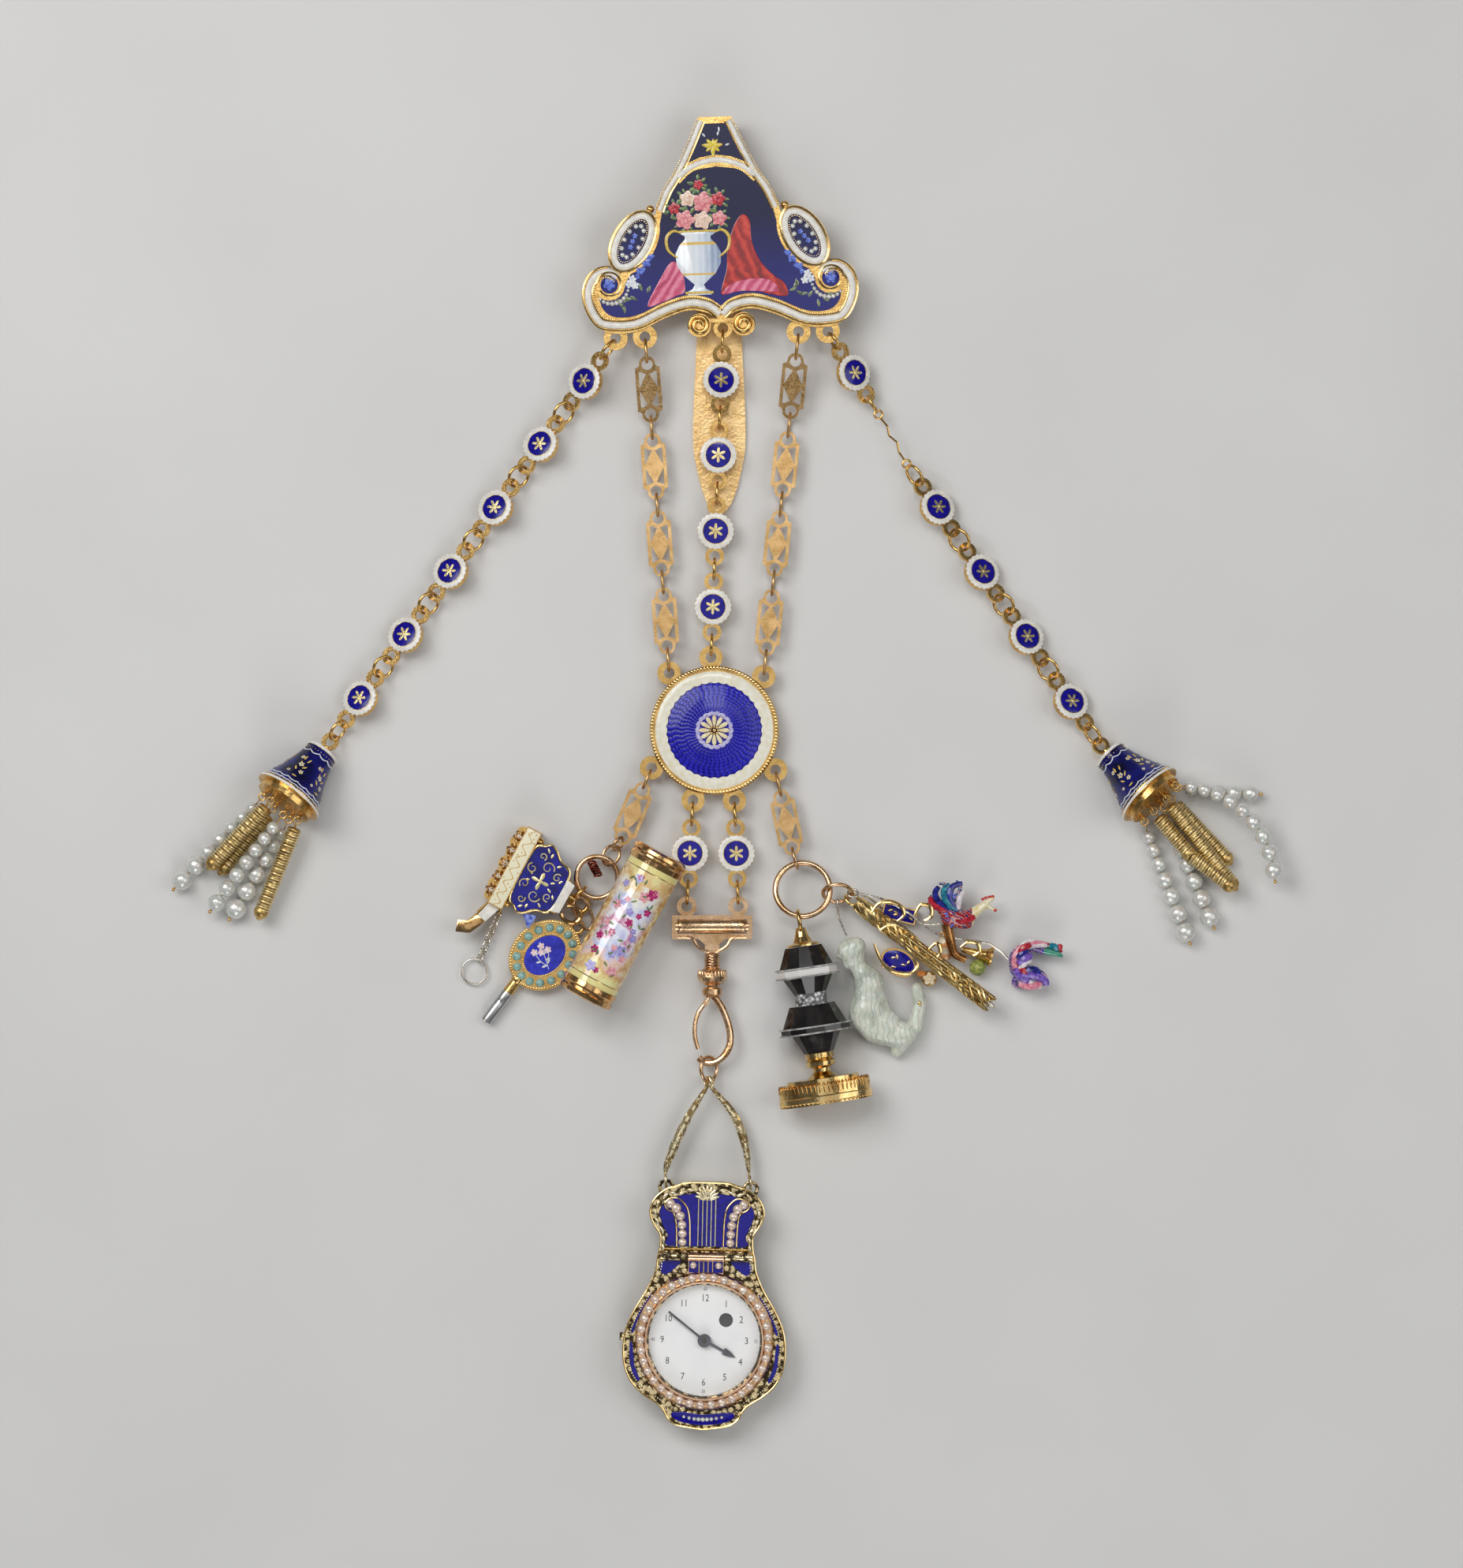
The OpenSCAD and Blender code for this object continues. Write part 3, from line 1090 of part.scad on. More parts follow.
// Figure carved from pale stone, with rivets through its limbs
figure_parts = [[[29.2, -153.2, 3.4], 3.1, [29.8, -155, 3.4], 2.6], [[31, -157, 3.2], 1.9, [33.4, -160,
    3.4], 3],
    [[33.4, -160, 3.4], 3, [31.8, -167.6, 3.3], 3.2], [[31.8, -167.6, 3.3], 3.2, [34.6, -171, 3.2], 2.9],
    [[34.6, -171, 3.2], 2.9, [40.6, -172.6, 2.8], 2.4], [[33.6, -160, 3], 2.2, [37, -168, 2.6], 1.7],
    [[37, -168, 2.6], 1.7, [41.2, -171.8, 2.4], 2], [[40.6, -172.6, 2.8], 2.4, [39.4, -175.6, 1.6], 1.4],
    [[43.4, -170, 2.4], 1.9, [44.6, -164.6, 2.6], 1.5], [[44.6, -164.6, 2.6], 1.5, [43.8, -161.4, 2.6], 1.3],
    [[41.2, -171.8, 2.4], 2, [43.4, -170, 2.4], 1.8]];
module stone_figure() {
    color("honeydew") for (f = figure_parts) hull() {
        translate(f[0]) sphere(r = f[1], $fn = 14);
        translate(f[2]) sphere(r = f[3], $fn = 14);
    }
}

// Bundle of twisted gold wires
bundle_a = [30.6, -142.6, 3.5];
bundle_b = [60.6, -165.4, 6.2];
module gold_bundle() {
    color("gold") along(bundle_a, bundle_b) {
        rotate([0, 90, 0]) cylinder(r = 1.7, h = 6.5, $fn = 32);
        for (i = [0:5]) let (s = [0, cos(60 * i) * 1.05, sin(60 * i) * 1.05], e = [37 - i % 3 * 2,
            cos(60 * i) * 1.5,
            sin(60 * i) * 1.3]) rod(s, e, 0.5);
        rod([0, 0, 0], [36, 0, 0], 0.65);
        translate([-1.4, 0, 0]) rotate([-47, 0, 0]) torus(1.6, 0.4);
    }
}

// Two birds: rounded limbs from body to beak, and tapering plumes
rooster_limbs = [[[51.4, -145.6, 4.4], 2.5, [54.6, -146.4, 4.4], 2.1], [[54.6, -146.2, 4.4], 1.7, [57.4,
    -144, 4.4], 1.1],
    [[57.4, -144, 4.4], 1.1, [59, -142.9, 4.4], 0.9], [[59, -142.9, 4.4], 0.6, [61.4, -144.4, 4.3], 0.3],
    [[58.8, -142.6, 4.4], 0.7, [60.6, -141.6, 4.4], 0.5], [[51.6, -145, 6], 1.3, [54.4, -146.2, 6], 0.8]];
rooster_plumes = [[[50.4, -145, 4.4], [49.4, -143, 4.6], [50.8, -140.6, 4.6], [50, -138.4, 4.4], [48.6,
    -138.4, 4.2]],
    [[50.8, -145, 4.8], [51, -143, 5.2], [53, -140.8, 5.2], [53.4, -138.6, 5], [52.4, -137.6, 4.8]],
    [[50.2, -145.4, 4], [48.6, -143.8, 4], [48, -141.6, 4], [46.6, -141, 3.8]]];
duck_limbs = [[[66.6, -157, 3.2], 2.4, [66.4, -154.6, 3.2], 2.2], [[66.4, -154.2, 3.2], 1.7, [69, -152,
    3.2], 1.4],
    [[69, -152, 3.2], 1.4, [71.8, -153, 3.2], 1.1], [[71.8, -153, 3.2], 1.2, [75.2, -153.8, 3.2], 0.8],
    [[75.2, -153.8, 3.2], 0.7, [76, -154.4, 3.2], 0.4]];
duck_plumes = [[[66.8, -157.4, 3.4], [69, -157.6, 3.8], [71.4, -158, 3.8], [72.6, -159.6, 3.4], [71.8,
    -161, 3]],
    [[66.6, -158.2, 2.8], [68.4, -160, 2.6], [70.6, -161, 2.4], [71.6, -161.4, 2.2]],
    [[66.2, -158.4, 2.2], [65.4, -160.4, 1.6], [66.6, -161.2, 1.4], [68.4, -161.6, 1.4]]];
plume_r = 0.85;
module bird(limbs, plumes) {
    for (f = limbs) hull() {
        translate(f[0]) sphere(r = f[1], $fn = 12);
        translate(f[2]) sphere(r = f[3], $fn = 12);
    }
    for (p = plumes) let (q = curve(p, 2), n = len(q))
        tube(q, [for (i = [0:n - 1]) plume_r * (1 - 0.6 * i / (n - 1))], 8);
}
module roosters() {
    color("firebrick") {
        bird(rooster_limbs, rooster_plumes);
        bird(duck_limbs, duck_plumes);
    }
}

// Small charms: two enamelled plaques, a column, a bead, a horn and a leaf ball
module small_charms() {
    color("goldenrod") {
        translate([40, -145, 1.3]) rotate(-14) cube([7.6, 3.4, 2.2], center = true);
        translate([39.8, -155.8, 0.2]) rotate(-28) ellipse_plate(4.2, 2.9, 2.9);
        ball([46.6, -159.4, 1.85], 1.75);
        rod([44.4, -158.1, 1.8], [46, -159, 1.8], 0.8);
        rod([50.5, -149, 1.6], [49.9, -155, 1.6], 1.5);
        translate([53.8, -152.9, 2.3]) rotate([0, 90, -14]) rotate_extrude($fn = 32)
            polygon([[0, 0], [0.7, 0], [0.9, 3], [1.4, 5.4], [2.2, 6.6], [2.2, 7], [0, 7]]);
        ball([57.4, -157, 1.9], 1.8);
    }
}

// Fine wires that carry the small charms, and the fine chain with its ring beside the jug
fine_ring_at = [-54.4, -157.85];
fine_ring_r = 2.8;
fine_r = 0.8;
fine_wire = 0.2;
fine_links = 11;
wire_r = 0.25;
charm_hub = [29.6, -140.4, 4.6];
hub_r = 1.1;
wire_routes = [[[33.4, -141.6, 3.4], [35.6, -143.2, 2], [36.1, -143.95, 1.4]],
    [[36, -141.6, 5], [42, -144.8, 4.2], [45.4, -147.2, 4], [48.9, -147.1, 4.2]],
    [[36, -141.6, 5], [42, -144.8, 4.2], [47.6, -149.2, 3.7], [54, -150.6, 4.4], [60, -151.6, 4.6],
        [64.1, -155, 3.4]]];
figure_eye = [26.2, -142.55, 2.25];
module fine_chain() {
    start = on_jug(jug_eye_at);
    end = [fine_ring_at.x, fine_ring_at.y, 1];
    u = (end - start) / norm(end - start);
    run = norm(end - start) - fine_ring_r - 0.25;
    first = 0.9;
    for (i = [0:fine_links - 1]) let (c = start + u * mix(first, run, i / (fine_links - 1)))
        along(c, c + u, i % 2 == 0 ? 45 : -45) torus(fine_r, fine_wire);
    translate(end) torus(fine_ring_r, 0.22);
}
module charm_wires() {
    color("silver") {
        translate(charm_hub) rotate([small_ring_tilt - 90, 0, 0]) torus(hub_r, 0.3);
        for (route = wire_routes) tube(curve(concat([charm_hub + [hub_r, 0, 0]], route), 2), wire_r);
        translate(figure_eye) rotate([0, 90, 0]) torus(1.1, 0.3);
        tube([figure_eye + [0, -1.1, 0], [26.6, -146, 2.8], [28.25, -149.9, 3.4]], wire_r);
        fine_chain();
    }
}

belt_hook();
plaque();
plaque_field();
plaque_top_panel();
plaque_border();
oval_rings();
oval_centres();
left_tassel_chain();
left_tassel_enamel();
right_tassel_chain();
right_tassel_enamel();
centre_chain();
centre_enamel();
left_plate_chain();
right_plate_chain();
disc();
disc_white();
disc_blue();
disc_rosette();
left_bell();
left_bell_enamel();
right_bell();
right_bell_enamel();
left_coils();
left_pearls();
left_threads();
right_coils();
right_pearls();
right_threads();
clip_chains();
clip_enamel();
clip_bar();
clip_hook();
clip_gate();
watch_ring();
watch_bail();
watch_case();
watch_head_enamel();
watch_dial();
watch_bezel();
watch_glass();
minute_hand();
hour_hand();
left_charm_link();
left_charm_rings();
etui_body();
etui_caps();
jug_charm();
jug_enamel();
watch_key();
key_enamel();
right_charm_link();
right_charm_rings();
seal_stone_placed();  // seal_stone
seal_mount();
stone_figure();
gold_bundle();
roosters();
small_charms();
charm_wires();
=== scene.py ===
"""Dresses a chatelaine: enamel, pearls, beadwork, painted sprays and worn gold on its parts."""

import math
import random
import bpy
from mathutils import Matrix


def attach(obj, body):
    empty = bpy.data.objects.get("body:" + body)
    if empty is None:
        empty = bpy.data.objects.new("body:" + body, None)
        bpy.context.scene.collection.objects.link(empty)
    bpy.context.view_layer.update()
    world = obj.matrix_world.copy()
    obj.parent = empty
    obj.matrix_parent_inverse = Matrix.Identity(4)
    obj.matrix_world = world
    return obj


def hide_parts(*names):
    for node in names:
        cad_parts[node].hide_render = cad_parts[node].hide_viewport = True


bl_info = {
    "name": "Chatelaine dressing",
    "version": (1, 0, 0),
    "blender": (4, 5, 0),
    "location": "3D View > Sidebar > Chatelaine",
    "description": "Adds enamel, pearls, beadwork and painted flowers to the metal parts of a chatelaine",
    "category": "Object",
}

import bmesh
import bpy
import numpy as np
from mathutils import Matrix, Vector

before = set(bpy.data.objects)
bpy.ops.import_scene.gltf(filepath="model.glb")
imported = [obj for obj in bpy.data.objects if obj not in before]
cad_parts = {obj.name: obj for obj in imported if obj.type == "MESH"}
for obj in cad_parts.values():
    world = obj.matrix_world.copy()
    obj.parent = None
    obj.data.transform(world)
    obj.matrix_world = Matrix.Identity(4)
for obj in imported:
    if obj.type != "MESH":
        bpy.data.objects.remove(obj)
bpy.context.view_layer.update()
MM = 0.001
# A pixel of the photo in millimetres, the photo's size, and its pixel at the origin
PIXEL = 0.175
PHOTO_WIDE, PHOTO_TALL = 1855, 1988
ORIGIN_X, ORIGIN_Y = 912, 330


# Places, in millimetres

def shift(x=0.0, y=0.0, z=0.0):
    return Matrix.Translation((x, y, z))


def spin(angle, axis="Z"):
    return Matrix.Rotation(math.radians(angle), 4, axis)


def stretch(x, y, z):
    return Matrix.Diagonal((x, y, z, 1))


def seat(point, normal, along):
    """A place on a surface: its third axis is the normal and its first lies near along."""
    third = Vector(normal).normalized()
    second = third.cross(Vector(along)).normalized()
    first = second.cross(third)
    turn = Matrix((first, second, third)).transposed().to_4x4()
    return Matrix.Translation(point) @ turn


PLAQUE = spin(1.9)
DISC = shift(-1.1, -104.3)
WATCH = shift(-3.3, -239.4) @ spin(-1.2)
ETUI = shift(-12.6, -131.4, 10.2) @ spin(241.6) @ spin(1, "Y") @ spin(90, "Y")
JUG = shift(-42.5, -136.3) @ spin(-28)
KEY = shift(-38.7, -154.2, 1.7) @ spin(41)
SEAL = shift(17.9, -147.6, 6.2) @ spin(-81.5)
BELL_RISE = math.degrees(math.atan((7.9 - 3.7) / 13.4))
BELL_AXIS = 3.7 * math.cos(math.radians(BELL_RISE)) + 0.3


def bell_at(x, y, heading):
    return (shift(x, y, 3.1) @ spin(heading) @ shift(2.6, 0, BELL_AXIS - 3.1) @ spin(-BELL_RISE, "Y")
            @ spin(90, "Y"))


BELLS = {"left": bell_at(-86.3, -106.8, 233.5), "right": bell_at(84.6, -107.7, -45.5)}


# Lines through points

def smooth_line(points, steps=5, closed=False):
    """A smooth line through the points."""
    given = [Vector(p) for p in points]
    count = len(given)
    line = []
    for i in range(count if closed else count - 1):
        if closed:
            a, b, c, d = (given[(i + k) % count] for k in (-1, 0, 1, 2))
        else:
            a, b, c, d = (given[min(max(i + k, 0), count - 1)] for k in (-1, 0, 1, 2))
        for step in range(steps):
            t = step / steps
            line.append(0.5 * (2 * b + (c - a) * t + (2 * a - 5 * b + 4 * c - d) * t * t
                               + (3 * b - 3 * c + d - a) * t * t * t))
    if not closed:
        line.append(given[-1])
    return line


def beside(line, distance):
    """The same flat line, moved sideways."""
    found = []
    for i, point in enumerate(line):
        before = line[max(i - 1, 0)]
        after = line[min(i + 1, len(line) - 1)]
        way = (after - before).normalized()
        side = way.copy()
        side.x, side.y = way.y, -way.x
        found.append(point + side * distance)
    return found


def spaced(line, gap):
    """Points and directions at even steps along a line."""
    found = []
    wait = 0.0
    for a, b in zip(line, line[1:]):
        run = (b - a).length
        if run < 1e-9:
            continue
        way = (b - a) / run
        while wait <= run:
            found.append((a + way * wait, way))
            wait += gap
        wait -= run
    return found


def ellipse(a, b, count):
    return [Vector((a * math.cos(2 * math.pi * i / count), b * math.sin(2 * math.pi * i / count)))
            for i in range(count)]


def both(points):
    """A right half and its mirrored left half."""
    return [points, [Vector((-p.x, p.y)) for p in points]]


# Modelling

def free():
    bpy.ops.object.select_all(action="DESELECT")


def pick(*pieces):
    free()
    for piece in pieces:
        piece.select_set(True)
    bpy.context.view_layer.objects.active = pieces[0]


def settle(piece):
    pick(piece)
    bpy.ops.object.transform_apply(location=True, rotation=True, scale=True)


def join(pieces):
    pick(*pieces)
    if len(pieces) > 1:
        bpy.ops.object.join()
    piece = bpy.context.view_layer.objects.active
    settle(piece)
    return piece


def scatter(model, places):
    """Copies of one model at each place, joined. Each copy has its own mesh."""
    made = []
    for place in places:
        copy = model.copy()
        copy.data = model.data.copy()
        copy.matrix_basis = place
        bpy.context.collection.objects.link(copy)
        made.append(copy)
    bpy.data.objects.remove(model)
    return join(made)


def shape_points(piece, rule):
    """Moves each point of a mesh to where the rule puts it."""
    for point in piece.data.vertices:
        point.co = rule(point.co.copy())


def ball(radius, around=12, rings=8, squash=(1, 1, 1)):
    free()
    bpy.ops.mesh.primitive_uv_sphere_add(segments=around, ring_count=rings, radius=radius)
    piece = bpy.context.object
    shape_points(piece, lambda p: Vector((p.x * squash[0], p.y * squash[1], p.z * squash[2])))
    return piece


def hoop(radius, wire, around=32, sides=8):
    free()
    bpy.ops.mesh.primitive_torus_add(major_radius=radius, minor_radius=wire, major_segments=around,
                                     minor_segments=sides)
    return bpy.context.object


def turned(levels, around=32, ring=False):
    """A turned form. Each level is a radius, or a rule from angle to radius, and a height.

    A ring stays open in the middle, and its last level is joined to its first.
    """
    free()
    bpy.ops.mesh.primitive_circle_add(vertices=around, radius=1, fill_type="NOTHING")
    piece = bpy.context.object
    bpy.ops.object.mode_set(mode="EDIT")
    bpy.ops.mesh.select_all(action="SELECT")
    for number, (radius, height) in enumerate(levels):
        if number:
            bpy.ops.mesh.extrude_region_move()
        mesh = bmesh.from_edit_mesh(piece.data)
        for point in mesh.verts:
            if point.select:
                angle = math.atan2(point.co.y, point.co.x)
                r = max(radius(angle) if callable(radius) else radius, 1e-4)
                point.co = (r * math.cos(angle), r * math.sin(angle), height)
        bmesh.update_edit_mesh(piece.data)
    if ring:
        bpy.ops.mesh.select_all(action="DESELECT")
        bpy.ops.mesh.select_non_manifold()
        bpy.ops.mesh.bridge_edge_loops()
    else:
        bpy.ops.mesh.select_all(action="SELECT")
        bpy.ops.mesh.fill_holes(sides=0)
    bpy.ops.mesh.select_all(action="SELECT")
    bpy.ops.mesh.normals_make_consistent(inside=False)
    bpy.ops.object.mode_set(mode="OBJECT")
    return piece


def plate(points, low, high, edge=0.0):
    """A flat plate with the outline of the points, with its upper edge drawn in."""
    free()
    bpy.ops.mesh.primitive_circle_add(vertices=len(points), radius=1, fill_type="NGON")
    piece = bpy.context.object
    for vertex, point in zip(piece.data.vertices, points):
        vertex.co = (point[0], point[1], low)
    bpy.ops.object.mode_set(mode="EDIT")
    bpy.ops.mesh.select_all(action="SELECT")
    bpy.ops.mesh.extrude_region_move(TRANSFORM_OT_translate={"value": (0, 0, high - low)})
    if edge:
        bpy.ops.mesh.inset(thickness=edge, depth=0)
        bpy.ops.transform.translate(value=(0, 0, edge * 0.4))
    bpy.ops.mesh.select_all(action="SELECT")
    bpy.ops.mesh.normals_make_consistent(inside=False)
    bpy.ops.object.mode_set(mode="OBJECT")
    return piece


def wires(lines, radius, closed=False, sides=1, taper=None):
    """Round wires along lines of points."""
    path = bpy.data.curves.new("wire", "CURVE")
    path.dimensions = "3D"
    path.bevel_depth = radius
    path.bevel_resolution = sides
    path.use_fill_caps = not closed
    for line in lines:
        spline = path.splines.new("POLY")
        spline.points.add(len(line) - 1)
        for i, (knot, point) in enumerate(zip(spline.points, line)):
            knot.co = (*Vector(point).to_3d(), 1)
            knot.radius = taper(i / (len(line) - 1)) if taper else 1
        spline.use_cyclic_u = closed
    piece = bpy.data.objects.new("wire", path)
    bpy.context.collection.objects.link(piece)
    pick(piece)
    bpy.ops.object.convert(target="MESH")
    return bpy.context.object


def lifted(line, z):
    return [Vector((p[0], p[1], z)) for p in line]


def moved(piece, place):
    """The same piece, with its mesh moved to a place."""
    piece.data.transform(place)
    return piece


def circled(count, radius, z=0.0, first=0.0):
    """Even places round the third axis, the first a share of a step past the first axis."""
    return [spin(360 * (i + first) / count) @ shift(radius, 0, z) for i in range(count)]


def copy_of(node):
    """A merged copy of a solid part, in millimetres."""
    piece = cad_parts[node].copy()
    piece.data = piece.data.copy()
    piece.parent = None
    piece.matrix_basis = Matrix()
    bpy.context.collection.objects.link(piece)
    piece.data.transform(Matrix.Scale(1 / MM, 4))
    pick(piece)
    bpy.ops.object.mode_set(mode="EDIT")
    bpy.ops.mesh.select_all(action="SELECT")
    bpy.ops.mesh.remove_doubles(threshold=0.001)
    bpy.ops.mesh.normals_make_consistent(inside=False)
    bpy.ops.object.mode_set(mode="OBJECT")
    return piece


def finish_with(piece, kind, **settings):
    """Adds one modifier and applies it."""
    pick(piece)
    modifier = piece.modifiers.new(kind.title(), kind)
    for key, value in settings.items():
        setattr(modifier, key, value)
    bpy.ops.object.modifier_apply(modifier=modifier.name)


def keep(piece, name, finish, place=None, body="main", replaces=(), angle=40):
    """Sets a piece at its place in the frame, with its finish and the body that carries it."""
    settle(piece)
    bpy.ops.object.shade_smooth_by_angle(angle=math.radians(angle))
    piece.data.transform(Matrix.Scale(MM, 4) @ (place or Matrix()))
    piece.name = name
    piece.data.name = name
    piece.data.materials.clear()
    piece.data.materials.append(finish)
    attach(piece, body)
    if replaces:
        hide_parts(*replaces)


# Finishes

class Tone:
    """A value on its way through a material. Sums and products of tones add their nodes."""

    def __init__(self, recipe, socket):
        self.recipe = recipe
        self.socket = socket

    def _math(self, operation, a, b=0.0):
        return self.recipe.node("ShaderNodeMath", {"operation": operation}, {0: a, 1: b})

    def __add__(self, other):
        return self._math("ADD", self, other)

    __radd__ = __add__

    def __sub__(self, other):
        return self._math("SUBTRACT", self, other)

    def __rsub__(self, other):
        return self._math("SUBTRACT", other, self)

    def __mul__(self, other):
        return self._math("MULTIPLY", self, other)

    __rmul__ = __mul__

    def __gt__(self, other):
        return self._math("GREATER_THAN", self, other)

    def __lt__(self, other):
        return self._math("LESS_THAN", self, other)

    def __abs__(self):
        return self._math("ABSOLUTE", self)

    def sine(self):
        return self._math("SINE", self)

    def angle_to(self, other):
        return self._math("ARCTAN2", self, other)

    def root(self):
        return self._math("SQRT", self)


class Recipe:
    """Builds one material from nodes."""

    def __init__(self, name):
        self.material = bpy.data.materials.new(name)
        self.material.use_nodes = True
        self.tree = self.material.node_tree
        self.tree.nodes.clear()

    def node(self, kind, settings=None, values=None, out=0):
        node = self.tree.nodes.new(kind)
        for key, value in (settings or {}).items():
            if key == "stops":
                stops = node.color_ramp.elements
                while len(stops) > 1:
                    stops.remove(stops[-1])
                stops[0].position, stops[0].color = value[0][0], (*value[0][1], 1)
                for position, colour in value[1:]:
                    stops.new(position).color = (*colour, 1)
            else:
                setattr(node, key, value)
        for key, value in (values or {}).items():
            if isinstance(value, Tone):
                self.tree.links.new(value.socket, node.inputs[key])
            else:
                node.inputs[key].default_value = value
        return Tone(self, node.outputs[out])

    def place(self, place=None, scale=(1, 1, 1)):
        """Object coordinates in millimetres, measured from a place."""
        place = place or Matrix()
        at, turn, _ = place.decompose()
        coords = self.node("ShaderNodeTexCoord", out="Object")
        return self.node("ShaderNodeMapping", {"vector_type": "TEXTURE"},
                         {"Vector": coords, "Location": tuple(at * MM), "Rotation": tuple(turn.to_euler()),
                          "Scale": tuple(MM * s for s in scale)})

    def parts(self, where, axes):
        """The coordinates of a place along the named axes."""
        return [self.node("ShaderNodeSeparateXYZ", None, {0: where}, "XYZ".index(axis)) for axis in axes]

    def noise(self, where, size, detail=3.0, roughness=0.5):
        return self.node("ShaderNodeTexNoise", None,
                         {"Vector": where, "Scale": 1 / size, "Detail": detail, "Roughness": roughness})

    def cells(self, where, size):
        return self.node("ShaderNodeTexVoronoi", None, {"Vector": where, "Scale": 1 / size})

    def ramp(self, value, *stops):
        return self.node("ShaderNodeValToRGB", {"stops": stops}, {0: value})

    def limits(self, value, low, high, to_low=0.0, to_high=1.0):
        return self.node("ShaderNodeMapRange", None, {0: value, 1: low, 2: high, 3: to_low, 4: to_high})

    def mix(self, mask, under, over):
        under = under if isinstance(under, Tone) else (*under, 1)
        over = over if isinstance(over, Tone) else (*over, 1)
        return self.node("ShaderNodeMix", {"data_type": "RGBA"}, {0: mask, 6: under, 7: over}, 2)

    def bump(self, height, depth):
        return self.node("ShaderNodeBump", None, {"Height": height, "Distance": depth * MM, "Strength": 1.0})

    def surface(self, colour, roughness=0.3, metallic=0.0, coat=0.0, normal=None, **fixed):
        values = {"Base Color": colour if isinstance(colour, Tone) else (*colour, 1), "Roughness": roughness,
                  "Metallic": metallic, "Coat Weight": coat}
        if normal:
            values["Normal"] = normal
        values.update({key.replace("_", " "): value for key, value in fixed.items()})
        shader = self.node("ShaderNodeBsdfPrincipled", None, values)
        end = self.tree.nodes.new("ShaderNodeOutputMaterial")
        self.tree.links.new(shader.socket, end.inputs["Surface"])
        return self.material


def worn_gold(name, bright, deep, roughness=0.22, grain=0.03):
    """Polished gold with darker tarnish in patches, fine scratches and rubbed highlights."""
    r = Recipe(name)
    where = r.place()
    patches = r.noise(where, 2.6, 5)
    fine = r.noise(where, 0.35, 3)
    mask = r.limits(patches * 0.7 + fine * 0.3, 0.36, 0.62)
    colour = r.mix(mask, deep, bright)
    rough = r.limits(fine, 0.3, 0.7, roughness * 0.75, roughness * 1.5)
    return r.surface(colour, rough, 1.0, normal=r.bump(r.noise(where, 0.7, 4), grain))


def engraved_gold(name, place, bright, deep, cover=0.45):
    """Chased gold: bright leaves over a blackened ground."""
    r = Recipe(name)
    where = r.place(place)
    x, y = r.parts(where, "XY")
    leaf = r.cells(where, 1.25)
    vein = abs(((x * 1.3 + y * 2.1 + r.noise(where, 1.8) * 9.0) * 2.2).sine())
    ground = r.limits(leaf * 1.1 + vein * 0.3, cover, cover + 0.27)
    colour = r.mix(ground, bright, deep)
    rough = r.limits(ground, 0, 1, 0.24, 0.5)
    return r.surface(colour, rough, 1.0, normal=r.bump(1 - ground, 0.14))


def enamel(name, light, dark, size=2.0, coat=0.22, roughness=0.14, ripple=0.02):
    """Glossy enamel with a little cloud in its colour."""
    r = Recipe(name)
    where = r.place()
    cloud = r.limits(r.noise(where, size, 4), 0.35, 0.65)
    return r.surface(r.mix(cloud, dark, light), roughness, 0.0, coat,
                     r.bump(r.noise(where, size * 0.8, 2), ripple), Coat_Roughness=0.04,
                     Specular_IOR_Level=0.3)


def folded_paint(name, light, mid, dark, place, lean=0.0, fold=1.4):
    """Painted cloth: soft folds that run one way, with light and dark sides."""
    r = Recipe(name)
    where = r.place(place @ spin(lean))
    [x] = r.parts(where, "X")
    bend = r.noise(where, 4.0, 3) * 9.0
    folds = ((x * (6.28 / fold) + bend).sine() * 0.5 + 0.5) * 0.42 + r.noise(where, 2.4, 4) * 0.62
    colour = r.ramp(folds, (0.12, dark), (0.48, mid), (0.92, light))
    return r.surface(colour, 0.2, 0.0, 0.5, Coat_Roughness=0.05)


def pearl_finish(name, tint):
    """Pearl: warm white with a faint pink and green shift and a soft skin."""
    r = Recipe(name)
    where = r.place()
    drift = r.noise(where, 1.6, 3)
    colour = r.ramp(drift, (0.3, (tint[0] * 0.94, tint[1] * 0.85, tint[2] * 0.82)), (0.5, tint),
                    (0.7, (tint[0] * 0.88, tint[1] * 0.95, tint[2] * 0.93)))
    return r.surface(colour, r.limits(r.noise(where, 0.6), 0.3, 0.7, 0.2, 0.36), 0.35, 0.8,
                     r.bump(r.noise(where, 1.3, 2), 0.22), Coat_Roughness=0.1)


FINISHES = {}


def finish(name, maker=None, *settings, **named):
    """Gives a finish by name, and makes it the first time."""
    if name not in FINISHES:
        FINISHES[name] = maker(name, *settings, **named)
    return FINISHES[name]


# Sizes and colours that a user would change

class GoldColours(bpy.types.PropertyGroup):
    """Colours of the metals"""
    yellow: bpy.props.FloatVectorProperty(name="Yellow gold", description="Bright colour of the main gold",
                                          subtype="COLOR", default=(0.86, 0.56, 0.2))
    pale: bpy.props.FloatVectorProperty(name="Pale gold", description="Bright colour of the plate links",
                                        subtype="COLOR", default=(0.8, 0.52, 0.24))
    rose: bpy.props.FloatVectorProperty(name="Rose gold", description="Bright colour of the clip and rings",
                                        subtype="COLOR", default=(0.84, 0.58, 0.36))


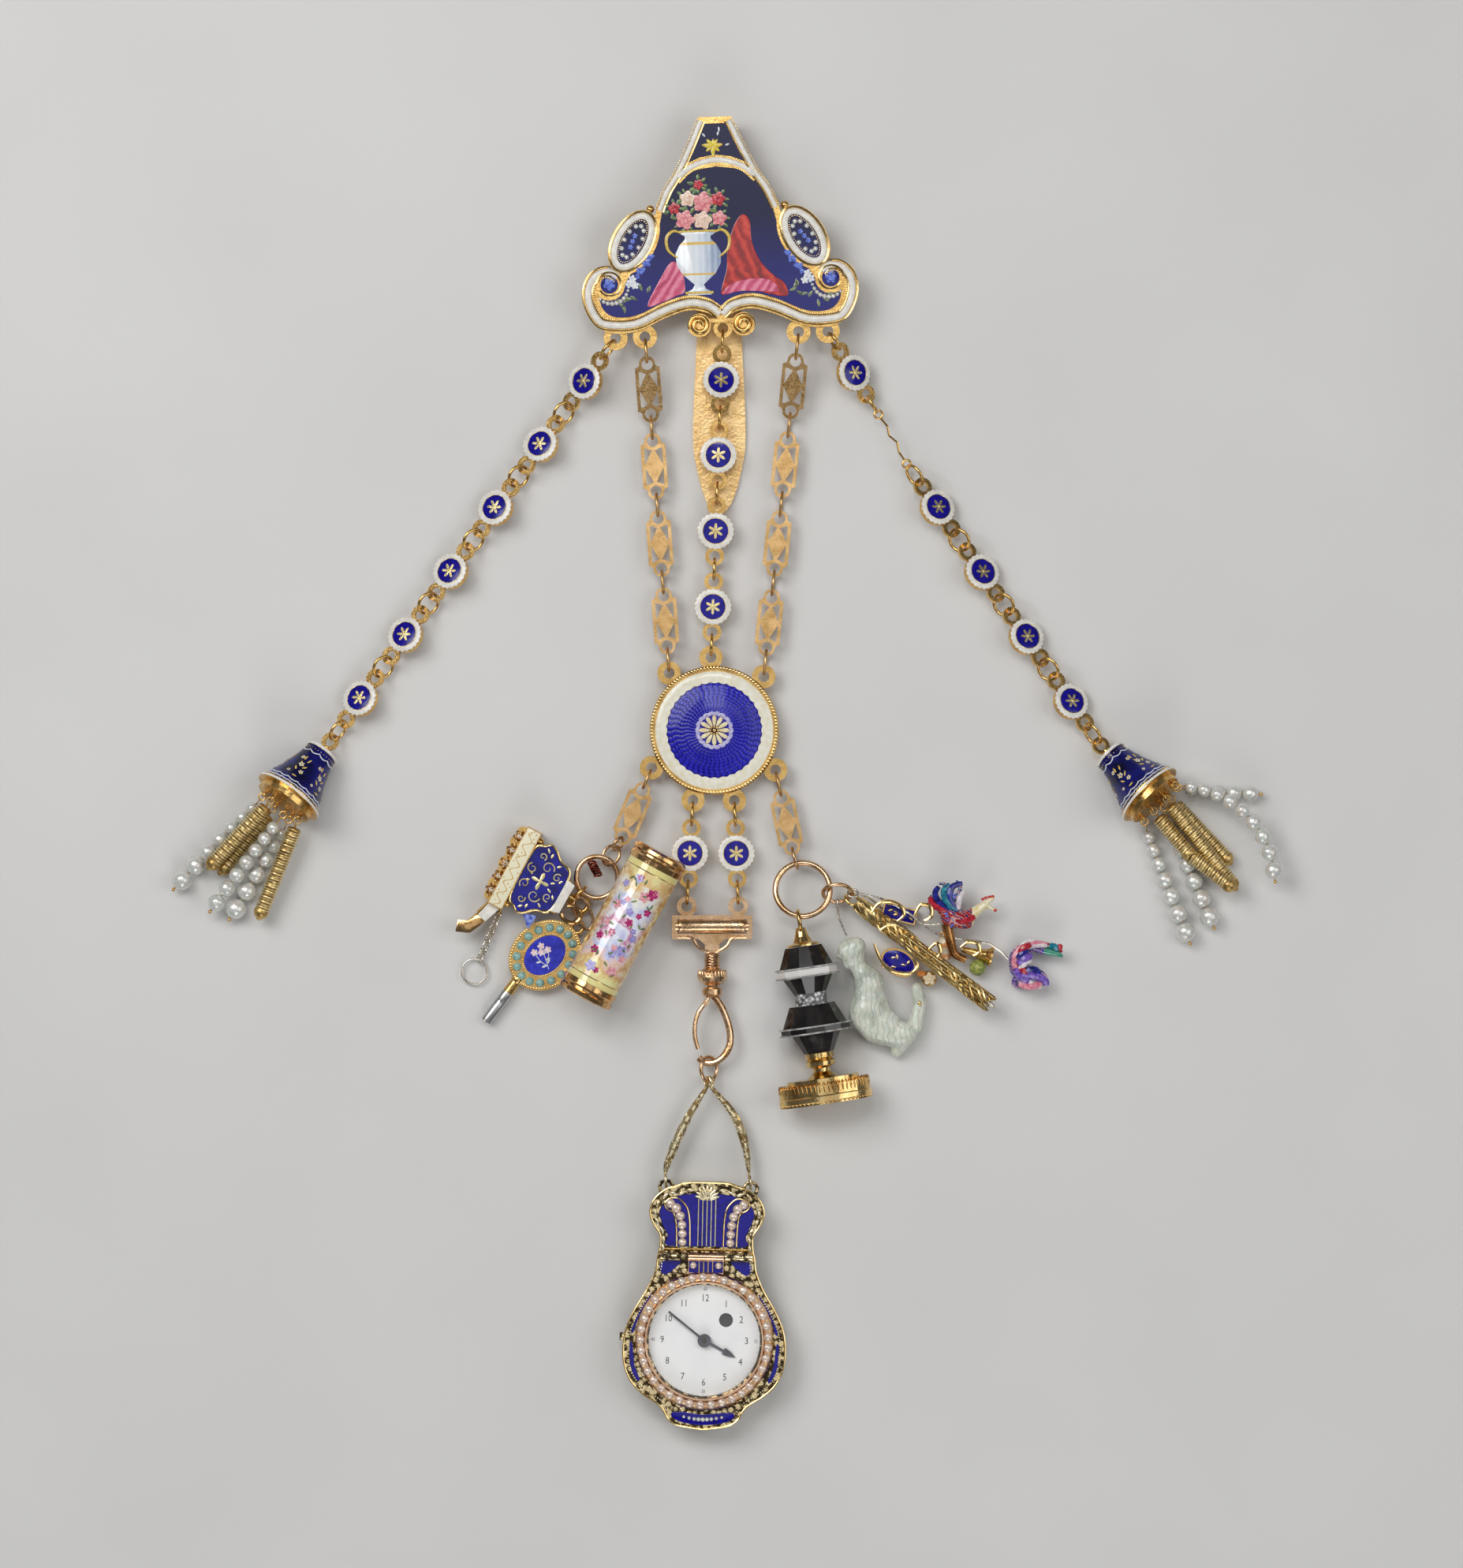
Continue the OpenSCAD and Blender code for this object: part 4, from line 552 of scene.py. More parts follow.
class EnamelColours(bpy.types.PropertyGroup):
    """Colours of the enamels"""
    royal: bpy.props.FloatVectorProperty(name="Royal blue",
                                         description="Blue of the round plate and medallions",
                                         subtype="COLOR", default=(0.01, 0.006, 0.3))
    midnight: bpy.props.FloatVectorProperty(name="Midnight blue", description="Dark ground of the plaque",
                                            subtype="COLOR", default=(0.004, 0.004, 0.045))
    ivory: bpy.props.FloatVectorProperty(name="Ivory", description="White of the borders", subtype="COLOR",
                                         default=(0.86, 0.83, 0.76))


class BeadSizes(bpy.types.PropertyGroup):
    """Sizes of the beads and pearls"""
    bezel_pearls: bpy.props.IntProperty(name="Bezel pearls", description="Half pearls round the dial",
                                        default=37, min=24, max=42)
    bezel_pearl_r: bpy.props.FloatProperty(name="Bezel pearl radius", description="Radius of one half pearl",
                                           default=0.00099, min=0.0006, max=0.0011, unit="LENGTH",
                                           precision=5)
    grain_gap: bpy.props.FloatProperty(name="Grain spacing",
                                       description="Distance between beaded edge grains", default=0.00052,
                                       min=0.0004, max=0.001, unit="LENGTH", precision=5)
    turquoises: bpy.props.IntProperty(name="Key stones", description="Stones round the key's oval",
                                      default=16, min=10, max=20)


class StageSizes(bpy.types.PropertyGroup):
    """Camera and light"""
    camera_height: bpy.props.FloatProperty(name="Camera height", description="Height above the table",
                                           default=1.6, min=0.6, max=4.0, unit="LENGTH")
    light_power: bpy.props.FloatProperty(name="Key light power", description="Power of the main soft light",
                                         default=4.3, min=1.0, max=60.0, unit="POWER")


def golds():
    return bpy.context.scene.chatelaine_golds


def enamels():
    return bpy.context.scene.chatelaine_enamels


def beads():
    return bpy.context.scene.chatelaine_beads


def gold():
    return finish("gold", worn_gold, tuple(golds().yellow), (0.56, 0.33, 0.1))


def grain_gold():
    return finish("grain_gold", worn_gold, (0.95, 0.74, 0.36), (0.66, 0.42, 0.16), 0.18)


def rose_gold():
    return finish("rose_gold", worn_gold, tuple(golds().rose), (0.52, 0.3, 0.14), 0.24)


def pale_gold():
    return finish("pale_gold", worn_gold, tuple(golds().pale), (0.5, 0.3, 0.11), 0.34)


def ivory():
    tone = tuple(enamels().ivory)
    return finish("ivory_enamel", enamel, tone, tuple(0.82 * c for c in tone), 1.4)


def night_ground(name, low, high):
    """The plaque's dark ground: blue below and nearly black above."""
    r = Recipe(name)
    where = r.place(PLAQUE)
    [y] = r.parts(where, "Y")
    height = y + r.noise(where, 6.0) * 8.0 - 4.0
    colour = r.mix(r.limits(height, -6, 9), low, high)
    return r.surface(colour, 0.14, 0.0, 0.2, Coat_Roughness=0.04)


def midnight():
    return finish("midnight_enamel", night_ground, (0.012, 0.014, 0.16), tuple(enamels().midnight))


def royal():
    tone = tuple(enamels().royal)
    return finish("royal_enamel", enamel, tone, tuple(0.6 * c for c in tone), 1.2)


def paint(name, light, dark, size=0.5):
    return finish(name, enamel, light, dark, size, 0.5, 0.2)


def white_paint():
    return paint("white_paint", (0.85, 0.85, 0.84), (0.55, 0.58, 0.66))


def gold_paint():
    return paint("gold_paint", (0.86, 0.66, 0.16), (0.6, 0.38, 0.08))


def green_paint():
    return paint("green_paint", (0.25, 0.33, 0.1), (0.05, 0.12, 0.06))


def sky_paint():
    return paint("sky_paint", (0.16, 0.26, 0.75), (0.04, 0.06, 0.4))


def pearl():
    return finish("pearl", pearl_finish, (0.74, 0.74, 0.7))


# Small repeated ornaments

def floret(radius, lobes, height=0.06):
    """A flat flower with round petals and a raised heart."""
    def edge(share):
        return lambda angle: radius * share * (0.62 + 0.38 * abs(math.cos(angle * lobes / 2)))
    return turned([(edge(1), 0), (edge(1), height * 0.6), (edge(0.7), height), (radius * 0.18, height * 0.5)],
                  lobes * 4)


def leaf(length, width, height=0.05):
    """A pointed leaf from the origin along the first axis, with its middle raised."""
    outline = [(0, 0), (0.25, 0.36), (0.5, 0.5), (0.78, 0.34), (1, 0), (0.78, -0.34), (0.5, -0.5),
               (0.25, -0.36)]
    outline = [(x * length, y * width) for x, y in outline]
    return plate(outline, 0, height * 0.5, min(width, length) * 0.16)


def star(radius, height=0.06):
    """Six narrow petals that meet in the middle."""
    def edge(angle):
        return radius * (0.2 + 0.8 * abs(math.cos(angle * 3)) ** 1.3)
    return turned([(edge, 0), (edge, height), (radius * 0.12, height * 1.4)], 36)


def grains(lines, z, radius=0.2, gap=None):
    """Beaded edges: small grains at even steps along flat lines."""
    gap = gap or beads().grain_gap / MM
    places = [shift(p.x, p.y, z) for line in lines for p, _ in spaced(line, gap)]
    return scatter(ball(radius, 6, 4), places)


# The plaque's lines, right half, in its own axes

BORDER = smooth_line([(22.6, -3.4), (24.2, -2.2), (26.8, -2.5), (28.8, -4.8), (29.2, -8.3), (27.6, -12.2),
                      (25.2, -13.8), (19, -13.8), (12.5, -11), (7, -9.5), (2.6, -10.3), (0.2, -12.2)])
SHOULDER = smooth_line([(3.1, 30.6), (5.6, 24.9), (8.6, 19), (11, 15.3), (12.9, 11)])
ARCH = smooth_line([(-8.4, 18.2), (-5.6, 20.5), (0, 21.9), (5.6, 20.5), (8.4, 18.2)])
VOLUTE = (24.5, -5)
PLAQUE_TOP = 8.0
ENAMEL_TOP = 8.15
OVALS = (shift(19, 4.4) @ spin(121), shift(-19, 4.4) @ spin(59))


def on_plaque(x, y, turn=0.0, lift=0.0):
    return shift(x, y, ENAMEL_TOP + lift) @ spin(turn)


def rounded_band(lines, width, rise, low):
    """Enamel bands with a rounded back, along flat lines."""
    piece = wires([lifted(line, 0) for line in lines], width / 2, sides=3)
    shape_points(piece, lambda p: Vector((p.x, p.y, low + p.z / (width / 2) * rise)))
    return piece


class CHATELAINE_OT_metals(bpy.types.Operator):
    """Give each solid part its own worn metal, enamel or stone"""
    bl_idname = "chatelaine.metals"
    bl_label = "Metals and plain enamels"

    def execute(self, context):
        wanted = {
            "gold": ["plaque", "left_tassel_chain", "right_tassel_chain", "centre_chain", "clip_chains",
                     "disc", "left_bell", "right_bell", "left_threads", "right_threads", "watch_key",
                     "jug_charm", "small_charms"],
            "pale": ["left_plate_chain", "right_plate_chain", "left_charm_link", "right_charm_link"],
            "rose": ["clip_bar", "clip_hook", "clip_gate", "watch_ring", "left_charm_rings",
                     "right_charm_rings"],
        }
        makers = {"gold": gold, "pale": pale_gold, "rose": rose_gold}
        for kind, names in wanted.items():
            for name in names:
                self.dress(name, makers[kind]())
        for name, label, maker, *tones in (
                ("belt_hook", "satin_gold", worn_gold, (0.84, 0.6, 0.3), (0.66, 0.42, 0.17), 0.34, 0.1),
                ("gold_bundle", "coil_gold", worn_gold, (0.9, 0.68, 0.3), (0.5, 0.33, 0.12), 0.22),
                ("left_coils", "coil_core", worn_gold, (0.74, 0.52, 0.2), (0.38, 0.24, 0.08), 0.36),
                ("watch_bail", "bail_gold", engraved_gold, WATCH, (0.95, 0.82, 0.52), (0.3, 0.2, 0.08), 0.72),
                ("watch_case", "case_gold", engraved_gold, WATCH, (0.95, 0.78, 0.45), (0.05, 0.035, 0.018),
                 0.62),
                ("watch_bezel", "bezel_gold", worn_gold, (0.88, 0.6, 0.4), (0.62, 0.36, 0.2), 0.2),
                ("etui_caps", "cap_gold", worn_gold, (0.87, 0.55, 0.25), (0.5, 0.26, 0.09), 0.14),
                ("seal_mount", "mount_gold", worn_gold, (0.93, 0.68, 0.3), (0.42, 0.24, 0.07), 0.15),
                ("charm_wires", "silver_wire", worn_gold, (0.8, 0.77, 0.7), (0.5, 0.45, 0.36), 0.25),
                ("hour_hand", "grey_steel", worn_gold, (0.13, 0.13, 0.15), (0.05, 0.05, 0.06), 0.34),
                ("jug_enamel", "jug_blue", enamel, (0.01, 0.01, 0.3), (0.005, 0.005, 0.12), 2.2),
                ("key_enamel", "key_blue", enamel, (0.03, 0.04, 0.6), (0.01, 0.015, 0.36), 1.5),
                ("watch_dial", "dial_enamel", enamel, (0.96, 0.96, 0.95), (0.9, 0.91, 0.9), 6, 0.3, 0.1,
                 0.01)):
            self.dress(name, finish(label, maker, *tones))
        for name, material in (
                ("right_coils", finish("coil_core")), ("minute_hand", finish("grey_steel")),
                ("left_pearls", pearl()), ("right_pearls", pearl()), ("plaque_field", midnight()),
                ("plaque_top_panel", midnight()), ("oval_centres", midnight()),
                ("watch_head_enamel", royal()), ("watch_glass", self.glass())):
            self.dress(name, material)
        return {"FINISHED"}

    def dress(self, name, material):
        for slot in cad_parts[name].material_slots:
            slot.material = material

    def glass(self):
        r = Recipe("clear_glass")
        colour = r.limits(r.noise(r.place(), 8), 0.3, 0.7, 0.94, 1.0)
        return r.surface(colour, 0.03, 0.0, 0.0, Alpha=0.045)


class CHATELAINE_OT_plaque_borders(bpy.types.Operator):
    """Lay the white bands, gold rims and beaded edges of the plaque"""
    bl_idname = "chatelaine.plaque_borders"
    bl_label = "Plaque borders"

    def execute(self, context):
        bands = rounded_band(both(BORDER), 1.5, 0.42, 7.82)
        shoulders = rounded_band(both(SHOULDER), 1.15, 0.4, 7.82)
        arch = rounded_band([ARCH], 1.4, 0.42, 7.8)
        keep(join([bands, shoulders, arch]), "plaque_white_bands", ivory(), PLAQUE,
             replaces=["plaque_border"], angle=60)
        rims = both(beside(BORDER, -1.18)) + both(beside(SHOULDER, 0.95)) + both(beside(BORDER, 0.92))
        keep(wires([lifted(line, 7.98) for line in rims], 0.2, sides=2), "plaque_gold_rims",
             grain_gold(), PLAQUE)
        inner = both(beside(BORDER, 1.22)) + both(beside(SHOULDER, -0.85))
        inner += [beside(ARCH, 1.05), beside(ARCH, -0.95)]
        keep(grains(inner, 8.12), "plaque_beaded_edges", grain_gold(), PLAQUE)
        self.ovals()
        self.volutes()
        return {"FINISHED"}

    def ovals(self):
        rings, rims = [], []
        for place in OVALS:
            ring = wires([lifted(ellipse(6.15, 3.25, 56), 0)], 0.75, closed=True, sides=3)
            shape_points(ring, lambda p: Vector((p.x, p.y, 7.95 + p.z * 0.55)))
            rings.append(moved(ring, place))
            rim = wires([lifted(ellipse(7.2, 4.3, 56), PLAQUE_TOP)], 0.3, closed=True, sides=2)
            rims.append(moved(rim, place))
        keep(join(rings), "oval_white_rings", ivory(), PLAQUE, replaces=["oval_rings"],
             angle=60)
        keep(join(rims), "oval_gold_rims", grain_gold(), PLAQUE)
        edge = ellipse(5.15, 2.3, 60)
        dots = scatter(ball(0.17, 6, 4), [place @ shift(p.x, p.y, ENAMEL_TOP + 0.05)
                                          for place in OVALS for p, _ in spaced(edge + edge[:1], 0.5)])
        keep(dots, "oval_beaded_edges", grain_gold(), PLAQUE)
        seeds = scatter(ball(0.56, 10, 6, (1, 1, 0.8)), [
            place @ shift(p.x, p.y, ENAMEL_TOP + 0.12) for place in OVALS for p in ellipse(3.85, 1.8, 11)])
        keep(seeds, "oval_pearls", pearl(), PLAQUE)
        small = scatter(floret(0.62, 5), [place @ shift(x, y, ENAMEL_TOP) @ spin(turn)
                                          for place in OVALS
                                          for x, y, turn in ((0, 0, 0), (1.3, 0.2, 30), (-1.3, -0.2, 10))])
        keep(small, "oval_blue_flowers", sky_paint(), PLAQUE)

    def volutes(self):
        eyes, rings, flowers = [], [], []
        for side in (-1, 1):
            x, y = side * VOLUTE[0], VOLUTE[1]
            eyes.append(moved(turned([(1.95, 0), (1.95, 0.1), (1.2, 0.2)], 28), shift(x, y, PLAQUE_TOP)))
            line = [Vector((x - side * r * math.cos(a), y + r * math.sin(a), 8.1))
                    for a, r in ((math.radians(-150 + 12 * i), 2.35 + 0.02 * i) for i in range(28))]
            rings.append(wires([line], 0.3, sides=2, taper=lambda t: 0.6 + 0.5 * t))
            flowers.append(shift(x, y, PLAQUE_TOP + 0.2) @ spin(18 * side))
        keep(join(eyes), "volute_eyes", midnight(), PLAQUE)
        keep(join(rings), "volute_rings", grain_gold(), PLAQUE)
        keep(scatter(floret(1.35, 5, 0.12), flowers), "volute_blue_flowers", sky_paint(),
             PLAQUE)
        scrolls = []
        for side in (-1, 1):
            line = []
            for i in range(34):
                t = i / 33
                a = math.radians(200 - 560 * t)
                r = 2.25 - 1.45 * t
                line.append(Vector((side * (4.9 - r * math.cos(a)), -14.6 + r * math.sin(a),
                                    8.15 + 0.35 * t)))
            scrolls.append(wires([line], 0.55, sides=3, taper=lambda t: 0.75 + 0.35 * math.sin(3 * t)))
        keep(join(scrolls), "lower_scrolls", gold(), PLAQUE)


class CHATELAINE_OT_plaque_painting(bpy.types.Operator):
    """Paint the plaque's field: an urn of roses, draped cloths and sprays in the corners"""
    bl_idname = "chatelaine.plaque_painting"
    bl_label = "Plaque painting"

    def execute(self, context):
        self.cloths()
        self.urn()
        self.roses()
        self.corners()
        self.top_spray()
        return {"FINISHED"}

    def cloths(self):
        red = smooth_line([(0.2, -7.7), (1.6, -2.2), (1.9, 2.4), (3.6, 7.4), (5.4, 9.6), (7, 8.2), (7.3, 3.6),
                           (8.9, -0.6), (11.6, -3.8), (14.2, -5.8), (14.9, -8.6), (11.5, -8.3), (7, -7.1),
                           (3.2, -7.5)], 4, True)
        keep(plate(red, ENAMEL_TOP, ENAMEL_TOP + 0.05, 0.12), "red_cloth",
             finish("red_folds", folded_paint, (0.72, 0.07, 0.04), (0.42, 0.012, 0.01), (0.12, 0.004, 0.008),
                    PLAQUE, 24, 2.4), PLAQUE, angle=20)
        pinks = []
        for outline in ([(-16.2, -10), (-13.6, -4.8), (-10.6, -0.4), (-8.4, -2.2), (-7.8, -6.8), (-9.6, -7.9),
                         (-12.6, -9.1)],
                        [(0.6, -7.9), (2.6, -5.6), (7.4, -4.6), (11.4, -5.2), (12.9, -7.6), (9, -7.5),
                         (4.6, -7.3)]):
            pinks.append(plate(smooth_line(outline, 4, True), ENAMEL_TOP, ENAMEL_TOP + 0.09, 0.12))
        keep(join(pinks), "pink_cloths",
             finish("pink_folds", folded_paint, (0.86, 0.36, 0.44), (0.66, 0.09, 0.2), (0.3, 0.01, 0.05),
                    PLAQUE, -36, 1.8), PLAQUE, angle=20)

    def urn(self):
        half = [(-7.9, 2.6), (-7.2, 2.7), (-6.6, 1.5), (-5.6, 1.0), (-4.8, 1.9), (-3.2, 3.7), (-1, 4.9),
                (1.4, 5), (3.2, 4.1), (4.4, 2.9), (5.1, 2.8), (5.6, 3.7), (6.2, 3.8)]
        centre = -4.6
        outline = [(centre + w, y) for y, w in half] + [(centre - w, y) for y, w in reversed(half)]
        body = plate(outline, ENAMEL_TOP, ENAMEL_TOP + 0.14, 0.25)
        r = Recipe("urn_porcelain")
        where = r.place(PLAQUE @ shift(centre, 0))
        x, y = r.parts(where, "XY")
        side = r.limits(x + r.noise(where, 1.6, 4) * 1.8, -3.6, 5.6)
        flutes = (x * 4.6).sine() * 0.07 + r.noise(r.place(PLAQUE, (0.6, 3, 1)), 1.0, 4) * 0.25
        band = (abs(y - 3.5) < 0.32) + (abs(y + 3.3) < 0.22)
        shade = r.ramp(side * 0.85 + flutes, (0.0, (0.62, 0.66, 0.72)), (0.3, (0.84, 0.86, 0.86)),
                       (0.62, (0.66, 0.72, 0.8)), (1.0, (0.26, 0.34, 0.5)))
        keep(body, "urn", r.surface(r.mix(band, shade, (0.75, 0.5, 0.14)), 0.2, 0.0, 0.5),
             PLAQUE)
        handles = []
        for way in (-1, 1):
            line = smooth_line([(centre + way * x, y) for x, y in (
                (4.6, 0.4), (6.6, 2.2), (6.9, 4.9), (5.4, 6.4), (3.7, 5.9))], 5)
            handles.append(wires([lifted(line, ENAMEL_TOP + 0.12)], 0.3, sides=2,
                                 taper=lambda t: 0.6 + 0.7 * math.sin(math.pi * t)))
        foot = wires([lifted([(centre - 3.1, -7.4), (centre + 3.1, -7.4)], ENAMEL_TOP + 0.15)], 0.3)
        lip = wires([lifted([(centre - 4, 6.2), (centre + 4, 6.2)], ENAMEL_TOP + 0.15)], 0.28)
        keep(join(handles + [foot, lip]), "urn_gilding", gold_paint(), PLAQUE)

    def roses(self):
        groups = {
            "pink_roses": ((0.86, 0.42, 0.4), (0.62, 0.12, 0.16),
                           [(-7.3, 8.8, 2.3), (-3.2, 12.6, 2.5), (0.3, 8.9, 1.8)]),
            "cream_roses": ((0.88, 0.74, 0.6), (0.7, 0.42, 0.3),
                            [(-3.4, 8.6, 2.2), (-6.6, 13.4, 1.9)]),
            "red_roses": ((0.7, 0.06, 0.07), (0.3, 0.01, 0.03),
                          [(0.2, 13.2, 1.7), (-9.6, 11.4, 1.4), (-4.1, 16.5, 1.2)]),
        }
        for name, (light, dark, flowers) in groups.items():
            made = []
            for x, y, radius in flowers:
                for layer, share in enumerate((1.0, 0.78, 0.54, 0.3)):
                    at = on_plaque(x, y, 31 * layer + 20 * x, 0.1 + 0.07 * layer)
                    made.append(moved(floret(radius * share, 5, 0.1), at))
            keep(join(made), name, paint(name + "_paint", light, dark, 0.7), PLAQUE,
                 angle=15)
        places = []
        spread = random.Random(4)
        for x, y, radius in [(-7.3, 8.8, 2.3), (-3.2, 12.6, 2.5), (0.3, 8.9, 1.8), (-6.6, 13.4, 1.9),
                             (0.2, 13.2, 1.7), (-4.1, 16.5, 1.2), (-9.6, 11.4, 1.4)]:
            for i in range(7):
                angle = 52 * i + spread.uniform(-14, 14)
                reach = radius * 0.75
                a = math.radians(angle)
                places.append(on_plaque(x + reach * math.cos(a), y + reach * math.sin(a), angle, 0.02)
                              @ stretch(*(spread.uniform(0.75, 1.1),) * 3))
        keep(scatter(leaf(1.5, 0.8), places), "bouquet_leaves", green_paint(), PLAQUE)

    def corners(self):
        garland, whites, blues, greens = [], [], [], []
        for side in (-1, 1):
            line = smooth_line([(26.6, -8.1), (25.4, -9), (23.6, -9.2), (21.9, -8.6), (20.8, -7.3),
                                (20.1, -5.6)], 6)
            for i, (p, _) in enumerate(spaced(line, 0.98)):
                size = 0.3 + 0.3 * math.sin(math.pi * (i + 1) / 10)
                garland.append(shift(side * p.x, p.y, ENAMEL_TOP + 0.08) @ stretch(size, size, size))
            whites += [on_plaque(side * x, y, t) for x, y,
                       t in ((19.4, -3.9, 0), (18.8, -5.3, 20), (20.1, -5, 40))]
            for i in range(7):
                t = i / 6
                blues.append(on_plaque(side * (14.9 + 3.3 * t), 1.0 - 4.4 * t + 0.5 * (i % 2), 25 * i)
                             @ stretch(*(0.7 + 0.4 * (i % 3) / 2,) * 3))
            for i in range(9):
                greens.append(on_plaque(side * (15.2 + 1.05 * i), -7.6 - 0.33 * i + 0.8 * (i % 3),
                                        43 * i + 20)
                              @ stretch(1.1, 1.1, 1))
        keep(scatter(ball(1, 8, 6), garland), "corner_garlands", pearl(), PLAQUE)
        keep(scatter(floret(0.95, 5), whites), "corner_white_flowers", white_paint(), PLAQUE)
        keep(scatter(floret(0.85, 4), blues), "corner_blue_flowers", sky_paint(), PLAQUE)
        keep(scatter(leaf(1.7, 0.7), greens), "corner_leaves",
             paint("olive_paint", (0.3, 0.34, 0.16), (0.05, 0.09, 0.07)), PLAQUE)

    def top_spray(self):
        leaves = [on_plaque(-0.6, 24.9, angle) @ stretch(size, size, 1)
                  for angle, size in ((10, 1.2), (55, 1), (85, 0.9), (130, 1.1), (172, 1.3), (215, 1),
                                      (270, 1.2), (322, 1))]
        keep(scatter(leaf(1.9, 0.75), leaves), "top_spray_petals",
             paint("yellow_paint", (0.85, 0.72, 0.08), (0.62, 0.42, 0.04)), PLAQUE)
        tips = [on_plaque(0.4, 27.2, 70), on_plaque(0.9, 28.1, 95), on_plaque(2.1, 25, 20),
                on_plaque(-2.2, 27, 130)]
        keep(scatter(leaf(1.1, 0.45), tips), "top_spray_tips", white_paint(), PLAQUE)


def loose_parts(node):
    """Centre and facing direction of each loose solid of a part, in millimetres."""
    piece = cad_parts[node]
    mesh = piece.data
    points = np.empty(len(mesh.vertices) * 3)
    mesh.vertices.foreach_get("co", points)
    points = np.round(points.reshape(-1, 3) / MM, 3)
    unique, number = np.unique(points, axis=0, return_inverse=True)
    number = number.reshape(-1)
    group = list(range(len(unique)))

    def top(i):
        while group[i] != i:
            group[i] = group[group[i]]
            i = group[i]
        return i

    for polygon in mesh.polygons:
        corners = [int(number[v]) for v in polygon.vertices]
        for other in corners[1:]:
            group[top(other)] = top(corners[0])
    sets = {}
    for i in range(len(unique)):
        sets.setdefault(top(i), []).append(i)
    found = []
    for members in sets.values():
        cloud = unique[members]
        centre = (cloud.max(axis=0) + cloud.min(axis=0)) / 2
        normal = np.linalg.svd(cloud - cloud.mean(axis=0))[2][2]
        normal = normal if normal[2] > 0 else -normal
        found.append((Vector(centre), Vector(normal)))
    return found


MEDALLION_HALF = 0.275


class CHATELAINE_OT_medallions(bpy.types.Operator):
    """Dress each medallion with a scalloped white ring, a blue heart and a gold star"""
    bl_idname = "chatelaine.medallions"
    bl_label = "Medallions"

    def execute(self, context):
        for node in ("left_tassel_enamel", "right_tassel_enamel", "centre_enamel", "clip_enamel"):
            found = sorted(loose_parts(node), key=lambda part: part[0].y)
            way = (found[-1][0] - found[0][0]) if node != "clip_enamel" else Vector((0, 1, 0))
            places = [seat(centre - normal * MEDALLION_HALF, normal, way) for centre, normal in found]
            kind = node.replace("_enamel", "")

            def scallop(angle):
                return 3.98 + 0.13 * math.cos(angle * 22)

            ring = turned([(3.4, 0.02), (3.4, 0.43), (scallop, 0.44), (scallop, 0.56), (3.55, 0.74),
                           (2.95, 0.74), (2.8, 0.6)], 88, True)
            keep(scatter(ring, places), kind + "_white_rings", ivory(), replaces=[node])
            heart = turned([(2.78, 0.5), (2.78, 0.7), (1.9, 0.79), (0.9, 0.83), (0.02, 0.84)], 32)
            keep(scatter(heart, places), kind + "_blue_hearts", royal())
            line = moved(hoop(2.86, 0.1, 32, 6), shift(z=0.72))
            points = moved(star(1.75, 0.06), shift(z=0.82))
            middle = moved(ball(0.3, 8, 6, (1, 1, 0.6)), shift(z=0.9))
            keep(scatter(join([line, points, middle]), places), kind + "_gold_stars",
                 finish("star_gold", worn_gold, (0.98, 0.84, 0.45), (0.8, 0.6, 0.25), 0.25))
        return {"FINISHED"}


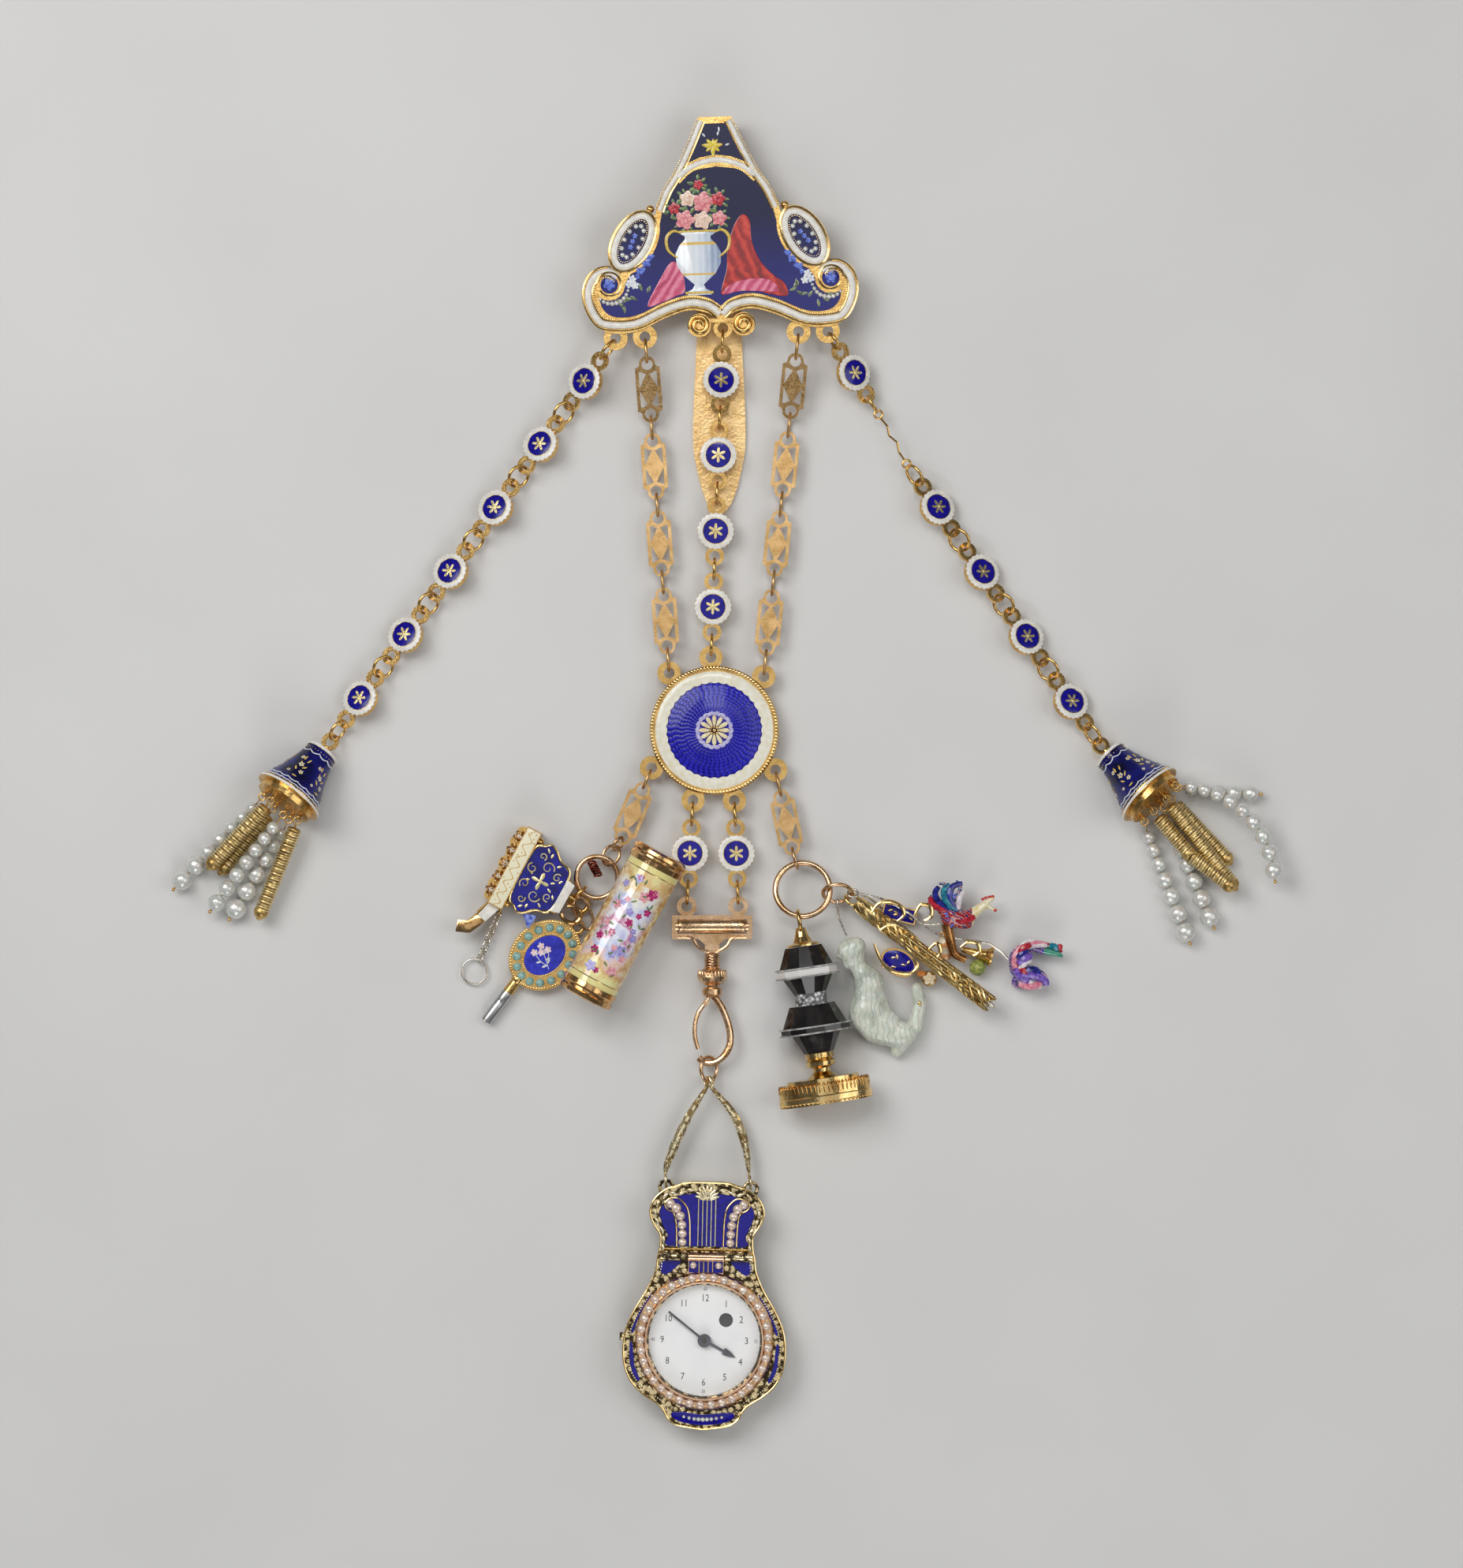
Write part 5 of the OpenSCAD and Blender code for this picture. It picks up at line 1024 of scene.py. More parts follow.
class CHATELAINE_OT_round_plate(bpy.types.Operator):
    """Dress the round plate: beaded rim, scalloped white ring, engine-turned blue and a rosette"""
    bl_idname = "chatelaine.round_plate"
    bl_label = "Round plate"

    def execute(self, context):
        rim = scatter(ball(0.37, 6, 4), [DISC @ at for at in circled(120, 13.85, 4.18)])
        keep(rim, "plate_beaded_rim", grain_gold())
        inner = moved(hoop(13.2, 0.16, 96, 6), shift(z=4.16))
        keep(inner, "plate_inner_line", grain_gold(), DISC)

        def scallop(angle):
            return 10.75 - 0.32 * abs(math.cos(angle * 18))

        ring = turned([(13.25, 3.82), (13.25, 4.1), (12.6, 4.42), (11.4, 4.48), (scallop, 4.46),
                       (scallop, 4.3)], 216, True)
        keep(ring, "plate_white_ring",
             finish("plate_ivory", enamel, (0.87, 0.84, 0.74), (0.78, 0.73, 0.55), 1.2), DISC,
             replaces=["disc_white"])
        self.blue()
        self.rosette()
        return {"FINISHED"}

    def blue(self):
        edge, low, rise = 10.6, 4.1, 1.5
        levels = [(edge, 3.82)] + [(radius, low + rise * (1 - (radius / edge) ** 2))
                                   for radius in (edge, 9.4, 8, 6.4, 4.6, 2.6, 0.02)]
        r = Recipe("engine_turned_blue")
        x, y = r.parts(r.place(DISC), "XY")
        reach = (x * x + y * y).root()
        angle = y.angle_to(x)
        rays = abs((angle * 24.0 + (reach * 2.4).sine() * 0.5).sine())
        rings = (reach * 9.0).sine() * 0.5 + 0.5
        glint = r.noise(r.place(DISC), 7, 2)
        tone = tuple(enamels().royal)
        level = rays * 0.45 + rings * 0.2 + glint * 0.5
        colour = r.ramp(level, (0.15, tuple(0.35 * c for c in tone)), (0.55, tone),
                        (0.95, (0.03, 0.03, 0.55)))
        cut = rays * 0.7 + rings * 0.3
        keep(turned(levels, 96), "plate_blue_dome",
             r.surface(colour, 0.2, 0.0, 0.2, r.bump(cut, 0.1), Coat_Roughness=0.06,
                       Specular_IOR_Level=0.3), DISC,
             replaces=["disc_blue"], angle=60)

    def rosette(self):
        def scallop(share):
            return lambda angle: share * (4.0 + 0.24 * abs(math.cos(angle * 9)))
        under = turned([(scallop(0.98), 5.36), (scallop(1), 5.6), (scallop(0.9), 5.68), (scallop(0.8), 5.56)],
                       108, True)
        keep(under, "rosette_outline",
             paint("lavender_paint", (0.6, 0.58, 0.78), (0.34, 0.3, 0.6)), DISC, replaces=["disc_rosette"])
        petal = ball(1, 10, 6, (1.35, 0.62, 0.3))
        shape_points(petal, lambda p: Vector((p.x, p.y * (0.75 + 0.35 * p.x / 1.35), p.z)))
        petals = scatter(petal, [DISC @ at for at in circled(12, 2.05, 5.7)])
        cream = finish("cream_enamel", enamel, (0.9, 0.82, 0.56), (0.78, 0.64, 0.36), 0.9)
        keep(petals, "rosette_petals", cream)
        heart = DISC @ shift(z=5.85)
        core = scatter(ball(0.3, 8, 6),
                       [heart @ at for at in circled(8, 0.82)] + [heart @ stretch(1.6, 1.6, 1.2)])
        keep(core, "rosette_heart", grain_gold())


BELL_LOW, BELL_TALL = 0.9, 11.6
BELL_NARROW, BELL_FLARE = 3.62, 3.92


class CHATELAINE_OT_tassel_bells(bpy.types.Operator):
    """Paint the tassel bells with bands, scallops and gold sprays"""
    bl_idname = "chatelaine.tassel_bells"
    bl_label = "Tassel bells"

    def execute(self, context):
        for side, place in BELLS.items():
            keep(self.skin(), side + "_bell_skin",
                 finish("bell_blue", enamel, (0.01, 0.012, 0.2), (0.003, 0.003, 0.03), 5.0), place,
                 replaces=[side + "_bell_enamel"], angle=60)
            top = turned([(3.5, 0.1), (3.84, 0.15), (3.84, 0.75), (3.5, 0.8)], 48, True)
            rim = turned([(7.5, 12.7), (7.98, 12.78), (7.98, 13.28), (7.5, 13.35)], 64, True)
            keep(join([top, rim]), side + "_bell_white_rims", ivory(), place)
            waves = wires([self.wave(*swing)
                           for swing in ((0.11, 10, 0.045), (0.88, 18, 0.028), (0.955, 26, 0.012))],
                          0.14, True, 1)
            keep(waves, side + "_bell_scallops", white_paint(), place)
            self.sprays(side, place)
            dots = scatter(ball(0.16, 6, 4), [place @ self.on_bell(0.06, 12 * i) for i in range(30)]
                           + [place @ self.on_bell(0.99, 6 * i) for i in range(60)])
            keep(dots, side + "_bell_grains", grain_gold())
        return {"FINISHED"}

    def radius(self, t):
        return BELL_NARROW + BELL_FLARE * t ** 1.35

    def skin(self):
        side = [(self.radius(i / 8), BELL_LOW + BELL_TALL * i / 8) for i in range(9)]
        return turned([(2.2, BELL_LOW)] + side + [(2.2, BELL_LOW + BELL_TALL)], 64)

    def on_bell(self, t, angle):
        """A place on the skin: t runs from 0 at the narrow end to 1 at the rim."""
        a = math.radians(angle)
        radius = self.radius(t) + 0.02
        slope = (self.radius(min(t + 0.05, 1)) - self.radius(max(t - 0.05, 0))) / (BELL_TALL * 0.1)
        out = Vector((math.cos(a), math.sin(a), -slope))
        return seat((radius * math.cos(a), radius * math.sin(a), BELL_LOW + BELL_TALL * t), out, (0, 0, 1))

    def wave(self, t, count, swing):
        line = []
        for i in range(count * 6):
            angle = 360 * i / (count * 6)
            line.append(self.on_bell(t + swing * abs(math.sin(math.radians(angle * count / 2))),
                                     angle).translation)
        return line

    def sprays(self, side, place):
        hearts, petals, leaves = [], [], []
        for i in range(6):
            around = 60 * i + 20
            for t, step, size in ((0.5, 0, 1.0), (0.34, 13, 0.75), (0.66, -12, 0.85), (0.74, 13, 0.6)):
                at = place @ self.on_bell(t, around + step)
                petals.append(at @ stretch(size, size, 1))
                hearts.append(at @ shift(z=0.06) @ stretch(size, size, 1))
            for t, turn, step in ((0.42, 20, 6), (0.42, 160, -8), (0.58, 40, 9), (0.58, 140, -7),
                                  (0.27, 0, 4), (0.8, 90, 0)):
                leaves.append(place @ self.on_bell(t, around + step) @ spin(turn))
        keep(scatter(floret(0.7, 5), petals), side + "_bell_flowers",
             paint("pale_gold_paint", (0.86, 0.8, 0.52), (0.66, 0.5, 0.24)))
        keep(scatter(ball(0.2, 6, 4, (1, 1, 0.6)), hearts), side + "_bell_hearts",
             sky_paint())
        keep(scatter(leaf(1.4, 0.42), leaves), side + "_bell_leaves", gold_paint())


CLIP_X = -1.6


class CHATELAINE_OT_clip(bpy.types.Operator):
    """Dress the clip: a barrel on its bar, ribbed neck and gadrooned collar"""
    bl_idname = "chatelaine.clip"
    bl_label = "Clip"

    def execute(self, context):
        barrel = turned([(0.6, 0), (1.45, 0.15), (1.6, 0.6), (1.5, 0.9), (1.5, 14.1), (1.6, 14.4),
                         (1.45, 14.85), (0.6, 15)], 32)
        keep(barrel, "clip_barrel", rose_gold(), shift(-9.1, -147.7, 4.4) @ spin(90, "Y"))
        rings = [moved(hoop(1.45, 0.3, 32, 8), shift(CLIP_X, -154.3 - 0.62 * i, 3.4) @ spin(90, "X"))
                 for i in range(5)]
        keep(join(rings), "clip_neck_rings", rose_gold())
        ribs = [shift(CLIP_X, -158.6, 3.4) @ spin(15 * i, "Y") @ shift(z=2.95) @ stretch(0.32, 1.2, 0.32)
                for i in range(24)]
        keep(scatter(ball(1, 8, 6), ribs), "clip_gadroons", rose_gold())
        arms = [smooth_line([(CLIP_X + side * x, y, 4.1) for x, y in (
            (7.6, -150.2), (4.6, -150.4), (3.2, -152.2), (1.2, -153.4), (0, -153.5))]) for side in (-1, 1)]
        keep(wires(arms, 0.42, sides=2), "clip_bracket", rose_gold())
        return {"FINISHED"}


class CHATELAINE_OT_tassel_coils(bpy.types.Operator):
    """Wind fine wire round the tassels' gold coils"""
    bl_idname = "chatelaine.tassel_coils"
    bl_label = "Tassel coils"

    def execute(self, context):
        coils = {"left": [(-78, 2.6, 227, 17, 4), (-14, 5.2, 230, 15, 0), (80, 4.6, 248, 19, 3.2)],
                 "right": [(34, 5.2, -47, 16, 0), (52, 2.6, -52, 21, 3.6)]}
        for side, strands in coils.items():
            runs = []
            for angle, radius, heading, length, lift in strands:
                start = self.start(side, angle, radius, heading, lift)
                fall = (1.8 + 0.7 * lift - start.z) / length
                runs.append((start, Vector((*self.way(heading), fall)), int(length / 0.95) * 0.95))
            if side == "right":
                start = self.start(side, -58, 2.2, -50, 3.8)
                first, second = (Vector((*self.way(h), 0)) for h in (-50, -38))
                runs += [(start, first, 9.5), (start + 10.1 * first + 1.1 * second, second, 9.5)]
            lines = [self.wind(*run) for run in runs]
            keep(wires(lines, 0.19, sides=2), side + "_coil_wires",
                 finish("wound_gold", worn_gold, (0.95, 0.82, 0.48), (0.78, 0.6, 0.28), 0.34, 0.01))
        return {"FINISHED"}

    def way(self, heading):
        return math.cos(math.radians(heading)), math.sin(math.radians(heading))

    def start(self, side, angle, radius, heading, lift):
        x, y = self.way(angle)
        base = BELLS[side] @ Vector((radius * x, radius * y, 15.45))
        along, across = self.way(heading)
        return Vector((base.x + 3 * along, base.y + 3 * across, 1.6 + lift))

    def wind(self, start, way, run):
        """One coil. Its wire lies just outside the ribs of the solid coil."""
        radius, pitch, per_turn = 1.52, 0.6, 12
        turn = seat(start, way, (0, 0, 1))
        steps = int(run / pitch) * per_turn
        angles = [math.radians(360 / per_turn * i) for i in range(steps + 1)]
        return [turn @ Vector((radius * math.cos(a), radius * math.sin(a), run * i / steps))
                for i, a in enumerate(angles)]


HEAD_LINE = [(0, 35), (4.4, 34.9), (6.6, 34.2), (9, 33.4), (11.6, 31.2), (12.6, 28.2), (11.6, 25.4),
             (10.2, 23.1), (10.3, 20), (10.7, 18.2), (11.1, 15.2), (12.8, 11.2), (15.6, 6.4), (17.4, 2.2),
             (17.9, -2.2), (17.5, -6), (16, -9.4), (13.4, -12), (10, -14.2), (8.6, -15.8), (7.6, -17.6),
             (5.4, -18.8), (0, -19.6)]
CASE_TOP = 6.9
HEAD_TOP = 7.05
DIAL_TOP = 6.26


class CHATELAINE_OT_watch(bpy.types.Operator):
    """Dress the watch: pearls, strings, palmette, chased edges and the dial's figures"""
    bl_idname = "chatelaine.watch"
    bl_label = "Watch"

    def execute(self, context):
        self.bezel()
        self.head()
        self.edges()
        self.dial()
        return {"FINISHED"}

    def bezel(self):
        count = beads().bezel_pearls
        radius = beads().bezel_pearl_r / MM
        pearls = [WATCH @ at for at in circled(count, 14.1, 8.42, 0.5)]
        keep(scatter(ball(radius, 14, 10, (1, 1, 0.8)), pearls), "bezel_pearls",
             finish("rosy_pearl", pearl_finish, (0.82, 0.66, 0.55)), body="bezel")
        rim = turned([(12.85, 8.3), (12.75, 8.72), (12.9, 8.95), (13.15, 8.95), (13.25, 8.6)], 96, True)
        keep(rim, "bezel_inner_rim",
             finish("pink_gold", worn_gold, (0.9, 0.62, 0.42), (0.7, 0.42, 0.25), 0.15), WATCH, body="bezel")
        prongs = [WATCH @ at for at in circled(count, 14.55, 8.6)]
        keep(scatter(ball(0.24, 6, 4), prongs), "bezel_prongs", grain_gold(), body="bezel")
        low = CASE_TOP + 0.98
        panel = plate([(-3.75, 15.1), (3.75, 15.1), (3.75, 17.6), (-3.75, 17.6)], low, low + 0.08)
        keep(panel, "hinge_panel", royal(), WATCH, body="bezel")
        strings = [[(x, 15.2, low + 0.14), (x, 17.5, low + 0.14)] for x in (-1.5, -0.5, 0.5, 1.5)]
        keep(wires(strings, 0.15, sides=1), "hinge_strings", grain_gold(), WATCH, body="bezel")
        pair = [WATCH @ shift(side * 2.8, 16.7, low + 0.35) @ stretch(0.75, 0.75, 0.6) for side in (-1, 1)]
        keep(scatter(ball(1, 14, 10), pair), "hinge_pearls", finish("rosy_pearl"), body="bezel")

    def head(self):
        sizes = ((5.1, 21.8, 0.95), (5.15, 23.7, 1.0), (5.3, 25.65, 1.02), (5.7, 27.6, 1.05),
                 (6.6, 29.3, 1.12), (7.9, 30.3, 1.05))
        pearls = [WATCH @ shift(side * (x + 0.2), y - 0.1, HEAD_TOP + 0.3) @ stretch(r, r, r * 0.8)
                  for x, y, r in sizes for side in (-1, 1)]
        keep(scatter(ball(1, 14, 10), pearls), "head_pearls", finish("rosy_pearl"))
        frames = [lifted([(side * x, y) for x, y in line], HEAD_TOP + 0.1) for side in (-1, 1) for line in (
            smooth_line([(3.7, 20.9), (3.75, 24), (3.9, 27), (4.6, 29.6), (6.6, 31.5), (8.4, 31.3)]),
            smooth_line([(6.6, 20.9), (6.7, 24), (6.9, 26.4), (7.5, 28.2), (8.9, 29), (9.4, 30.2),
                         (8.4, 31.3)]))]
        keep(wires(frames, 0.2, sides=2), "head_pearl_frames", grain_gold(), WATCH)
        strings = [[(x, 20.9, HEAD_TOP + 0.12), (x, 31.3, HEAD_TOP + 0.12)]
                   for x in (-1.9, -0.95, 0, 0.95, 1.9)]
        keep(wires(strings, 0.2, sides=1), "lyre_strings",
             finish("string_gold", worn_gold, (0.85, 0.8, 0.66), (0.6, 0.5, 0.34), 0.2), WATCH)
        lobes = []
        for i in range(9):
            angle = -72 + 18 * i
            length = 2.5 + 0.9 * math.cos(math.radians(angle))
            lobes.append(WATCH @ shift(0, 31.1, HEAD_TOP + 0.15) @ spin(90 + angle)
                         @ shift(length * 0.55) @ stretch(length * 0.5, 0.42, 0.3))
        fans = scatter(ball(1, 8, 6), lobes)
        keep(fans, "head_palmette",
             finish("pale_leaf_gold", worn_gold, (0.93, 0.84, 0.6), (0.7, 0.54, 0.28), 0.3))
        sprig = [WATCH @ shift(side * x, y, HEAD_TOP + 0.15) @ spin(turn if side > 0 else 180 - turn)
                 @ stretch(1.0, 0.4, 0.25)
                 for side in (-1, 1) for x, y, turn in (
                     (3.6, 33.3, 0), (5.5, 32.7, -20), (7.3, 32.4, 20), (9.3, 31.9, -50), (10.9, 30.2, -70),
                     (11.5, 28.2, -90), (11, 26.2, 70), (9.9, 24.3, 65), (9.5, 22.2, 90), (9.6, 20.4, 90))]
        keep(scatter(ball(1, 8, 6), sprig), "head_leaf_border", finish("pale_leaf_gold"))

    def edges(self):
        line = smooth_line(HEAD_LINE, 4)
        rims = [lifted(side, CASE_TOP + 0.02) for side in both(line)]
        keep(wires(rims, 0.24, sides=2), "case_rim", grain_gold(), WATCH)
        inner = [p for p in beside(line, 1.05) if -16 < p.y < 17.5]
        keep(grains(both(inner), CASE_TOP + 0.1, 0.22, 0.62), "case_beaded_line",
             finish("pale_leaf_gold"), WATCH)
        bar = wires([lifted([(-9.6, 20.15), (9.6, 20.15)], CASE_TOP + 0.15),
                     lifted([(-9.9, 19.2), (9.9, 19.2)], CASE_TOP + 0.15)], 0.32, sides=2)
        keep(bar, "case_cross_bar", gold(), WATCH)
        stripes = []
        for height, outline in (
                (0.12, [(5.4, 17.6), (9.6, 17.4), (10, 15.4), (8.6, 14.6)]),
                (0.1, [(12, 10.4), (14.6, 6.4), (16.2, 2), (15.7, 1.6), (14.4, 5.4), (12.2, 9.2)]),
                (0.1, [(16.5, -1), (16.2, -6), (14.8, -9), (14.2, -8.6), (15.4, -5.6), (15.9, -1)])):
            for side in (-1, 1):
                stripes.append(plate(smooth_line([(side * x, y) for x, y in outline], 3, True),
                                     CASE_TOP, CASE_TOP + height))
        foot = plate(smooth_line([(-7, -16.2), (-5.4, -17.9), (0, -18.7), (5.4, -17.9), (7, -16.2),
                                  (4.4, -15.9), (0, -16.4), (-4.4, -15.9)], 4, True), CASE_TOP,
                     CASE_TOP + 0.12, 0.1)
        keep(join(stripes + [foot]), "case_blue_panels", royal(), WATCH)
        seeds = [WATCH @ shift(x, -17.45 + 0.06 * x * x * 0.5, CASE_TOP + 0.25)
                 @ stretch(*(0.62 - 0.05 * abs(x),) * 3)
                 for x in (-4.2, -3, -1.9, -0.95, 0, 0.95, 1.9, 3, 4.2)]
        keep(scatter(ball(0.9, 8, 6), seeds), "foot_garland", pearl())

    def dial(self):
        """Print the plain numbers and the dots, set the winding square, and lay a shallow dark dish of
        painted shade where the winding hole is.
        """
        # One black serves the printed figures and the painted shade of the winding hole.
        print_and_hole_shade = finish("dial_ink", enamel, (0.03, 0.03, 0.035), (0.01, 0.01, 0.012), 2, 0.2, 0.4)
        figures = [(str(n), 9.35, 90 - 30 * n, 2.1875) for n in range(1, 13)]
        figures += [(str(n), 11.35, 90 - 6 * n, 1.0625) for n in (15, 30, 45, 60)]
        made = []
        for word, reach, angle, size in figures:
            free()
            bpy.ops.object.text_add()
            letters = bpy.context.object
            letters.data.body = word
            letters.data.size = size
            letters.data.align_x = "CENTER"
            letters.data.align_y = "CENTER"
            letters.data.resolution_u = 2
            letters.data.extrude = 0.01
            pick(letters)
            bpy.ops.object.convert(target="MESH")
            letters = bpy.context.object
            a = math.radians(angle)
            at = shift(reach * math.cos(a), reach * math.sin(a), DIAL_TOP + 0.01)
            made.append(moved(letters, at @ stretch(0.82, 1, 1)))
        track = 12
        dots = [shift(track * math.cos(a), track * math.sin(a), DIAL_TOP)
                for a in (math.radians(6 * i) for i in range(60))]
        made.append(scatter(turned([(0.07, 0), (0.07, 0.02)], 6), dots))
        keep(join(made), "dial_figures", print_and_hole_shade, WATCH)
        # Painted shade: the winding hole is not cut; a shallow black dish on the dial stands for the shade
        # inside it.
        winding = WATCH @ shift(4.7, 4.6)
        hole_shade = turned([(1.55, DIAL_TOP), (1.5, 6.32), (0.9, 6.3), (0.02, 6.28)], 32)
        keep(hole_shade, "winding_hole_shade", print_and_hole_shade, winding)
        post = turned([(0.5, 5.7), (0.5, 6.3), (0.36, 6.4)], 4)
        keep(post, "winding_post", finish("grey_steel"), winding)


ETUI_R = 6.1
ETUI_LOW, ETUI_HIGH = 3.56, 32.84
ETUI_LINES = (ETUI_LOW + 1.5, ETUI_HIGH - 1.4)


class CHATELAINE_OT_painted_case(bpy.types.Operator):
    """Paint the cylinder case with a soft garden and a garland"""
    bl_idname = "chatelaine.painted_case"
    bl_label = "Painted cylinder"

    def execute(self, context):
        side = [(ETUI_R, z) for z in (ETUI_LOW, ETUI_LOW + 0.8, (ETUI_LOW + ETUI_HIGH) / 2, ETUI_HIGH - 0.8,
                                      ETUI_HIGH)]
        body = turned([(5.6, ETUI_LOW)] + side + [(5.6, ETUI_HIGH)], 72)
        keep(body, "painted_cylinder", self.garden(), ETUI, replaces=["etui_body"],
             angle=60)
        lines = [moved(hoop(ETUI_R, 0.12, 64, 6), shift(z=height)) for height in ETUI_LINES]
        keep(join(lines), "cylinder_gold_lines", grain_gold(), ETUI)
        self.garland()
        return {"FINISHED"}

    def garden(self):
        r = Recipe("garden_painting")
        where = r.place(ETUI)
        y, z = r.parts(where, "YZ")
        warp = r.noise(where, 4.5, 5, 0.6) * 22.0 - 11.0
        level = r.limits(z + warp, ETUI_LOW, ETUI_HIGH)
        centre = r.ramp(level, (0.02, (0.86, 0.76, 0.36)), (0.14, (0.78, 0.5, 0.2)), (0.24, (0.9, 0.88, 0.8)),
                        (0.36, (0.56, 0.6, 0.86)), (0.46, (0.92, 0.92, 0.94)), (0.54, (0.6, 0.2, 0.36)),
                        (0.6, (0.86, 0.86, 0.92)), (0.68, (0.54, 0.6, 0.88)), (0.77, (0.9, 0.66, 0.6)),
                        (0.86, (0.78, 0.48, 0.2)), (0.95, (0.9, 0.84, 0.4)))
        brush = r.noise(where, 1.6, 5, 0.65)
        bank = r.ramp(brush, (0.36, (0.44, 0.2, 0.04)), (0.5, (0.72, 0.44, 0.16)), (0.62, (0.86, 0.78, 0.42)))
        sides = r.limits(abs(y + r.noise(where, 5) * 6.0 - 3.0), 3.6, 5.8)
        painted = r.mix(sides, centre, bank)
        edges = (z < ETUI_LINES[0]) + (z > ETUI_LINES[1])
        colour = r.mix(edges, painted, (0.84, 0.74, 0.3))
        return r.surface(colour, 0.1, 0.0, 0.8, Coat_Roughness=0.03)

    def on_case(self, height, angle, lift=0.02):
        a = math.radians(angle)
        out = Vector((math.cos(a), math.sin(a), 0))
        return ETUI @ seat(out * (ETUI_R + lift) + Vector((0, 0, height)), out, (0, 0, 1))

    def garland(self):
        groups = {"magenta": ((0.62, 0.06, 0.22), (0.3, 0.01, 0.1), 3),
                  "blush": ((0.88, 0.5, 0.5), (0.7, 0.22, 0.3), 5),
                  "lilac": ((0.5, 0.46, 0.8), (0.24, 0.2, 0.55), 7)}
        spread = random.Random(8)
        for name, (light, dark, seed) in groups.items():
            made = []
            for i in range(9):
                t = i / 8
                height = 7.5 + 21 * t + spread.uniform(-1.2, 1.2)
                angle = 180 + 34 * math.sin(6.3 * t + seed) + spread.uniform(-9, 9)
                size = spread.uniform(0.7, 1.4)
                made.append(self.on_case(height, angle, 0.01) @ spin(spread.uniform(0, 90))
                            @ stretch(size, size, 0.6))
            keep(scatter(floret(1.0, 5, 0.07), made), "case_" + name + "_flowers",
                 paint(name + "_paint", light, dark), angle=15)
        leaves = [self.on_case(6.5 + 22 * i / 25, 180 + 38 * math.sin(0.93 * i)) @ spin(70 * i)
                  for i in range(26)]
        keep(scatter(leaf(1.5, 0.5), leaves), "case_leaves", green_paint())


JUG_TOP = 6.0
JUG_STRIP = [shift(-5.5, -6.6 + 3.3 * i) for i in range(5)]


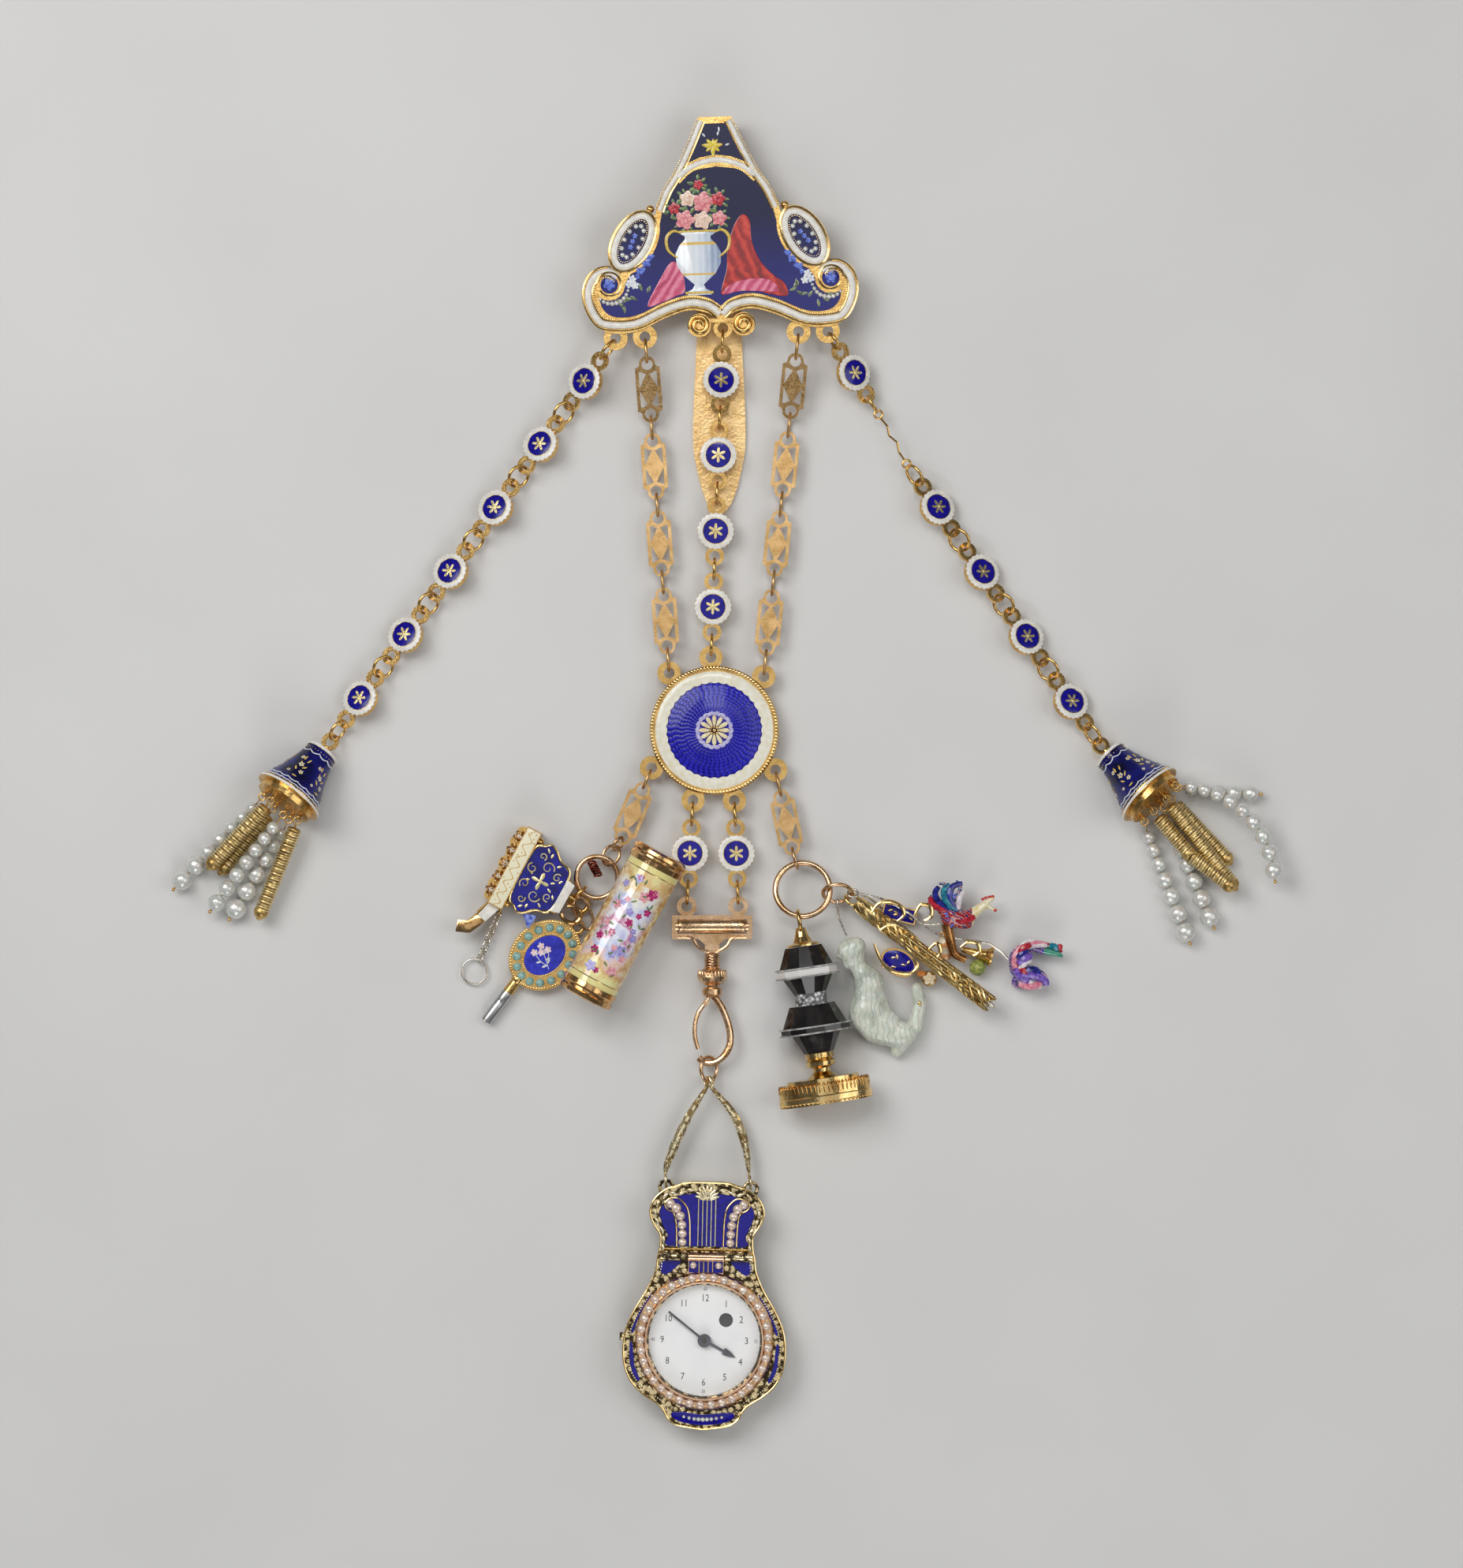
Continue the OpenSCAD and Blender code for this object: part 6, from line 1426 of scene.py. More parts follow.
class CHATELAINE_OT_jug_charm(bpy.types.Operator):
    """Dress the jug charm: gold arabesques on blue, a cream bar and a flowered strip"""
    bl_idname = "chatelaine.jug_charm"
    bl_label = "Jug charm"

    def execute(self, context):
        outline = smooth_line([(-1.3, 5.6), (0.6, 7.5), (1.8, 8.3), (3.4, 7.6), (5.2, 6), (8.3, 4.4),
                               (8.3, -4.4), (5.2, -6), (3.4, -7.6), (1.8, -8.3), (0.6, -7.5), (-1.3, -5.6)],
                              4, True)
        rim = wires([lifted(outline, JUG_TOP)], 0.3, closed=True, sides=2)
        keep(rim, "jug_gold_rim", grain_gold(), JUG)
        scrolls = []
        for side in (-1, 1):
            for x, y, size, turn in ((3.4, 3.4, 1.5, 0), (6.2, 2.4, 1.0, 60), (1.2, 5.2, 0.9, -40),
                                     (0.3, 1.9, 1.2, 120)):
                line = []
                for i in range(20):
                    t = i / 19
                    a = math.radians(turn + 400 * t)
                    reach = size * (1 - 0.75 * t)
                    line.append(Vector((x + reach * math.cos(a), side * (y + reach * math.sin(a)),
                                        JUG_TOP + 0.08)))
                scrolls.append(line)
        pale = finish("arabesque_gold", worn_gold, (0.95, 0.86, 0.5), (0.75, 0.6, 0.25), 0.3)
        keep(wires(scrolls, 0.17, sides=1, taper=lambda t: 1.2 - 0.7 * t), "jug_scrolls", pale, JUG)

        def points(angle):
            return 2.1 * (0.22 + 0.78 * abs(math.cos(angle * 2)) ** 3)

        middle = moved(turned([(points, 0), (points, 0.1), (0.2, 0.3)], 48), shift(3.2, 0, JUG_TOP))
        sprigs = scatter(leaf(1.2, 0.5, 0.1), [shift(x, y, JUG_TOP + 0.02) @ spin(turn) for x, y, turn in (
            (5.4, 0.6, 30), (5.4, -0.6, -30), (1, 0.6, 150), (1, -0.6, 210), (7, 1.4, 60), (7, -1.4, -60),
            (3, 5.6, 90), (3, -5.6, -90), (2.2, 6.4, 130), (2.2, -6.4, 230), (5, 4.4, 40), (5, -4.4, -40))])
        keep(join([middle, sprigs]), "jug_star", pale, JUG)
        self.bar()
        self.strip()
        return {"FINISHED"}

    def bar(self):
        r = Recipe("cream_arabesque")
        where = r.place(JUG)
        x, y = r.parts(where, "XY")
        vine = abs((y * 2.1).sine() * 0.75 - (x + 3.2)) < 0.16
        buds = r.cells(where, 0.9) < 0.22
        colour = r.mix(vine + buds, (0.86, 0.8, 0.58), (0.62, 0.42, 0.14))
        bar = plate([(-4.7, -9.3), (-1.6, -9.3), (-1.6, 9.3), (-4.7, 9.3)], 6.5, 6.68, 0.12)
        keep(bar, "jug_cream_bar", r.surface(colour, 0.25, 0.0, 0.3), JUG)
        neck = plate([(-1.9, -9.4), (-4.6, -9.4), (-5.6, -13.2), (-3.4, -13.6)], 4.7, 5.1, 0.15)
        end = plate([(8.3, -4.7), (10.2, -4.2), (10.4, 2.8), (8.4, 3.1)], 6.1, 6.35, 0.15)
        keep(join([neck, end]), "jug_cream_panels", ivory(), JUG)
        spout = plate([(-3.4, -13.5), (-5.7, -13.1), (-6.9, -15.2), (-8.9, -16), (-8.2, -18.6),
                       (-5.2, -17.4)], 4.2, 5.2, 0.3)
        curl = wires([[Vector((12.6 + 2.3 * math.cos(a), -3.2 + 1.9 * math.sin(a), 4.4))
                       for a in (math.radians(-150 + 15 * i) for i in range(20))]], 0.5, sides=2)
        keep(join([spout, curl]), "jug_gold_ends", finish("cap_gold"), JUG)
        tag = plate([(-43.6, -144.7), (-40.4, -145.4), (-42.4, -148.4)], 5.2, 5.5, 0.1)
        keep(tag, "jug_blue_tag", paint("tag_paint", (0.3, 0.4, 0.8), (0.02, 0.04, 0.4), 0.9))
        coil = [Vector((-28.3 + 0.26 * i / 6 + 0.9 * math.cos(i), -133.6 - 0.5 * i / 6 + 0.5 * math.sin(i),
                        4.6 + 0.9 * math.sin(i))) for i in range(36)]
        keep(wires([coil], 0.24, sides=1), "jug_red_coil",
             finish("red_metal", worn_gold, (0.4, 0.06, 0.03), (0.16, 0.02, 0.01), 0.3))
        link = [Vector((-30.2, -144.8, 3.2)) + spin(-68).to_3x3()
                @ Vector((3.9 * math.cos(a), 1.7 * math.sin(a), 0))
                for a in (math.radians(15 * i) for i in range(24))]
        keep(wires([link], 0.4, closed=True, sides=2), "key_link", rose_gold())

    def strip(self):
        seeds = scatter(ball(0.34, 8, 6), [JUG @ shift(-5.6, -8.1 + 0.9 * i, 5.6) for i in range(18)])
        keep(seeds, "jug_strip_seeds", grain_gold())
        flowers = scatter(floret(1.5, 6, 0.7), [JUG @ at @ shift(z=4.6) @ spin(20 * i)
                                                for i, at in enumerate(JUG_STRIP)])
        keep(flowers, "jug_strip_flowers",
             finish("copper_gold", worn_gold, (0.8, 0.5, 0.24), (0.45, 0.22, 0.08)))
        stones = scatter(turned([(0.5, 0), (0.62, 0.2), (0.38, 0.42)], 8),
                         [JUG @ at @ shift(z=5.1) for at in JUG_STRIP])
        r = Recipe("clear_stone")
        colour = r.limits(r.noise(r.place(), 0.3), 0.3, 0.7, 0.75, 0.95)
        keep(stones, "jug_strip_stones", r.surface(colour, 0.05, 0.0, 1.0), angle=10)


class CHATELAINE_OT_watch_key(bpy.types.Operator):
    """Set the key's oval with blue stones and paint its flower"""
    bl_idname = "chatelaine.watch_key"
    bl_label = "Watch key"

    def execute(self, context):
        count = beads().turquoises
        r = Recipe("turquoise")
        where = r.place()
        spots = r.noise(where, 0.5, 4)
        stone = r.surface(r.ramp(spots, (0.35, (0.16, 0.33, 0.3)), (0.6, (0.34, 0.55, 0.5))), 0.35, 0.0, 0.2)
        places = [KEY @ shift(p.x, p.y, 1.12) for p in ellipse(6.85, 5.55, count)]
        keep(scatter(ball(0.98, 12, 8, (1, 1, 0.7)), places), "key_turquoises", stone)
        for name, wide, tall, z, radius, gap in (("outer", 8.15, 6.85, 1.1, 0.26, 0.62),
                                                 ("inner", 5.35, 4.05, 1.22, 0.18, 0.45)):
            line = ellipse(wide, tall, 80)
            keep(grains([line + line[:1]], z, radius, gap), "key_" + name + "_grains", grain_gold(),
                 KEY)
        lift = 1.36
        petals = [KEY @ shift(x, y, lift) for x, y in ((-0.2, 1.0), (1.3, 0.5), (0.7, 2.1), (-1.4, 2.0))]
        keep(scatter(floret(0.85, 5), petals), "key_flowers",
             paint("blush_white", (0.88, 0.8, 0.8), (0.8, 0.5, 0.52)))
        stems = [lifted(smooth_line(points, 4), lift) for points in (
            [(-1.4, -2.9), (-0.6, -1.2), (0.2, 0.8), (0.7, 2.0)], [(-1.1, -2.2), (-1.6, -0.4), (-1.4, 1.8)],
            [(-0.6, -1.2), (0.6, -0.6), (1.3, 0.4)])]
        leaves = scatter(leaf(1.3, 0.5), [shift(x, y, lift) @ spin(turn) for x, y, turn in (
            (-0.9, -1.8, 20), (-1.1, -2, 160), (-1.5, -0.6, 150), (0.1, 0.2, 30), (-0.7, -1, -10))])
        keep(join([wires(stems, 0.1), leaves]), "key_stems", white_paint(), KEY)
        tip, neck = Vector((-51.8, -168.9, 1.6)), Vector((-44.8, -159.6, 1.7))
        way = tip - neck
        tube = turned([(1.22, 3.6), (1.28, 3.9), (1.28, 6), (1.22, 6.2), (1.28, 6.4), (1.28, 11),
                       (1.2, 11.64), (0.7, 11.66)], 24)
        r = Recipe("key_steel")
        where = r.place()
        steel = r.surface(r.mix(r.noise(where, 0.8), (0.42, 0.42, 0.43), (0.66, 0.66, 0.65)), 0.3, 1.0)
        keep(tube, "key_steel_tube", steel, seat(neck, way, (0, 0, 1)))
        return {"FINISHED"}


class CHATELAINE_OT_seal(bpy.types.Operator):
    """Cut the seal's smoky stone, its white band and its gadrooned foot"""
    bl_idname = "chatelaine.seal"
    bl_label = "Seal"

    def execute(self, context):
        r = Recipe("smoky_crystal")
        where = r.place(SEAL)
        [x] = r.parts(where, "X")
        veil = r.noise(where, 3, 4)
        colour = r.ramp(veil, (0.35, (0.006, 0.005, 0.005)), (0.6, (0.02, 0.016, 0.014)),
                        (0.8, (0.1, 0.08, 0.07)))
        white = abs(x - 10.3) < 1.0
        # Painted highlights: on the cut band, pale cells stand in for light caught by the facets.
        cut = abs(x - 16.3) < 1.35
        glint = r.ramp(r.cells(where, 0.9), (0.2, (0.75, 0.75, 0.74)), (0.6, (0.08, 0.08, 0.08)))
        smoky_tone_and_glints = r.mix(cut, colour, glint)
        stone = r.surface(r.mix(white, smoky_tone_and_glints, (0.72, 0.7, 0.67)), 0.08, 0.0, 0.35, Coat_Roughness=0.02)
        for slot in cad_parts["seal_stone"].material_slots:
            slot.material = stone
        round_foot = [math.radians(6 * i) for i in range(60)]
        rings = []
        for height, radius, wire in ((9.3, 6.95, 0.22), (11.2, 7.0, 0.22), (22.4, 8.0, 0.2),
                                     (23.8, 8.0, 0.2)):
            ring = hoop(radius, wire, 48, 8)
            shape_points(ring, lambda p: Vector((p.x * 0.75, p.y, p.z)))
            rings.append(moved(ring, spin(90, "Y") @ shift(z=height)))
        keep(join(rings), "seal_polished_edges",
             finish("seal_edge", enamel, (0.5, 0.49, 0.47), (0.2, 0.19, 0.18), 1.5), SEAL)
        ribs = [SEAL @ shift(36.1, 9.9 * math.cos(a), 5.75 * math.sin(a)) @ stretch(1.5, 0.34, 0.34)
                for a in round_foot]
        keep(scatter(ball(1, 8, 6), ribs), "seal_gadroons",
             finish("deep_gold", worn_gold, (0.75, 0.42, 0.12), (0.3, 0.14, 0.04), 0.2))
        band = turned([(6.1, 0), (6.35, 0.25), (6.35, 1.3), (6.1, 1.5)], 64, True)
        shape_points(band, lambda p: Vector((p.x, p.y * 1.64, p.z)))
        keep(band, "seal_foot_band", grain_gold(), SEAL @ spin(90, "Y") @ shift(z=37.6))
        rope = scatter(ball(0.4, 6, 4),
                       [SEAL @ shift(39.2, 10.0 * math.cos(a), 5.8 * math.sin(a)) for a in round_foot])
        keep(rope, "seal_foot_grains", finish("mount_gold"))
        return {"FINISHED"}


class CHATELAINE_OT_stone_figure(bpy.types.Operator):
    """Carve the pale stone figure"""
    bl_idname = "chatelaine.stone_figure"
    bl_label = "Stone figure"

    def execute(self, context):
        body = copy_of("stone_figure")
        extra = []
        for at, radius, squash in (((27.6, -153.4, 5.2), 1.2, (1, 0.8, 0.7)),
                                   ((26.5, -154.4, 4.2), 0.7, (1.2, 0.8, 1)),
                                   ((30.4, -152.2, 4.6), 2.2, (1, 1, 0.9)),
                                   ((28.6, -156.2, 4), 1.1, (1, 1, 1)),
                                   ((33.2, -160.4, 3.8), 3.4, (1, 1.1, 0.9)),
                                   ((32.9, -166.4, 3.7), 4.3, (1, 1.1, 0.82)),
                                   ((36.6, -169.6, 3.6), 3.6, (1.1, 1, 0.8)),
                                   ((40.8, -171.6, 3.4), 2.9, (1.1, 1, 0.8))):
            lump = ball(radius, 12, 8, squash)
            lump.location = at
            extra.append(lump)
        body = join([body] + extra)
        finish_with(body, "REMESH", mode="VOXEL", voxel_size=0.32)
        finish_with(body, "SMOOTH", factor=0.7, iterations=7)
        r = Recipe("pale_jade")
        where = r.place()
        cloud = r.noise(where, 3.5, 5)
        colour = r.ramp(cloud, (0.3, (0.46, 0.5, 0.42)), (0.5, (0.66, 0.7, 0.6)), (0.72, (0.78, 0.79, 0.7)))
        [x] = r.parts(where, "X")
        grooves = abs((x * 2.4 + r.noise(where, 2.5) * 8.0).sine())
        stone = r.surface(colour, 0.25, 0.0, 0.3, r.bump(r.limits(grooves, 0, 0.5), 0.12),
                          Subsurface_Weight=0.25, Subsurface_Scale=0.002)
        keep(body, "carved_figure", stone, replaces=["stone_figure"], angle=80)
        pins = scatter(turned([(0.45, 0), (0.45, 0.3), (0.2, 0.5)], 12),
                       [shift(36.3, -156.4, 5.0), shift(42.3, -171.6, 4.6), shift(44.4, -164.8, 4.2)])
        keep(pins, "figure_pins", gold())
        return {"FINISHED"}


class CHATELAINE_OT_birds(bpy.types.Operator):
    """Paint the two enamelled birds, with combs, feathers and curled plumes"""
    bl_idname = "chatelaine.birds"
    bl_label = "Enamelled birds"

    def execute(self, context):
        body = copy_of("roosters")
        finish_with(body, "REMESH", mode="VOXEL", voxel_size=0.25)
        finish_with(body, "SMOOTH", factor=0.6, iterations=4)
        r = Recipe("bird_enamel")
        where = r.place()
        x, y = r.parts(where, "XY")
        warp = r.noise(where, 1.0, 3)
        stripe = (x * 3.0 + y * 4.6 + warp * 7.0).sine() * 0.5 + 0.5
        body_tones = r.ramp(stripe, (0.1, (0.34, 0.01, 0.015)), (0.55, (0.6, 0.03, 0.03)),
                            (0.68, (0.78, 0.6, 0.5)), (0.8, (0.3, 0.01, 0.05)), (0.95, (0.03, 0.01, 0.12)))
        tail = r.ramp(stripe, (0.1, (0.004, 0.012, 0.12)), (0.4, (0.01, 0.16, 0.26)),
                      (0.55, (0.02, 0.03, 0.24)), (0.7, (0.6, 0.64, 0.72)), (0.82, (0.32, 0.02, 0.08)))
        second = r.ramp(stripe, (0.1, (0.05, 0.03, 0.3)), (0.4, (0.12, 0.08, 0.5)), (0.55, (0.76, 0.66, 0.7)),
                        (0.7, (0.62, 0.1, 0.16)), (0.88, (0.03, 0.04, 0.26)))
        neck = r.ramp(warp, (0.35, (0.82, 0.68, 0.3)), (0.6, (0.86, 0.8, 0.6)))
        colour = r.mix((y > -144.6) * (x < 54), body_tones, tail)
        colour = r.mix((x > 56) * (x < 63), colour, neck)
        colour = r.mix(x > 63, colour, second)
        colour = r.mix((x > 72) * (y > -154.6), colour, (0.05, 0.3, 0.2))
        keep(body, "painted_birds", r.surface(colour, 0.15, 0.0, 0.7),
             replaces=["roosters"], angle=70)
        combs = scatter(ball(0.42, 8, 6, (1, 0.8, 0.8)), [shift(*at) for at in (
            (58.4, -141.7, 4.6), (59.1, -141.4, 4.6), (59.9, -141.2, 4.6), (60.6, -141.1, 4.6),
            (72, -151.6, 3.4), (72.9, -151.7, 3.4), (73.8, -152, 3.4), (61.2, -144.2, 4.6),
            (75.8, -153.3, 3.6))])
        keep(combs, "bird_combs", paint("comb_red", (0.72, 0.05, 0.04), (0.4, 0.02, 0.02)))
        feathers = []
        spread = random.Random(3)
        for cx, cy, cz, count in ((52.6, -145.8, 6.7, 9), (66.8, -155.6, 5.5, 8), (51, -141.6, 5.9, 6),
                                  (70, -158.2, 4.5, 6)):
            for _ in range(count):
                feathers.append(shift(cx + spread.uniform(-1.6, 1.6), cy + spread.uniform(-1.3, 1.3),
                                      cz - 0.1)
                                @ spin(200 + spread.uniform(-40, 40)))
        keep(scatter(leaf(1.4, 0.5, 0.16), feathers), "bird_feathers", sky_paint())
        self.plumes()
        return {"FINISHED"}

    def plumes(self):
        sets = {
            "navy": ((0.03, 0.04, 0.36), (0.004, 0.006, 0.08), 0.6, [
                [(52.6, -144.4, 5.6), (51, -141.5, 6), (51.6, -139, 5.6), (53.8, -138.2, 5)],
                [(52, -144.6, 5.8), (48.8, -142.4, 5.8), (47.8, -140.4, 5.4), (48.6, -139, 5)],
                [(66, -154.8, 5.6), (67.2, -153.6, 5.8), (68.4, -152.9, 5.6)],
                [(67.8, -157.8, 5.4), (69.6, -157.2, 5.4), (71, -158, 5)]]),
            "teal": ((0.02, 0.32, 0.4), (0.005, 0.08, 0.16), 0.6, [
                [(52.4, -144.6, 6), (50.2, -142, 6.2), (49.8, -139.8, 5.8), (51, -138.4, 5.4)],
                [(73.2, -151.9, 4.4), (74.4, -152.3, 4.4), (75.2, -153, 4.2)]]),
            "crimson": ((0.6, 0.03, 0.05), (0.26, 0.01, 0.02), 0.65, [
                [(52, -145, 5.6), (49, -143.8, 5.6), (47.2, -142.8, 5.2), (46.8, -141.2, 5)],
                [(51.4, -145.6, 6), (54, -146.6, 6.2), (56.6, -145.6, 6)],
                [(66.4, -156, 5.4), (67.4, -157.6, 5.4), (68.6, -158, 5)],
                [(66.4, -153.6, 5.6), (67.6, -152.4, 5.8), (69, -151.8, 5.6)],
                [(75, -152.3, 4.4), (76, -152.5, 4.2)]]),
            "snow": ((0.84, 0.8, 0.8), (0.6, 0.5, 0.56), 0.5, [
                [(53, -144, 5.8), (53.2, -141.6, 6), (54.2, -140, 5.4)],
                [(67, -159, 5), (69.6, -160.6, 4.6), (71.4, -161.2, 4.2)],
                [(66.6, -155, 5.4), (67, -153, 5.4), (69.6, -152, 5.2), (72.6, -152, 4.8)],
                [(66.6, -152.4, 5), (68.2, -151.2, 5), (70, -150.9, 4.8)],
                [(66.4, -157, 5.6), (67.8, -156, 6), (69, -155.2, 5.6)]]),
            "rose": ((0.84, 0.4, 0.46), (0.6, 0.12, 0.2), 0.75, [
                [(66, -158, 4.8), (65.5, -155.2, 5), (66.8, -152.7, 5), (70, -151.7, 4.8),
                 (72.6, -151.9, 4.4)],
                [(66.4, -160.4, 4.6), (68.6, -161, 4.6), (71.4, -160.6, 4.4)]]),
            "violet": ((0.28, 0.16, 0.62), (0.08, 0.03, 0.3), 0.75, [
                [(66.6, -158.4, 5), (69.4, -158.6, 5), (72, -159.6, 4.4), (72.6, -160.8, 4)],
                [(66.2, -156, 5.6), (67.8, -154.8, 6), (69.2, -154.2, 5.6)],
                [(65.6, -157, 5), (66.8, -159, 5), (68.6, -160, 4.8)]]),
        }
        for name, (light, dark, radius, lines) in sets.items():
            curls = wires([smooth_line(line, 5) for line in lines], radius, sides=2,
                          taper=lambda t: 0.55 + 0.7 * math.sin(math.pi * (0.15 + 0.7 * t)))
            keep(curls, "bird_" + name + "_plumes",
                 paint(name + "_plume", light, dark, 0.8))


class CHATELAINE_OT_small_charms(bpy.types.Operator):
    """Dress the small charms: enamelled plaques, bead, column, horn, leaf ball and twisted wires"""
    bl_idname = "chatelaine.small_charms"
    bl_label = "Small charms"

    def execute(self, context):
        panel = plate([(-3.5, -1.4), (3.5, -1.4), (3.5, 1.4), (-3.5, 1.4)], 2.4, 2.55, 0.1)
        oval = plate([tuple(p) for p in ellipse(3.7, 2.4, 32)], 3.1, 3.25, 0.15)
        panel_at, oval_at = shift(40, -145) @ spin(-14), shift(39.8, -155.8) @ spin(-28)
        keep(join([moved(panel, panel_at), moved(oval, oval_at)]), "charm_blue_panels",
             royal())
        sprig = [panel_at @ shift(x, y, 2.58) @ spin(turn) for x, y, turn in (
            (-2.6, 0, 30), (-1.4, 0.3, -20), (-0.2, -0.2, 200), (1, 0.2, 40), (2.2, -0.2, -30))]
        sprig += [oval_at @ shift(x, y, 3.28) @ spin(turn) for x, y, turn in (
            (-2, 0, 40), (-0.6, 0.4, 120), (0.6, -0.2, 20), (1.8, 0.4, 80), (0, -1.2, 200))]
        keep(scatter(leaf(1.2, 0.5, 0.1), sprig), "charm_gold_sprigs", grain_gold())
        rose = scatter(floret(1.5, 5, 0.5), [
            shift(46.6, -159.4, z) @ spin(turn) @ stretch(wide, wide, tall)
            for z, turn, wide, tall in ((3.1, 20, 1, 1), (3.5, 55, 0.65, 0.8), (3.8, 0, 0.35, 0.6))])
        keep(rose, "charm_cream_rose",
             paint("cream_paint", (0.86, 0.76, 0.56), (0.7, 0.52, 0.3)))
        bud = ball(0.95, 10, 8, (1.2, 0.8, 0.8))
        bud.location = (44.9, -158.3, 2.6)
        keep(bud, "charm_orange_bud",
             paint("orange_paint", (0.8, 0.3, 0.06), (0.5, 0.14, 0.02)))
        top, foot = Vector((50.5, -149, 1.6)), Vector((49.9, -155, 1.6))
        column = turned([(1.52, 0.05), (1.62, 0.4), (1.52, 0.8), (1.55, 2.6), (1.66, 3), (1.55, 3.4),
                         (1.52, 5.6), (1.5, 6)],
                        24)
        r = Recipe("column_enamel")
        where = r.place()
        [y] = r.parts(where, "Y")
        ring = (y * 2.6 + r.noise(where, 1.0) * 2.0).sine() > 0.3
        banded = r.surface(r.mix(ring, (0.86, 0.76, 0.55), (0.75, 0.34, 0.12)), 0.2, 0.0, 0.4)
        keep(column, "charm_column", banded, seat(top, foot - top, (0, 0, 1)))
        bauble = ball(1.25, 12, 8, (1, 1, 0.95))
        shape_points(bauble, lambda p: p * (1 + 0.06 * math.cos(math.atan2(p.y, p.x) * 6)))
        bauble.location = (50.7, -147.6, 1.7)
        leafball = ball(1.9, 16, 10)
        shape_points(leafball, lambda p: p * (1 + 0.07 * math.sin(p.x * 5) * math.cos(p.y * 5)))
        leafball.location = (57.4, -157, 2.0)
        keep(join([bauble, leafball]), "charm_green_balls",
             paint("leaf_green", (0.5, 0.5, 0.12), (0.12, 0.2, 0.05), 0.6))
        self.scrolls()
        self.bundle()
        return {"FINISHED"}

    def scrolls(self):
        lines = [[(34.3, -151.5), (35.8, -155.1), (38.3, -157.6), (42.4, -158.1), (43.9, -156.4),
                  (43, -154.8)],
                 [(33.8, -144.6), (35.2, -142.8), (37.6, -142.2), (40.2, -143.3), (40.9, -145.2),
                  (39.4, -146.6)],
                 [(43.2, -145.4), (44.6, -143), (46.8, -143.4), (46.9, -145.6), (45.4, -146.4)],
                 [(35.6, -148.6), (38.4, -147.2), (41.2, -148.4), (44.2, -150.8)],
                 [(53.4, -152.4), (55.2, -151.2), (57.2, -151.6), (57.6, -153.4), (56.2, -154.2)],
                 [(46.4, -152.8), (48.2, -151.4), (49, -153.4), (48, -155)]]
        keep(wires([lifted(smooth_line([(x, y, 0) for x, y in line], 5), 5.6) for line in lines], 0.42,
                   sides=2, taper=lambda t: 0.6 + 0.6 * math.sin(math.pi * t)), "charm_gold_scrolls",
             grain_gold())
        trunk = smooth_line([(50.4, -147.2, 4.4), (51.2, -150.6, 4.2), (52.2, -153.8, 3.6),
                             (54.6, -155.2, 3.2)], 5)
        keep(wires([trunk], 1.15, sides=3, taper=lambda t: 1.1 - 0.4 * t), "charm_gold_trunk",
             finish("brown_gold", worn_gold, (0.6, 0.3, 0.1), (0.22, 0.09, 0.03), 0.25))

    def bundle(self):
        start, end = Vector((30.6, -142.6, 3.5)), Vector((60.6, -165.4, 6.2))
        lines = []
        for k in range(7):
            line = []
            for i in range(61):
                t = i / 60
                a = math.radians(360 * k / 7 + 900 * t)
                reach = 1.45 + 0.25 * math.sin(9 * t)
                line.append(Vector((reach * math.cos(a), reach * math.sin(a), 36.6 * t + (k % 3) * 0.4)))
            lines.append(line)
        axis = seat(start, end - start, (0, 0, 1))
        keep(wires(lines, 0.3, sides=1), "bundle_twisted_wires", finish("coil_gold"), axis)
        tip = turned([(0.5, 35.6), (0.62, 36.4), (0.5, 37.6), (0.15, 38.2)], 10)
        keep(tip, "bundle_silver_tip", finish("silver_wire"), axis)


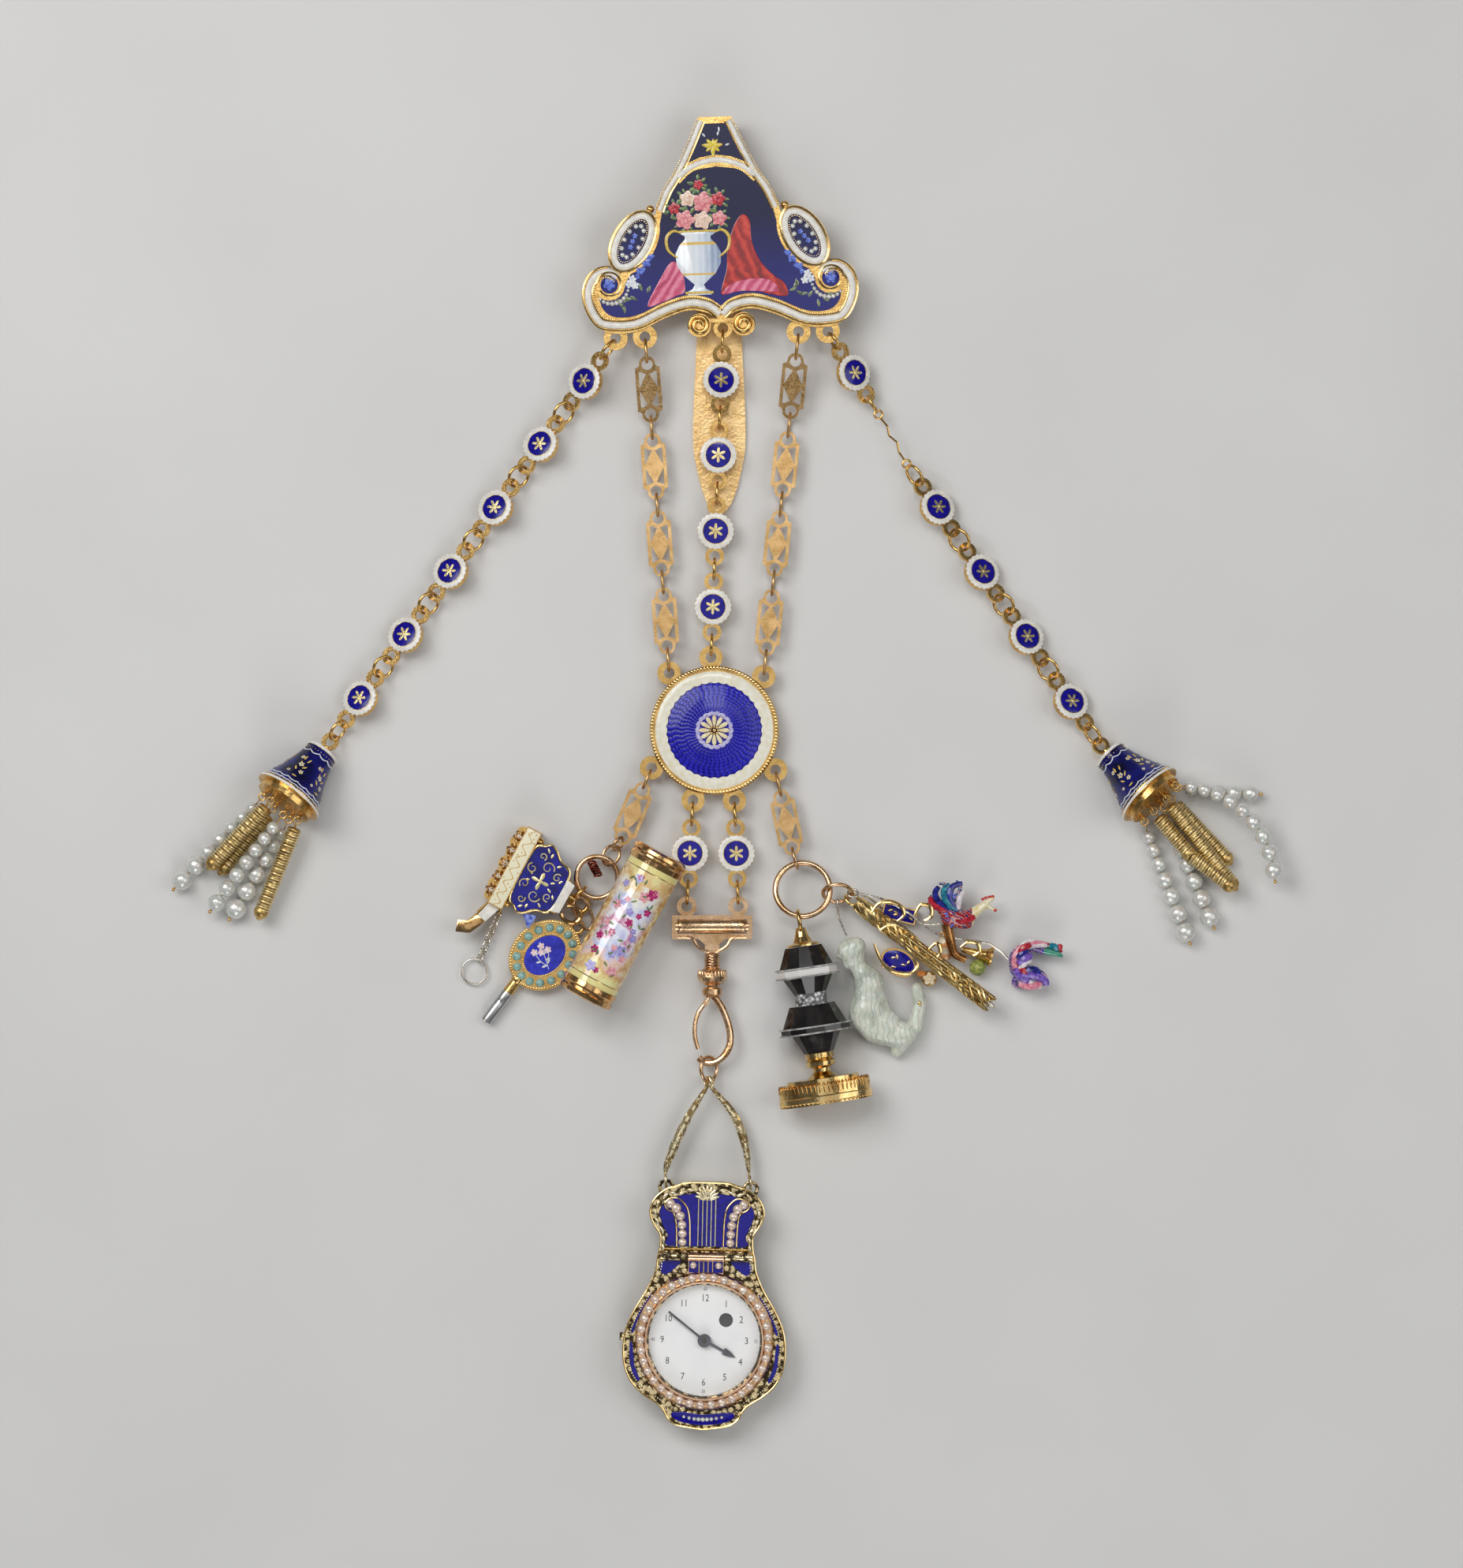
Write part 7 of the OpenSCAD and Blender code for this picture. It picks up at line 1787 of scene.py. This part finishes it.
class CHATELAINE_OT_stage(bpy.types.Operator):
    """Lay the pale table, the soft lights and the camera straight above"""
    bl_idname = "chatelaine.stage"
    bl_label = "Table, lights and camera"

    def execute(self, context):
        sizes = context.scene.chatelaine_stage
        free()
        middle = Vector((0, -0.12, 0))
        bpy.ops.mesh.primitive_plane_add(size=6, location=(0, middle.y, -0.0001))
        table = context.object
        table.name = "table"
        r = Recipe("pale_table")
        tone = r.limits(r.noise(r.place(), 60, 2), 0.3, 0.7, 0.0, 1.0)
        table.data.materials.append(r.surface(r.mix(tone, (0.66, 0.65, 0.63), (0.69, 0.68, 0.66)), 0.6))
        for name, at, size, power in (("key_light", (-0.45, 0.25, 0.75), 0.5, sizes.light_power),
                                      ("fill_light", (0.6, -0.1, 0.7), 0.6, sizes.light_power * 0.45),
                                      ("low_light", (0.0, -0.85, 0.45), 0.4, sizes.light_power * 0.35),
                                      ("top_strip", (0.0, 0.3, 0.95), 0.25, sizes.light_power * 0.3),
                                      ("wide_panel", (0.05, -0.1, 2.6), 1.1, sizes.light_power * 0.55)):
            lamp = bpy.data.lights.new(name, "AREA")
            lamp.energy = power
            lamp.size = size
            holder = bpy.data.objects.new(name, lamp)
            holder.location = at
            holder.rotation_euler = (middle - Vector(at)).to_track_quat("-Z", "Y").to_euler()
            context.collection.objects.link(holder)
        world = bpy.data.worlds.new("soft_room")
        world.use_nodes = True
        sky = world.node_tree.nodes["Background"].inputs
        sky["Color"].default_value = (0.9, 0.93, 1.0, 1)
        sky["Strength"].default_value = 0.12
        context.scene.world = world
        lens = bpy.data.cameras.new("camera")
        lens.sensor_fit = "VERTICAL"
        lens.sensor_height = 36
        lens.clip_end = 10
        true_level = 0.003
        lens.lens = lens.sensor_height * (sizes.camera_height - true_level) / (PHOTO_TALL * PIXEL * MM)
        camera = bpy.data.objects.new("camera", lens)
        camera.location = ((PHOTO_WIDE / 2 - ORIGIN_X) * PIXEL * MM,
                           (ORIGIN_Y - PHOTO_TALL / 2) * PIXEL * MM, sizes.camera_height)
        context.collection.objects.link(camera)
        context.scene.camera = camera
        context.scene.view_settings.view_transform = "Standard"
        return {"FINISHED"}


class CHATELAINE_PT_panel(bpy.types.Panel):
    """Lists the sizes, the colours and the steps"""
    bl_idname = "CHATELAINE_PT_panel"
    bl_label = "Chatelaine"
    bl_space_type = "VIEW_3D"
    bl_region_type = "UI"
    bl_category = "Chatelaine"

    def draw(self, context):
        for group in ("golds", "enamels", "beads", "stage"):
            box = self.layout.box()
            values = getattr(context.scene, "chatelaine_" + group)
            for name in values.__annotations__:
                box.prop(values, name)
        for step in STEPS:
            self.layout.operator(step.bl_idname)


STEPS = (CHATELAINE_OT_metals, CHATELAINE_OT_plaque_borders, CHATELAINE_OT_plaque_painting,
         CHATELAINE_OT_medallions, CHATELAINE_OT_round_plate, CHATELAINE_OT_tassel_bells,
         CHATELAINE_OT_tassel_coils, CHATELAINE_OT_clip, CHATELAINE_OT_watch,
         CHATELAINE_OT_painted_case, CHATELAINE_OT_jug_charm, CHATELAINE_OT_watch_key,
         CHATELAINE_OT_seal, CHATELAINE_OT_stone_figure, CHATELAINE_OT_birds,
         CHATELAINE_OT_small_charms, CHATELAINE_OT_stage)
GROUPS = {"golds": GoldColours, "enamels": EnamelColours, "beads": BeadSizes, "stage": StageSizes}


def register():
    for group in GROUPS.values():
        bpy.utils.register_class(group)
    for name, group in GROUPS.items():
        setattr(bpy.types.Scene, "chatelaine_" + name, bpy.props.PointerProperty(type=group))
    for step in STEPS:
        bpy.utils.register_class(step)
    bpy.utils.register_class(CHATELAINE_PT_panel)


def unregister():
    bpy.utils.unregister_class(CHATELAINE_PT_panel)
    for step in reversed(STEPS):
        bpy.utils.unregister_class(step)
    for name in GROUPS:
        delattr(bpy.types.Scene, "chatelaine_" + name)
    for group in reversed(list(GROUPS.values())):
        bpy.utils.unregister_class(group)


def main():
    register()
    for step in STEPS:
        family, name = step.bl_idname.split(".")
        getattr(getattr(bpy.ops, family), name)()


if __name__ == "__main__":
    main()
